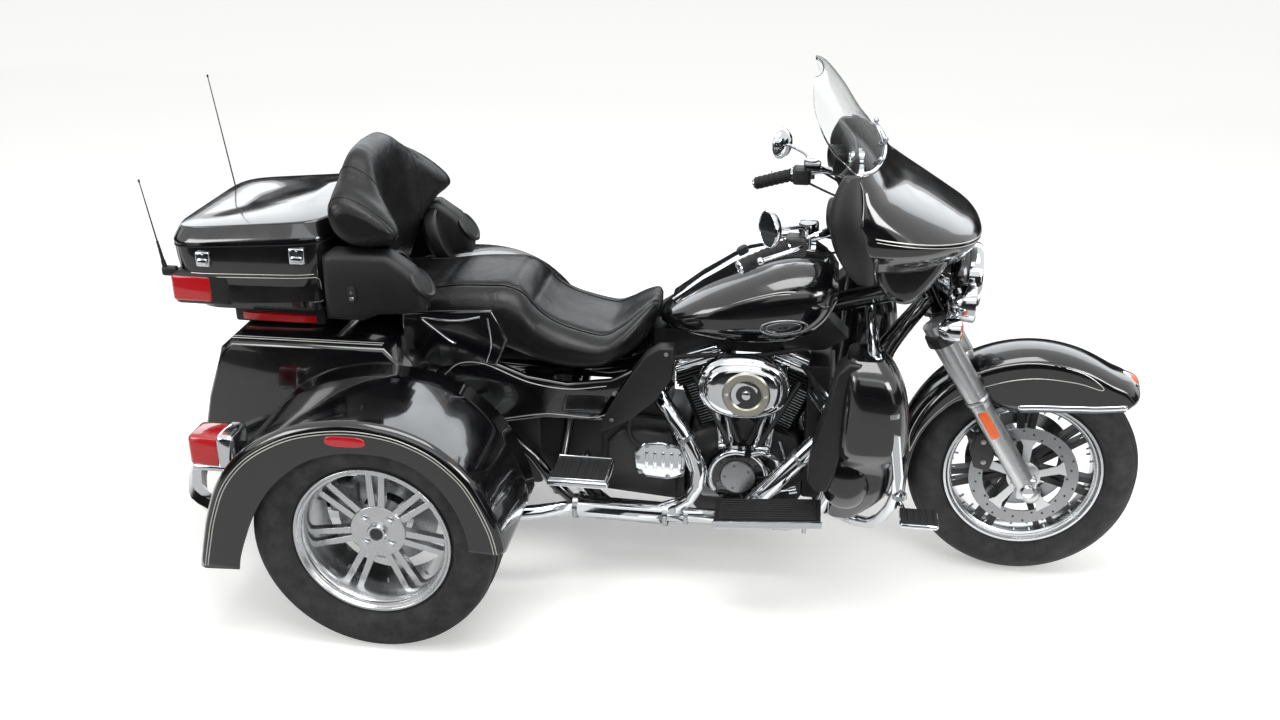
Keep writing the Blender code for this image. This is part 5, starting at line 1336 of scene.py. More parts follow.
def air_cleaner():
    """Chrome oval air cleaner: stepped dome, brushed ring, dark disc and a small crown."""
    cx, cz = 0.906, 0.619
    bm = bmesh.new()
    rings = []
    for grow, y in ((0.92, -0.206), (1.0, -0.208), (1.0, -0.236), (0.965, -0.246), (0.9, -0.25),
                    (0.86, -0.252), (0.83, -0.262), (0.76, -0.268), (0.6, -0.272), (0.3, -0.2735)):
        rings.append([(x, y, z) for x, z in oval(cx, cz, 0.122 * grow, 0.088 * grow)])
    loft(bm, rings)
    publish(bm, "air_cleaner_cover", "chrome_plate", nodes=("air_cleaner",), sharp=40)
    bm = bmesh.new()
    centre = (0.916, -0.27, 0.616)
    spun(bm, [(0.04, -0.004), (0.064, -0.004), (0.064, 0.004), (0.06, 0.0075), (0.044, 0.0075),
              (0.04, 0.004)], centre, (0, -1, 0), 64)
    publish(bm, "air_cleaner_ring", "brushed_bronze", sharp=30)
    bm = bmesh.new()
    spun(bm, [(0.0, -0.003), (0.041, -0.003), (0.041, 0.003), (0.0, 0.0045)], centre, (0, -1, 0), 64)
    publish(bm, "air_cleaner_disc", "engine_black", sharp=30)
    bm = bmesh.new()
    spun(bm, [(0.0, 0.0), (0.015, 0.0), (0.0145, 0.006), (0.011, 0.0105), (0.0, 0.0125)], centre, (0, -1, 0),
         40)
    for dx in (0.052, -0.052):
        bolts(bm, [(0.916 + dx, -0.277, 0.616)], (0, -1, 0), 0.004, 0.003)
    publish(bm, "air_cleaner_crown", "chrome_plate", sharp=40)
    bm = bmesh.new()
    pipe(bm, [(0.9, -0.08, 0.56), (0.902, -0.15, 0.59), (0.904, -0.208, 0.612)], 0.03, 6, 8)
    publish(bm, "intake_throat", "engine_black")


def band(bm, at, along, radius, width=0.012, lug=True):
    """A clamp band with its screw round a tube."""
    at, along = Vector(at), Vector(along).normalized()
    section = [(radius, -width / 2), (radius + 0.0022, -width / 2), (radius + 0.0022, width / 2),
               (radius, width / 2)]
    spun(bm, section, at, along, 40)
    if lug:
        side = along.cross(Vector((0, 0, 1))).normalized()
        spot = at + side * (radius + 0.006)
        rod(bm, spot - Vector((0, 0, 0.01)), spot + Vector((0, 0, 0.01)), 0.0045, 10)


def exhaust():
    """Chrome headers and collector with their clamps, and two long straight-cut silencers."""
    bm = bmesh.new()
    bm.from_mesh(frame["nodes"]["exhaust_pipes"].data)
    publish(bm, "exhaust_pipes_skin", "chrome_plate", nodes=("exhaust_pipes",), sharp=50, at_rest=False)
    bm = bmesh.new()
    band(bm, (1.151, -0.214, 0.33), (0.01, 0, 1), 0.0235)
    band(bm, (1.09, -0.216, 0.205), (1, 0, 0), 0.0238)
    band(bm, (0.76, -0.215, 0.205), (1, 0, 0), 0.0238)
    band(bm, (0.702, -0.215, 0.205), (1, 0, 0), 0.0328, 0.014)
    band(bm, (0.446, -0.217, 0.21), (1, 0, 0), 0.0328, 0.014)
    band(bm, (0.755, -0.204, 0.445), (0.45, -0.09, -0.89), 0.0238)
    for y in (-0.285, 0.285):
        band(bm, (0.176, y, 0.2), (1, 0, 0), 0.045, 0.016)
    publish(bm, "exhaust_clamps", "bright_steel", sharp=30)
    for name, side in SIDES:
        bm = bmesh.new()
        centre = (0.1795, side * 0.285, 0.2)
        section = [(0.0, 0.0), (0.0245, 0.0), (0.03, 0.008), (0.044, 0.05), (0.044, 0.56), (0.0425, 0.572),
                   (0.0425, 0.66), (0.04, 0.66), (0.04, 0.58), (0.0, 0.575)]
        spun(bm, section, centre, (-1, 0, 0), 56)
        publish(bm, "silencer_" + name, "chrome_plate", nodes=("muffler_" + name,), sharp=30)


def header_shields():
    """Chrome shields over the front header, and one that sweeps back to the collector, with clamps."""
    bm = bmesh.new()
    pipe(bm, [(1.098, -0.1, 0.56), (1.15, -0.186, 0.524), (1.155, -0.214, 0.48), (1.152, -0.216, 0.4),
              (1.15, -0.216, 0.32)], 0.0262, 6, 10)
    pipe(bm, [(1.146, -0.216, 0.5), (1.112, -0.222, 0.47), (1.02, -0.226, 0.36), (0.944, -0.224, 0.262),
              (0.92, -0.218, 0.224)], 0.025, 8, 8)
    publish(bm, "header_shields", "chrome_plate", sharp=50)
    bm = bmesh.new()
    band(bm, (1.066, -0.2248, 0.416), (0.62, 0.0, 0.78), 0.0252, 0.01)
    band(bm, (0.965, -0.225, 0.29), (0.6, 0.0, 0.8), 0.0252, 0.01)
    publish(bm, "shield_clamps", "bright_steel", sharp=30)


def inner_works():
    """Dark parts seen between the bright ones: backbone cover, coil, regulator, cooler, hoses and wiring."""
    bm = bmesh.new()
    slab(bm, ((0.64, 0.6), (0.64, 0.7), (0.76, 0.705), (1.12, 0.76), (1.18, 0.7), (1.12, 0.66),
              (0.96, 0.64), (0.86, 0.64), (0.72, 0.6)), -0.045, 0.045, 0.008, 2)
    brick(bm, (1.075, 1.14), (-0.105, 0.105), (0.225, 0.64), 0.01, 2)
    brick(bm, (0.56, 0.69), (-0.1, 0.1), (0.395, 0.56), 0.012, 2)
    brick(bm, (0.32, 0.6), (-0.12, 0.12), (0.25, 0.44), 0.015, 2)
    brick(bm, (0.222, 0.33), (-0.12, 0.12), (0.215, 0.47), 0.015, 2)
    publish(bm, "inner_covers", "moulded_plastic", sharp=40)
    bm = bmesh.new()
    for k in range(15):
        z = 0.262 + k * 0.024
        brick(bm, (1.138, 1.15), (-0.098, 0.098), (z, z + 0.006), 0.0, 1)
    publish(bm, "cooler_fins", "engine_black")
    bm = bmesh.new()
    for path in (((1.06, -0.11, 0.64), (1.1, -0.16, 0.6), (1.125, -0.17, 0.5), (1.115, -0.15, 0.38)),
                 ((0.64, -0.12, 0.56), (0.6, -0.16, 0.5), (0.59, -0.165, 0.42), (0.64, -0.15, 0.36)),
                 ((0.7, -0.11, 0.64), (0.8, -0.125, 0.66), (0.93, -0.12, 0.665), (1.06, -0.11, 0.69)),
                 ((0.98, -0.125, 0.25), (1.06, -0.15, 0.3), (1.11, -0.15, 0.38))):
        pipe(bm, path, 0.007, 8, 4)
    publish(bm, "engine_hoses", "grip_rubber")


def under_seat_panels():
    """Gloss panels under the pillion seat with a slim bright rail on each."""
    for name, side in SIDES:
        bm = bmesh.new()
        slab(bm, ((-0.04, 0.64), (-0.04, 0.765), (0.215, 0.785), (0.26, 0.7), (0.225, 0.62), (0.06, 0.6)),
             *sided(side, 0.15, 0.196), 0.01, 3)
        publish(bm, "under_seat_panel_" + name, "gloss_enamel", sharp=40)
        bm = bmesh.new()
        for track in (((0.016, 0.752), (0.114, 0.749), (0.184, 0.764)), ((0.02, 0.748), (0.096, 0.688),
                                                                         (0.114, 0.684)),
                      ((0.204, 0.762), (0.211, 0.684), (0.195, 0.632))):
            pipe(bm, [(x, side * 0.1985, z) for x, z in track], 0.003, 4, 3)
        publish(bm, "under_seat_rail_" + name, "chrome_plate", sharp=50)


def deflectors():
    """Matte shields between the seat and the engine, with a rolled edge and two screws."""
    leaf = ((0.714, 0.713), (0.711, 0.622), (0.668, 0.556), (0.6, 0.494), (0.524, 0.452), (0.508, 0.462),
            (0.545, 0.535), (0.59, 0.612), (0.64, 0.686), (0.675, 0.71))
    for name, side in SIDES:
        reface("deflector_" + name, "moulded_plastic", 40)
        bm = bmesh.new()
        slab(bm, leaf, *sided(side, 0.213, 0.2205), 0.004, 3)
        publish(bm, "deflector_face_" + name, "moulded_plastic", sharp=40)
        bm = bmesh.new()
        bolts(bm, [(0.548, side * 0.22, 0.49), (0.696, side * 0.22, 0.696)], (0, side, 0), 0.005, 0.003)
        publish(bm, "deflector_screws_" + name, "bright_steel", sharp=30)


LOWER_ROWS = (
    # z, rear x, front x, inner |y|, outer |y|
    (0.3, 1.15, 1.225, 0.25, 0.33), (0.38, 1.15, 1.3, 0.248, 0.362), (0.47, 1.154, 1.318, 0.245, 0.378),
    (0.54, 1.156, 1.338, 0.242, 0.418), (0.66, 1.16, 1.33, 0.236, 0.424), (0.735, 1.165, 1.3, 0.247, 0.41),
    (0.778, 1.172, 1.262, 0.257, 0.37),
)


def lower_fairings():
    """Leg shields: lacquered outer shells with a matte storage door on the rider's side."""
    for name, side in SIDES:
        rings = []
        for z, rear, front, inner, outer in rows_between(LOWER_ROWS, 6):
            ring = []
            for i in range(48):
                t = 2 * pi * (i + 0.5) / 48
                x = (rear + front) / 2 + (front - rear) / 2 * power(cos(t), 0.62)
                y = (inner + outer) / 2 + (outer - inner) / 2 * power(sin(t), 0.62)
                ring.append((x, side * y, z))
            rings.append(ring)
        bm = bmesh.new()
        loft(bm, rings)
        publish(bm, "lower_fairing_shell_" + name, "gloss_enamel", nodes=("lower_fairing_" + name,), sharp=50)
        bm = bmesh.new()
        slab(bm, ((1.088, 0.43), (1.096, 0.52), (1.128, 0.64), (1.146, 0.742), (1.176, 0.772), (1.206, 0.77),
                  (1.186, 0.66), (1.172, 0.54), (1.158, 0.45), (1.14, 0.405), (1.11, 0.4)),
             *sided(side, 0.3, 0.3885), 0.008, 3)
        publish(bm, "lower_fairing_door_" + name, "moulded_plastic", sharp=40)
        bm = bmesh.new()
        ball(bm, (1.19, side * 0.352, 0.425), 0.072, (0.92, 0.52, 1.15), 28)
        publish(bm, "lower_fairing_pod_" + name, "gloss_enamel", sharp=50)


def guards_and_boards():
    """Engine guard, foot boards with rubber pads and chrome edges, brake and gear pedals."""
    reface("engine_guard", "chrome_plate", 50)
    bm = bmesh.new()
    for side in (-1, 1):
        for z in (0.42, 0.65):
            band(bm, (1.326 if z < 0.5 else 1.29, side * 0.405, z), (-0.1, 0, 1), 0.0163, 0.012, False)
    publish(bm, "guard_clamps", "bright_steel", sharp=30)
    for name, side in SIDES:
        body = "rider_board_" + name
        reface("rider_board_" + name, "moulded_plastic", 30)
        lean = atan2(0.334 - 0.3125, 1.13 - 0.85)
        bm = bmesh.new()
        ys = sided(side, 0.306, 0.411)
        for k in range(9):
            y = ys[0] + (ys[1] - ys[0]) * (k + 0.5) / 9
            brick(bm, (0.868, 1.112), (y - 0.0036, y + 0.0036), (0.33, 0.3345), 0.0012, 1)
        brick(bm, (0.862, 1.118), tuple(ys), (0.3275, 0.3312), 0.0012, 1)
        middle = Matrix.Translation((0.99, 0, 0.3232))
        lift = middle @ Matrix.Rotation(-lean, 4, "Y") @ Matrix.Translation((-0.99, 0, -0.3282))
        bmesh.ops.transform(bm, matrix=lift, verts=bm.verts)
        publish(bm, "rider_pad_" + name, "grip_rubber", body, sharp=40)
        bm = bmesh.new()
        y = side * 0.4205
        slab(bm, ((0.846, 0.2945), (1.134, 0.3165), (1.134, 0.3355), (0.846, 0.314)),
             *sorted((y, y + side * 0.006)), 0.002, 2)
        publish(bm, "rider_board_edge_" + name, "chrome_plate", body, sharp=40)
        body = "pillion_board_" + name
        bm = bmesh.new()
        ring = ((0.414, 0.293), (0.561, 0.293), (0.561, 0.422), (0.414, 0.422), (0.414, 0.293))
        pipe(bm, [(x, side * y, 0.4085) for x, y in ring], 0.0036, 1, 4)
        publish(bm, "pillion_board_rim_" + name, "chrome_plate", body, sharp=50)
        reface("pillion_board_" + name, "chrome_plate", 30)
        bm = bmesh.new()
        ys = sided(side, 0.296, 0.42)
        brick(bm, (0.416, 0.559), tuple(ys), (0.404, 0.4088), 0.0015, 2)
        for k in range(6):
            x = 0.43 + k * 0.0235
            brick(bm, (x - 0.004, x + 0.004), (ys[0] + 0.008, ys[1] - 0.008), (0.408, 0.4115), 0.001, 1)
        publish(bm, "pillion_pad_" + name, "grip_rubber", body, sharp=40)
    reface("brake_pedal", "chrome_plate", 50)
    bm = bmesh.new()
    for k in range(6):
        x = 1.34 + k * 0.0168
        brick(bm, (x - 0.005, x + 0.005), (-0.42, -0.35), (0.351, 0.356), 0.0015, 1)
    brick(bm, (1.334, 1.43), (-0.424, -0.346), (0.35, 0.3535), 0.0012, 1)
    publish(bm, "brake_pad_rubber", "grip_rubber", sharp=40)
    reface("shift_lever", "chrome_plate", 50)
    bm = bmesh.new()
    spun(bm, [(0.0, 0.0), (0.0135, 0.0), (0.0145, 0.006), (0.0145, 0.06), (0.0135, 0.066), (0.0, 0.066)],
         (1.36, 0.379, 0.341), (0, 1, 0), 28)
    publish(bm, "shift_peg_rubber", "grip_rubber", sharp=40)


def side_covers():
    """Lacquered side covers under the seat with a line and a plain round lock."""
    for name, side in SIDES:
        reface("side_cover_" + name, "gloss_enamel", 30)
        bm = bmesh.new()
        y = side * 0.1955
        path = [(0.075, y, 0.585), (0.12, y, 0.622), (0.19, y, 0.624), (0.31, y, 0.578), (0.42, y, 0.564),
                (0.53, y, 0.58)]
        pipe(bm, path, 0.0012, 5, 2)
        low = [(0.075, y, 0.47), (0.2, y, 0.455), (0.36, y, 0.484), (0.505, y, 0.484), (0.57, y, 0.535)]
        pipe(bm, low, 0.0012, 5, 2)
        publish(bm, "side_cover_pinstripes_" + name, "silver_pinstripe")
        bm = bmesh.new()
        spun(bm, [(0.0, 0.0), (0.009, 0.0), (0.009, 0.003), (0.0, 0.004)], (0.555, side * 0.195, 0.56),
             (0, side, 0), 24)
        publish(bm, "side_cover_lock_" + name, "bright_steel", sharp=30)


FENDER_ARC = (
    # angle in degrees, crest beyond the tyre, skirt beyond the tyre
    (44, 0.0735, 0.01), (50, 0.0755, -0.029), (58, 0.0645, -0.062), (72, 0.0635, -0.094),
    (90, 0.0625, -0.108), (108, 0.0595, -0.098), (127, 0.056, -0.02), (142, 0.0505, -0.005),
    (160, 0.043, 0.001), (178, 0.035, 0.001), (194, 0.0255, 0.0155),
)


def front_fender():
    """Deep front fender with rolled crown, chrome lower trim, a silver loop and a tip lamp."""
    rows = rows_between(FENDER_ARC, 6)
    grid = []
    half = 0.084
    for angle, crest, skirt in rows:
        a = radians(angle)
        out = Vector((cos(a), 0, sin(a)))
        top = FRONT_AXLE_Z + crest
        low = FRONT_AXLE_Z + skirt
        row = []
        for k in range(-14, 15):
            share = k / 14
            if abs(share) <= 0.62:
                t = share / 0.62 * pi / 2
                y = half * sin(t)
                drop = 0.034 * (1 - cos(t))
            else:
                y = half * (1 if share > 0 else -1)
                drop = 0.034 + (abs(share) - 0.62) / 0.38 * max(0.0, (top - low - 0.034))
            r = top - min(drop, max(top - low, 0.004)) if drop > 0 else top
            p = Vector((WHEELBASE, 0, FRONT_AXLE_Z)) + out * r
            row.append((p.x, y, p.z))
        grid.append(row)
    bm = bmesh.new()
    sheet(bm, grid)
    publish(bm, "front_fender_shell", "gloss_enamel", "fork", ("front_fender",), 60, wall=0.003)
    for name, side in SIDES:
        bm = bmesh.new()
        trim = []
        for angle, crest, skirt in rows[0:29]:
            a = radians(angle)
            p = Vector((WHEELBASE, 0, FRONT_AXLE_Z)) + Vector((cos(a), 0,
                                                               sin(a))) * (FRONT_AXLE_Z + skirt + 0.006)
            trim.append([(p.x, side * 0.0842, p.z), (p.x, side * 0.0868, p.z + 0.004),
                         (p.x, side * 0.0868, p.z + 0.012), (p.x, side * 0.0842, p.z + 0.016)])
        sheet(bm, trim)
        publish(bm, "front_fender_trim_" + name, "chrome_plate", "fork", sharp=50, wall=0.0016)
        bm = bmesh.new()
        loop = []
        for angle, up in ((168, 0.01), (158, 0.028), (140, 0.034), (118, 0.036), (95, 0.036), (74, 0.034),
                          (62, 0.026), (60, 0.014), (72, 0.002), (92, -0.008), (112, -0.01), (132, 0.0),
                          (152, 0.006), (168, 0.01)):
            a = radians(angle)
            r = FRONT_AXLE_Z + up
            crest = 0.06 if angle < 130 else 0.05
            over = max(0.0, up - (crest - 0.034))
            y = 0.0845 if over <= 0 else 0.084 * sqrt(max(0.0, 1 - (over / 0.034) ** 2)) + 0.0008
            loop.append((WHEELBASE + r * cos(a), side * y, FRONT_AXLE_Z + r * sin(a)))
        pipe(bm, loop, 0.0012, 5, 2)
        publish(bm, "front_fender_pinstripe_" + name, "silver_pinstripe", "fork")
    a = radians(48)
    tip = Vector((WHEELBASE, 0, FRONT_AXLE_Z)) + Vector((cos(a), 0, sin(a))) * (FRONT_AXLE_Z + 0.066)
    bm = bmesh.new()
    ball(bm, (0, 0, 0), 1.0, (0.034, 0.04, 0.016), 28)
    lean = Matrix.Rotation(radians(42), 4, "Y")
    bmesh.ops.transform(bm, matrix=Matrix.Translation(tip) @ lean, verts=bm.verts)
    publish(bm, "fender_tip_shell", "chrome_plate", "fork", sharp=50)
    bm = bmesh.new()
    ball(bm, (0, 0, 0), 1.0, (0.026, 0.033, 0.0185), 28)
    proud = Matrix.Translation(tip + Vector((0.001, 0, 0.001)))
    bmesh.ops.transform(bm, matrix=proud @ lean, verts=bm.verts)
    publish(bm, "fender_tip_lens", "amber_acrylic", "fork", sharp=50)


def fork():
    """Satin sliders and upper covers, yokes, axle caps, calipers, brake hoses and reflectors."""
    reface("fork_yokes", "moulded_plastic", 30)
    reface("front_axle", "chrome_plate", 30)
    for name, side in SIDES:
        y = side * LEG_Y
        bottom, split, cover_top = 0.3, 0.56, 0.79
        bm = bmesh.new()
        foot = Vector((leg_x(bottom), y, bottom))
        joint = Vector((leg_x(split), y, split))
        rod(bm, foot, joint, 0.029, 36)
        rod(bm, joint - LEG_UP * 0.004, joint + LEG_UP * 0.01, 0.031, 36, 0.03)
        ball(bm, foot, 0.029, (1, 1, 1), 28)
        brick(bm, (WHEELBASE - 0.03, WHEELBASE + 0.026), tuple(sorted((y - side * 0.02, y + side * 0.022))),
              (FRONT_AXLE_Z - 0.034, FRONT_AXLE_Z + 0.034), 0.01, 3)
        for up in (0.4, 0.46):
            spot = Vector((leg_x(up), y - side * 0.02, up))
            rod(bm, spot, spot + Vector((0.0, -side * 0.02, 0.0)), 0.011, 16)
        publish(bm, "fork_slider_" + name, "satin_aluminium", "fork", ("fork_leg_" + name,), 50)
        bm = bmesh.new()
        start = Vector((leg_x(0.575), y, 0.575))
        end = Vector((leg_x(cover_top), y, cover_top))
        rod(bm, start, end, 0.0325, 36, 0.0345)
        spun(bm, [(0.03, -0.004), (0.0345, -0.004), (0.035, 0.004), (0.0335, 0.008), (0.03, 0.008)], start,
             LEG_UP, 40)
        publish(bm, "fork_cover_" + name, "satin_aluminium", "fork", sharp=40)
        bm = bmesh.new()
        rod(bm, joint, start, 0.0255, 28)
        publish(bm, "fork_tube_" + name, "bright_steel", "fork")
        bm = bmesh.new()
        spun(bm, [(0.0, 0.0), (0.019, 0.0), (0.019, 0.01), (0.015, 0.016), (0.0, 0.018)],
             (WHEELBASE, y + side * 0.0215, FRONT_AXLE_Z), (0, side, 0), 36)
        publish(bm, "axle_cap_" + name, "chrome_plate", "fork", sharp=40)
        bm = bmesh.new()
        middle = Vector((leg_x(0.512) - 0.004, side * (LEG_Y + 0.0275), 0.512))
        brick(bm, (-0.0125, 0.0125), (-0.004, 0.0045), (-0.044, 0.044), 0.0035, 3)
        bmesh.ops.transform(bm,
                            matrix=Matrix.Translation(middle) @ Matrix.Rotation(-atan2(LEG_LEAN, 1.0), 4,
                                                                                "Y"), verts=bm.verts)
        publish(bm, "fork_reflector_" + name, "amber_acrylic", "fork", sharp=40)
        bm = bmesh.new()
        body = ((-0.142, 0.03), (-0.1, 0.018), (-0.09, 0.06), (-0.088, 0.118), (-0.112, 0.15),
                (-0.148, 0.128), (-0.158, 0.08))
        flat = [(WHEELBASE + x, FRONT_AXLE_Z + z) for x, z in body]
        slab(bm, flat, *sided(side, 0.062, 0.086), 0.007, 3)
        publish(bm, "front_caliper_" + name, "engine_black", "fork", sharp=40)
        bm = bmesh.new()
        bolts(bm, [(WHEELBASE - 0.118, side * 0.086, FRONT_AXLE_Z + 0.05),
                   (WHEELBASE - 0.124, side * 0.086, FRONT_AXLE_Z + 0.112)], (0, side, 0), 0.006, 0.005)
        publish(bm, "front_caliper_screws_" + name, "bright_steel", "fork", sharp=30)
        bm = bmesh.new()
        path = [(WHEELBASE - 0.135, side * 0.074, FRONT_AXLE_Z + 0.14), (1.52, side * 0.08, 0.56),
                (1.47, side * 0.078, 0.66), (1.42, side * 0.07, 0.75)]
        pipe(bm, path, size("tube_radius"), 8, 4)
        publish(bm, "brake_hose_" + name, "grip_rubber", "fork")


FAIRING_ROWS = (
    # z, half width, rear edge x, nose x, fullness
    (0.985, 0.3, 1.205, 1.478, 2.2), (1.03, 0.345, 1.19, 1.501, 2.3), (1.06, 0.362, 1.183, 1.49, 2.3),
    (1.088, 0.366, 1.179, 1.446, 2.3), (1.124, 0.368, 1.176, 1.384, 2.2), (1.16, 0.36, 1.178, 1.318, 2.1),
    (1.182, 0.353, 1.178, 1.282, 2.0), (1.21, 0.342, 1.174, 1.256, 2.0), (1.236, 0.325, 1.16, 1.238, 2.0),
)
INNER_ROWS = (
    # z, half width, rear edge x
    (0.965, 0.24, 1.205), (1.01, 0.3175, 1.165), (1.069, 0.3553, 1.128), (1.135, 0.3585, 1.118),
    (1.19, 0.3435, 1.118), (1.232, 0.32, 1.106),
)
SCREEN_ROWS = (
    # z, half width, rear edge x, nose x
    (1.2365, 0.324, 1.159, 1.237), (1.3, 0.312, 1.09, 1.18), (1.37, 0.295, 1.055, 1.13),
    (1.415, 0.235, 1.045, 1.088), (1.4296, 0.12, 1.045, 1.067),
)


def crescent(z, half, rear, nose, fullness, count=48):
    out = []
    for i in range(count + 1):
        a = (i / count * 2 - 1) * pi / 2
        out.append((rear + (nose - rear) * abs(cos(a)) ** (2 / fullness), half * power(sin(a), 2 / fullness),
                    z))
    return out


def outer_fairing():
    """Wide bar-mounted fairing: lacquered shell, lower lobes and silver lines, and the windshield."""
    rows = rows_between(FAIRING_ROWS, 7)
    bm = bmesh.new()
    sheet(bm, [crescent(z, half, rear, nose, full) for z, half, rear, nose, full in rows])
    publish(bm, "outer_fairing_shell", "gloss_enamel", "fork", ("outer_fairing",), 60, wall=0.0032)
    for name, side in SIDES:
        bm = bmesh.new()
        lobe = ((1.222, 1.01), (1.232, 0.925), (1.262, 0.88), (1.308, 0.866), (1.345, 0.888), (1.392, 0.955),
                (1.412, 1.014))
        spots = eased(list(Vector((x, 0, z)) for x, z in lobe), 4)
        slab(bm, [(p.x, p.z + 0.016) for p in spots], *sided(side, 0.18, 0.262), 0.03, 7)
        publish(bm, "fairing_lobe_" + name, "gloss_enamel", "fork", sharp=50)
    bm = bmesh.new()
    tracks = [crescent(z, half + 0.0006, rear, nose + 0.0006, full, 60) for z, half, rear, nose, full in rows]
    for drop, thick in ((0.0, 0.0016), (0.009, 0.001)):
        line = []
        for i in range(2, 59):
            across = abs(i / 30 - 1)
            z = 1.034 + 0.066 * across**1.4 - drop
            above = [k for k, row in enumerate(rows) if row[0] >= z][0]
            share = (z - rows[above - 1][0]) / (rows[above][0] - rows[above - 1][0])
            line.append(Vector(tracks[above - 1][i]).lerp(Vector(tracks[above][i]), share))
        pipe(bm, line, thick, 1, 2)
    publish(bm, "fairing_pinstripes", "silver_pinstripe", "fork")
    bm = bmesh.new()
    rim = crescent(1.2375, 0.3255, 1.1595, 1.2385, 2.0, 60)
    pipe(bm, rim, 0.0055, 1, 5)
    publish(bm, "windshield_trim", "chrome_plate", "fork", sharp=50)
    bm = bmesh.new()
    sheet(bm, [crescent(z, half, rear, nose, 2.0) for z, half, rear, nose in rows_between(SCREEN_ROWS, 8)])
    publish(bm, "windshield_sheet", "clear_polycarbonate", "fork", ("windshield",), 60, wall=0.004)
    bm = bmesh.new()
    for y in (-0.21, 0.0, 0.21):
        x = 1.159 + (1.237 - 1.159) * sqrt(max(0.0, 1 - (y / 0.325) ** 2))
        ball(bm, (x + 0.001, y, 1.249), 0.0075, (1, 1, 1), 16)
    publish(bm, "windshield_screws", "bright_steel", "fork", sharp=50)


def inner_fairing():
    """Matte cockpit shell with rolled sides, speaker pods, gauges in chrome rings and an audio unit."""
    bm = bmesh.new()
    rows = rows_between(INNER_ROWS, 6)
    grid = []
    for z, half, rear in rows:
        row = []
        for k in range(41):
            y = -half + 2 * half * k / 40
            edge = max(0.0, (abs(y) / half - 0.9) / 0.1)
            row.append((rear + 0.06 - 0.05 * (abs(y) / half) ** 2 + 0.03 * edge**2, y, z))
        grid.append(row)
    sheet(bm, grid)
    publish(bm, "inner_fairing_shell", "moulded_plastic", "fork", ("inner_fairing",), 60, wall=0.004)
    for name, side in SIDES:
        bm = bmesh.new()
        rings = []
        for k in range(25):
            share = k / 24
            z = 0.962 + 0.27 * share
            bulge = sin(pi * (0.08 + 0.84 * share)) ** 0.6
            ring = []
            for i in range(32):
                t = 2 * pi * i / 32
                x = 1.14 + 0.06 * (1 - share)**2.2 + 0.012 * share**3 + (0.048 * bulge + 0.002) * cos(t)
                y = 0.318 + 0.024 * sin(pi * share) + (0.03 * bulge + 0.002) * sin(t)
                ring.append((x, side * y, z))
            rings.append(ring)
        loft(bm, rings)
        publish(bm, "cockpit_side_" + name, "moulded_plastic", "fork", sharp=60)
        bm = bmesh.new()
        spun(bm, [(0.0, 0.045), (0.043, 0.04), (0.045, 0.008), (0.043, -0.002), (0.037, -0.004),
                  (0.035, 0.003), (0.0, 0.003)], (1.106, side * 0.262, 1.118), (1, side * 0.25, 0.1), 44)
        publish(bm, "fairing_pod_" + name, "moulded_plastic", "fork", sharp=40)
        bm = bmesh.new()
        spun(bm, [(0.0, 0.005), (0.0355, 0.005), (0.034, 0.002), (0.0, -0.001)],
             (1.1155, side * 0.262, 1.118), (1, side * 0.25, 0.1), 40)
        publish(bm, "fairing_speaker_grille_" + name, "grille_mesh", "fork", sharp=40)
    for index, (y, z, r) in enumerate(((-0.062, 1.155, 0.04), (0.062, 1.155, 0.04), (-0.15, 1.16, 0.026),
                                       (0.15, 1.16, 0.026), (0.0, 1.195, 0.02), (-0.15, 1.105, 0.02),
                                       (0.15, 1.105, 0.02))):
        x = 1.166
        bm = bmesh.new()
        spun(bm, [(r - 0.004, -0.012), (r, -0.012), (r, 0.02), (0.0, 0.02), (0.0, 0.004), (r - 0.004, 0.004)],
             (x, y, z), (1, 0, 0), 40)
        publish(bm, f"gauge_ring_{index}", "chrome_plate", "fork", sharp=40)
        bm = bmesh.new()
        spun(bm, [(0.0, -0.002), (r - 0.0045, -0.002), (r - 0.0045, 0.004), (0.0, 0.004)], (x, y, z),
             (1, 0, 0), 36)
        publish(bm, f"gauge_face_{index}", "engine_black", "fork", sharp=40)
        bm = bmesh.new()
        for k in range(9):
            a = radians(-210 + 30 * k) + pi
            near = Vector((x - 0.0028, y + (r - 0.012) * cos(a), z + (r - 0.012) * sin(a)))
            far = Vector((x - 0.0028, y + (r - 0.007) * cos(a), z + (r - 0.007) * sin(a)))
            rod(bm, near, far, 0.0008, 6)
        rod(bm, (x - 0.0034, y, z), (x - 0.0034, y - (r - 0.012) * 0.7, z + (r - 0.012) * 0.7), 0.001, 6)
        publish(bm, f"gauge_marks_{index}", "silver_pinstripe", "fork")
    bm = bmesh.new()
    brick(bm, (1.15, 1.176), (-0.085, 0.085), (1.03, 1.094), 0.005, 3)
    publish(bm, "audio_unit", "engine_black", "fork", sharp=40)
    bm = bmesh.new()
    for k in range(5):
        y = -0.056 + 0.028 * k
        brick(bm, (1.1465, 1.151), (y - 0.01, y + 0.01), (1.036, 1.046), 0.0015, 2)
    for y in (-0.07, 0.07):
        rod(bm, (1.14, y, 1.068), (1.151, y, 1.068), 0.0095, 24)
    publish(bm, "audio_keys", "bright_steel", "fork", sharp=40)
    bm = bmesh.new()
    brick(bm, (1.1485, 1.1505), (-0.048, 0.048), (1.054, 1.082), 0.0005, 1)
    publish(bm, "audio_window", "mirror_glass", "fork", sharp=40)


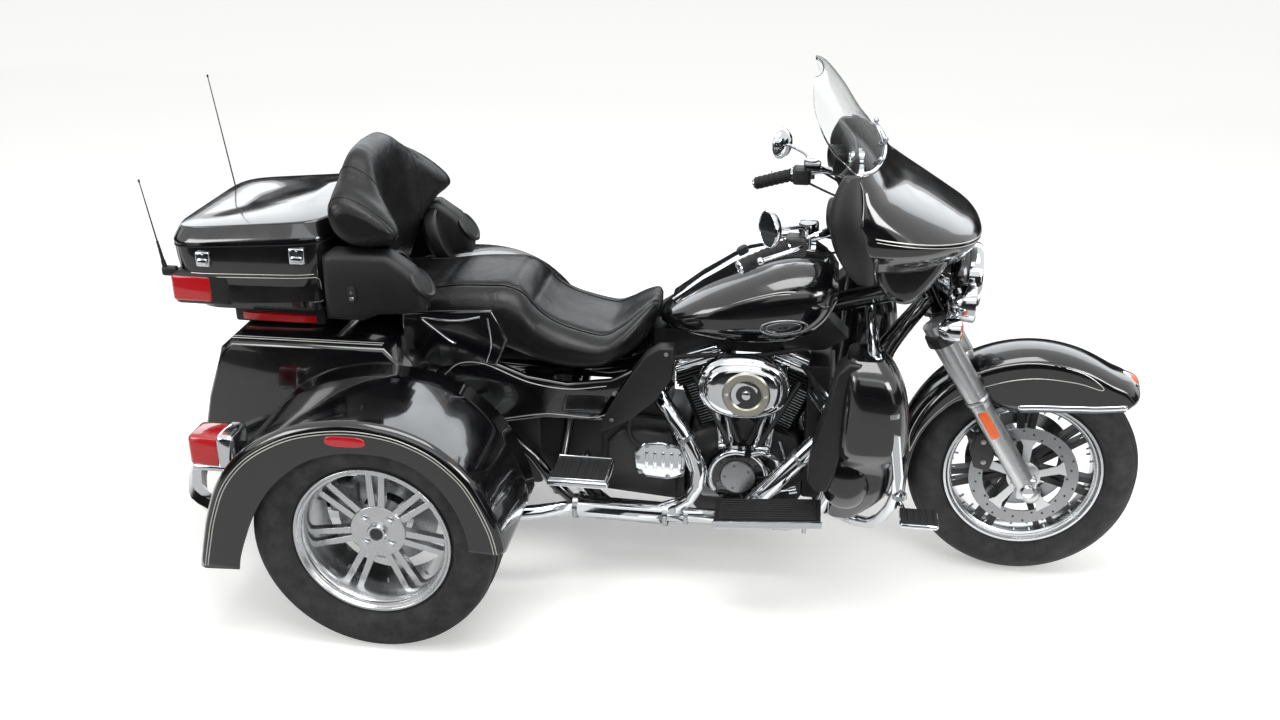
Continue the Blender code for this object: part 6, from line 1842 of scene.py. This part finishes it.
def lamps():
    """Chrome headlamp with a fluted lens, passing lamps and turn signals on a chrome bar."""
    bm = bmesh.new()
    centre = (1.46, 0.0, 0.888)
    spun(bm, [(0.0, -0.06), (0.04, -0.055), (0.072, -0.02), (0.086, 0.01), (0.0885, 0.04), (0.0885, 0.05),
              (0.085, 0.0555), (0.0795, 0.056), (0.0785, 0.05), (0.06, 0.02), (0.03, 0.0), (0.0, -0.005)],
         centre, (1, 0, 0), 72)
    publish(bm, "headlamp_shell", "chrome_plate", "fork", ("front_lamps",), 40)
    bm = bmesh.new()
    spun(bm, [(0.0, 0.0545), (0.04, 0.053), (0.078, 0.0485), (0.078, 0.0455), (0.04, 0.05), (0.0, 0.0515)],
         centre, (1, 0, 0), 64)
    publish(bm, "headlamp_lens", "lamp_glass", "fork", sharp=40)
    bm = bmesh.new()
    spun(bm, [(0.0, 0.01), (0.014, 0.01), (0.014, 0.034), (0.01, 0.04), (0.0, 0.041)], centre, (1, 0, 0), 24)
    publish(bm, "headlamp_bulb", "bright_steel", "fork", sharp=40)
    bm = bmesh.new()
    brick(bm, (1.4, 1.462), (-0.1, 0.1), (0.955, 0.985), 0.01, 3)
    spun(bm, [(0.088, -0.03), (0.1, -0.02), (0.102, 0.01), (0.094, 0.018), (0.088, 0.01)], centre, (1, 0, 0),
         56)
    publish(bm, "headlamp_surround", "gloss_enamel", "fork", sharp=50)
    bm = bmesh.new()
    bar = [(1.412, 0.24, 0.822), (1.448, 0.15, 0.824), (1.463, 0.07, 0.824), (1.463, -0.07, 0.824),
           (1.448, -0.15, 0.824), (1.412, -0.24, 0.822)]
    pipe(bm, bar, 0.0108, 6, 5)
    brick(bm, (1.4545, 1.4715), (-0.0235, 0.0235), (0.7525, 0.8235), 0.004, 3)
    for side in (-1, 1):
        rod(bm, (1.43, side * 0.16, 0.822), (1.44, side * 0.16, 0.862), 0.009, 16)
        rod(bm, (1.412, side * 0.226, 0.822), (1.412, side * 0.248, 0.822), 0.0125, 20)
    publish(bm, "lamp_bar", "chrome_plate", "fork", sharp=50)
    for name, side in SIDES:
        centre = (1.424, side * 0.16, 0.868)
        bm = bmesh.new()
        spun(bm, [(0.0, -0.002), (0.022, 0.0), (0.042, 0.018), (0.05, 0.04), (0.052, 0.058), (0.052, 0.064),
                  (0.049, 0.0675), (0.0465, 0.067), (0.046, 0.06), (0.034, 0.036), (0.0, 0.024)], centre,
             (1, 0, 0), 56)
        publish(bm, "passing_lamp_shell_" + name, "chrome_plate", "fork", sharp=40)
        bm = bmesh.new()
        spun(bm, [(0.0, 0.066), (0.024, 0.065), (0.0458, 0.0625), (0.0458, 0.06), (0.024, 0.0625),
                  (0.0, 0.0635)], centre, (1, 0, 0), 48)
        publish(bm, "passing_lamp_lens_" + name, "lamp_glass", "fork", sharp=40)
        centre = (1.396, side * 0.24, 0.822)
        bm = bmesh.new()
        spun(bm, [(0.0, 0.0), (0.014, 0.002), (0.026, 0.016), (0.0315, 0.034), (0.032, 0.05), (0.032, 0.054),
                  (0.0295, 0.056), (0.028, 0.05), (0.0, 0.046)], centre, (1, 0, 0), 44)
        publish(bm, "signal_shell_" + name, "chrome_plate", "fork", sharp=40)
        bm = bmesh.new()
        spun(bm, [(0.0, 0.0635), (0.014, 0.0625), (0.024, 0.0595), (0.0285, 0.0545), (0.0285, 0.048),
                  (0.0, 0.048)], centre, (1, 0, 0), 40)
        publish(bm, "signal_lens_" + name, "amber_acrylic", "fork", sharp=40)


def handlebar():
    """Swept bars with ribbed grips, switch clusters, fluid reservoirs, ball-end levers and mirrors."""
    half = [(1.3, 0.0, 1.022), (1.285, 0.085, 1.04), (1.215, 0.16, 1.075), (1.105, 0.285, 1.082),
            (1.012, 0.325, 1.058), (0.895, 0.375, 1.01)]
    bm = bmesh.new()
    path = [(x, -y, z) for x, y, z in reversed(half[1:])] + half
    pipe(bm, path, 0.0127, 8, 6)
    brick(bm, (1.285, 1.318), (-0.04, 0.04), (1.004, 1.042), 0.006, 3)
    publish(bm, "handlebar_tube", "chrome_plate", "fork", ("handlebar",), 50)
    for name, side in SIDES:
        inner = Vector((1.002, side * 0.329, 1.054))
        outer = Vector((0.887, side * 0.3785, 1.0065))
        along = (outer - inner).normalized()
        bm = bmesh.new()
        rod(bm, inner, outer - along * 0.006, 0.0172, 32, 0.018)
        reach = (outer - inner).length
        for k in range(7):
            at = inner + along * (0.01 + k * (reach - 0.03) / 6)
            spun(bm, [(0.0165, -0.0035), (0.019, -0.0025), (0.019, 0.0025), (0.0165, 0.0035)], at, along, 28)
        publish(bm, "grip_" + name, "grip_rubber", "fork", sharp=40)
        bm = bmesh.new()
        spun(bm, [(0.0, 0.0), (0.0185, 0.0), (0.019, 0.003), (0.015, 0.0075), (0.0, 0.0085)],
             outer - along * 0.007, along, 28)
        spun(bm, [(0.0125, -0.006), (0.02, -0.006), (0.021, 0.0), (0.0125, 0.001)], inner, along, 28)
        publish(bm, "grip_end_" + name, "chrome_plate", "fork", sharp=40)
        bm = bmesh.new()
        brick(bm, (0.998, 1.051), sided(side, 0.292, 0.346), (1.03, 1.08), 0.01, 4)
        publish(bm, "switch_cluster_" + name, "engine_black", "fork", sharp=40)
        bm = bmesh.new()
        for k, dz in enumerate((-0.014, 0.004)):
            y = side * (0.305 + 0.022 * k)
            brick(bm, (0.9925, 1.0), (y - 0.007, y + 0.007), (1.052 + dz, 1.064 + dz), 0.002, 2)
        publish(bm, "switch_keys_" + name, "moulded_plastic", "fork", sharp=40)
        bm = bmesh.new()
        brick(bm, (1.03, 1.078), sided(side, 0.262, 0.312), (1.082, 1.104), 0.007, 4)
        spun(bm, [(0.0, -0.014), (0.0215, -0.014), (0.0215, 0.006), (0.019, 0.009), (0.0, 0.0095)],
             (1.05, side * 0.3, 1.098), (0, 0, 1), 36)
        publish(bm, "fluid_reservoir_" + name, "gloss_enamel", "fork", sharp=40)
        bm = bmesh.new()
        pivot = Vector((1.052, side * 0.318, 1.06))
        tip = Vector((0.942, side * 0.402, 1.036))
        middle = Vector((1.022, side * 0.362, 1.056))
        pipe(bm, [pivot, middle, tip], 0.0058, 8, 4)
        ball(bm, tip, 0.0095, (1, 1, 1), 20)
        rod(bm, pivot + Vector((0, 0, -0.014)), pivot + Vector((0, 0, 0.014)), 0.0095, 20)
        publish(bm, "hand_lever_" + name, "chrome_plate", "fork", sharp=50)
        head = Vector((0.962, side * 0.412, 1.122))
        way = Vector((0.86, -side * 0.5, 0.0)).normalized()
        bm = bmesh.new()
        pipe(bm, [(1.045, side * 0.318, 1.085), (1.035, side * 0.345, 1.108), (0.995, side * 0.392, 1.118),
                  head + way * 0.012], 0.005, 8, 4)
        rod(bm, (1.045, side * 0.318, 1.078), (1.045, side * 0.318, 1.096), 0.0085, 6)
        profile = [(0.0, 0.022), (0.02, 0.02), (0.036, 0.012), (0.0445, 0.0), (0.0455, -0.006),
                   (0.043, -0.009), (0.0415, -0.006), (0.0, -0.006)]
        spun(bm, profile, head, way, 48)
        publish(bm, "mirror_shell_" + name, "chrome_plate", "fork", sharp=50)
        bm = bmesh.new()
        spun(bm, [(0.0, -0.0075), (0.0412, -0.0075), (0.0412, -0.006), (0.0, -0.006)], head, way, 48)
        publish(bm, "mirror_glass_" + name, "mirror_glass", "fork", sharp=30)
        bm = bmesh.new()
        pipe(bm, [(1.06, side * 0.3, 1.085), (1.12, side * 0.27, 1.06), (1.2, side * 0.17, 1.04),
                  (1.29, side * 0.09, 1.0)], size("tube_radius"), 8, 4)
        pipe(bm, [(1.04, side * 0.312, 1.036), (1.1, side * 0.275, 1.02), (1.19, side * 0.18, 1.01),
                  (1.3, side * 0.085, 0.975)], size("tube_radius") * 0.9, 8, 4)
        publish(bm, "control_cables_" + name, "grip_rubber", "fork")


def frame_and_axle():
    """Lacquered frame tubes and the rear axle housing with its screws."""
    reface("frame", "gloss_enamel", 50)
    reface("rear_axle", "engine_black", 35)
    bm = bmesh.new()
    for x, z in ring_of(8, 0.09, 0.2):
        bolts(bm, [(x, -0.096, REAR_AXLE_Z + z)], (0, -1, 0), 0.0065, 0.005)
    publish(bm, "axle_screws", "bright_steel", sharp=30)


class TRIKE_OT_rear_wheels(bpy.types.Operator):
    """Rear rims, hub screws, discs, callipers and the grooved tyres of all three wheels"""
    bl_idname = "trike.rear_wheels"
    bl_label = "Rear wheels and tyres"

    def execute(self, context):
        tyres()
        rear_wheels()
        return {"FINISHED"}


class TRIKE_OT_front_wheel(bpy.types.Operator):
    """Front rim, spokes and drilled discs"""
    bl_idname = "trike.front_wheel"
    bl_label = "Front wheel"

    def execute(self, context):
        front_wheel()
        return {"FINISHED"}


class TRIKE_OT_rear_body(bpy.types.Operator):
    """Rear fenders with their lines, lamps, trunk and bumper"""
    bl_idname = "trike.rear_body"
    bl_label = "Rear fenders and trunk"

    def execute(self, context):
        rear_fenders()
        fender_stripes()
        rear_lamps()
        trunk()
        return {"FINISHED"}


class TRIKE_OT_top_case(bpy.types.Operator):
    """Top case with latches, lamps and lines, and the rod antennas"""
    bl_idname = "trike.top_case"
    bl_label = "Top case and antennas"

    def execute(self, context):
        top_case()
        antennas()
        return {"FINISHED"}


class TRIKE_OT_seating(bpy.types.Operator):
    """Seat, backrest and the speakers beside it"""
    bl_idname = "trike.seating"
    bl_label = "Seat and backrest"

    def execute(self, context):
        seat()
        backrest()
        speakers()
        return {"FINISHED"}


class TRIKE_OT_tank(bpy.types.Operator):
    """Fuel tank with its console, and the covers under the seat"""
    bl_idname = "trike.tank"
    bl_label = "Tank and side covers"

    def execute(self, context):
        tank()
        side_covers()
        return {"FINISHED"}


class TRIKE_OT_engine(bpy.types.Operator):
    """V-twin engine, cases, air cleaner, exhaust and heat deflectors"""
    bl_idname = "trike.engine"
    bl_label = "Engine and exhaust"

    def execute(self, context):
        cylinders()
        cases()
        air_cleaner()
        exhaust()
        header_shields()
        inner_works()
        under_seat_panels()
        deflectors()
        return {"FINISHED"}


class TRIKE_OT_lowers(bpy.types.Operator):
    """Leg shields, engine guard, foot boards and pedals"""
    bl_idname = "trike.lowers"
    bl_label = "Leg shields and boards"

    def execute(self, context):
        lower_fairings()
        guards_and_boards()
        frame_and_axle()
        return {"FINISHED"}


class TRIKE_OT_fork(bpy.types.Operator):
    """Fork, front fender and the lamps"""
    bl_idname = "trike.fork"
    bl_label = "Fork, fender and lamps"

    def execute(self, context):
        front_fender()
        fork()
        lamps()
        return {"FINISHED"}


class TRIKE_OT_fairing(bpy.types.Operator):
    """Bar fairing, its cockpit, the windshield and the handlebar"""
    bl_idname = "trike.fairing"
    bl_label = "Fairing and handlebar"

    def execute(self, context):
        outer_fairing()
        inner_fairing()
        handlebar()
        return {"FINISHED"}


def soft_light(name, at, aim, width, depth, power_w, tint="FFFFFF"):
    lamp = bpy.data.lights.new(name, "AREA")
    lamp.shape = "RECTANGLE"
    lamp.size = width
    lamp.size_y = depth
    lamp.energy = power_w
    lamp.color = srgb(tint)
    stand = bpy.data.objects.new(name, lamp)
    stand.location = at
    stand.rotation_euler = (Vector(aim) - Vector(at)).to_track_quat("-Z", "Y").to_euler()
    bpy.context.scene.collection.objects.link(stand)
    return stand


CARDS = (
    # name, centre, width, height, turn about Z, grey
    ("hedge_right", (0.4, -6.4, 1.3), 11.0, 2.6, 0.0, 0.015),
    ("hedge_right_tall", (-3.2, -6.3, 2.2), 2.6, 4.4, 0.0, 0.02),
    ("hedge_right_far", (3.9, -6.3, 1.9), 1.7, 3.8, 0.0, 0.02),
    ("hedge_front", (6.6, -1.0, 1.0), 8.0, 2.0, 90.0, 0.02),
    ("hedge_rear", (-6.6, -0.5, 1.1), 9.0, 2.2, 90.0, 0.02),
    ("hedge_left", (0.0, 6.4, 1.1), 12.0, 2.2, 0.0, 0.02),
    ("near_pavement_right", (0.0, -1.4, 0.012), 12.0, 1.5, 0.0, 0.42),
    ("far_pavement_right", (0.0, -4.2, 0.012), 12.0, 4.1, 0.0, 0.035),
    ("near_pavement_left", (0.0, 1.4, 0.012), 12.0, 1.5, 0.0, 0.42),
    ("far_pavement_left", (0.0, 4.2, 0.012), 12.0, 4.1, 0.0, 0.035),
)
SKY_CARDS = (
    # name, centre, width, height, radiance: what lids, crowns and the tank's top mirror
    ("bright_sky_left", (0.0, 5.6, 4.2), 13.0, 3.8, 2.6),
    ("bright_sky_right", (0.3, -7.4, 6.6), 9.0, 2.2, 2.4),
)


def flag(name, centre, size_xy, turn, grey):
    """A matte card that only mirrors see, so chrome and paint get dark and bright bands."""
    made = bpy.data.materials.new(name + "_card")
    made.use_nodes = True
    shader = made.node_tree.nodes["Principled BSDF"]
    shader.inputs["Base Color"].default_value = (grey, grey, grey, 1.0)
    shader.inputs["Roughness"].default_value = 1.0
    shader.inputs["Specular IOR Level"].default_value = 0.0
    mesh = bpy.data.meshes.new(name)
    bm = bmesh.new()
    bmesh.ops.create_grid(bm, x_segments=1, y_segments=1, size=0.5)
    bmesh.ops.scale(bm, vec=(size_xy[0], size_xy[1], 1.0), verts=bm.verts)
    bmesh.ops.transform(bm, matrix=Matrix.Translation(centre) @ turn, verts=bm.verts)
    bm.to_mesh(mesh)
    bm.free()
    mesh.materials.append(made)
    card = bpy.data.objects.new(name, mesh)
    bpy.context.scene.collection.objects.link(card)
    card.visible_camera = False
    card.visible_diffuse = False
    card.visible_shadow = False
    card.visible_transmission = False
    return card


def pale_world():
    world = bpy.data.worlds.new("pale_backdrop")
    bpy.context.scene.world = world
    world.use_nodes = True
    tree = world.node_tree
    tree.nodes.clear()
    path = add_node(tree, "ShaderNodeLightPath")
    seen = sums(tree, "MAXIMUM", path.outputs["Is Camera Ray"], path.outputs["Is Transmission Ray"])
    seen = sums(tree, "MAXIMUM", seen, path.outputs["Is Glossy Ray"])
    level = add_node(tree, "ShaderNodeMapRange", None, {"Value": seen, "To Min": 0.75, "To Max": 1.0})
    light = add_node(tree, "ShaderNodeBackground", None, {"Color": (1.0, 1.0, 1.0, 1.0),
                                                         "Strength": level.outputs["Result"]})
    add_node(tree, "ShaderNodeOutputWorld", None, {"Surface": light.outputs["Background"]})


def stage_floor():
    made, tree, shader, place = start_material("pale_floor", {
        "Base Color": solid("EDEDEB"), "Roughness": 0.85, "Specular IOR Level": 0.1})
    gloss_from(tree, shader, noise(tree, place, 30.0, 3.0), 0.8, 0.95)
    shader.inputs["Emission Color"].default_value = (1.0, 1.0, 1.0, 1.0)
    shader.inputs["Emission Strength"].default_value = 0.28
    mesh = bpy.data.meshes.new("floor")
    bm = bmesh.new()
    bmesh.ops.create_grid(bm, x_segments=1, y_segments=1, size=20.0)
    bm.to_mesh(mesh)
    bm.free()
    mesh.materials.append(made)
    floor = bpy.data.objects.new("floor", mesh)
    bpy.context.scene.collection.objects.link(floor)


def camera():
    yaw, pitch, roll = -0.1318, 0.4131, 0.0078
    ahead = Vector((sin(yaw) * cos(pitch), cos(yaw) * cos(pitch), -sin(pitch)))
    across = ahead.cross(Vector((0, 0, 1))).normalized()
    above = across.cross(ahead)
    right = across * cos(roll) + above * sin(roll)
    up = above * cos(roll) - across * sin(roll)
    data = bpy.data.cameras.new("camera")
    data.lens = 36.96
    data.sensor_width = 36.0
    stand = bpy.data.objects.new("camera", data)
    axes = Matrix((right, up, -ahead)).transposed().to_4x4()
    stand.matrix_world = Matrix.Translation((0.41205, -3.4242, 2.0923)) @ axes
    bpy.context.scene.collection.objects.link(stand)
    bpy.context.scene.camera = stand


class TRIKE_OT_stage(bpy.types.Operator):
    """Pale floor and backdrop, soft lights, dark cards for the mirrors, and the camera"""
    bl_idname = "trike.stage"
    bl_label = "Stage, lights and camera"

    def execute(self, context):
        context.scene.view_settings.view_transform = "Standard"
        pale_world()
        stage_floor()
        soft_light("overhead", (0.2, -0.8, 4.4), (0.0, 0.0, 0.4), 3.2, 2.2, 120.0)
        soft_light("front_right", (3.6, -3.4, 2.8), (0.2, 0.0, 0.5), 1.8, 1.5, 85.0)
        soft_light("rear_right", (-3.6, -2.8, 2.4), (-0.3, 0.0, 0.5), 1.6, 1.4, 50.0)
        for name, at, across, tall, turn, grey in CARDS:
            stand = Matrix() if at[2] < 0.1 else Matrix.Rotation(pi / 2, 4, "X")
            flag(name, at, (across, tall), Matrix.Rotation(radians(turn), 4, "Z") @ stand, grey)
        for name, at, across, tall, radiance in SKY_CARDS:
            card = flag(name, at, (across, tall), Matrix.Rotation(pi / 2, 4, "X"), 0.0)
            shader = card.data.materials[0].node_tree.nodes["Principled BSDF"]
            shader.inputs["Emission Color"].default_value = (0.93, 0.97, 1.0, 1.0)
            shader.inputs["Emission Strength"].default_value = radiance
        camera()
        return {"FINISHED"}


PIECE_OPERATORS = (TRIKE_OT_rear_wheels, TRIKE_OT_front_wheel, TRIKE_OT_rear_body, TRIKE_OT_top_case,
                   TRIKE_OT_seating, TRIKE_OT_tank, TRIKE_OT_engine, TRIKE_OT_lowers, TRIKE_OT_fork,
                   TRIKE_OT_fairing, TRIKE_OT_stage,)


class TRIKE_PT_panel(bpy.types.Panel):
    """Lists the trike's pieces"""
    bl_idname = "TRIKE_PT_panel"
    bl_label = "Motorized trike"
    bl_space_type = "VIEW_3D"
    bl_region_type = "UI"
    bl_category = "Trike"

    def draw(self, context):
        for maker in PIECE_OPERATORS:
            self.layout.operator(maker.bl_idname)
        for group in (context.scene.trike_colours, context.scene.trike_sizes):
            for key in group.bl_rna.properties.keys():
                if key not in ("rna_type", "name"):
                    self.layout.prop(group, key)


CLASSES = (TRIKE_PG_colours, TRIKE_PG_sizes, *PIECE_OPERATORS, TRIKE_PT_panel)


def register():
    for made in CLASSES:
        bpy.utils.register_class(made)
    bpy.types.Scene.trike_colours = PointerProperty(type=TRIKE_PG_colours)
    bpy.types.Scene.trike_sizes = PointerProperty(type=TRIKE_PG_sizes)


def unregister():
    del bpy.types.Scene.trike_sizes
    del bpy.types.Scene.trike_colours
    for made in reversed(CLASSES):
        bpy.utils.unregister_class(made)


def main():
    register()
    bpy.ops.trike.rear_wheels()
    bpy.ops.trike.front_wheel()
    bpy.ops.trike.rear_body()
    bpy.ops.trike.top_case()
    bpy.ops.trike.seating()
    bpy.ops.trike.tank()
    bpy.ops.trike.engine()
    bpy.ops.trike.lowers()
    bpy.ops.trike.fork()
    bpy.ops.trike.fairing()
    bpy.ops.trike.stage()


if __name__ == "__main__":
    main()
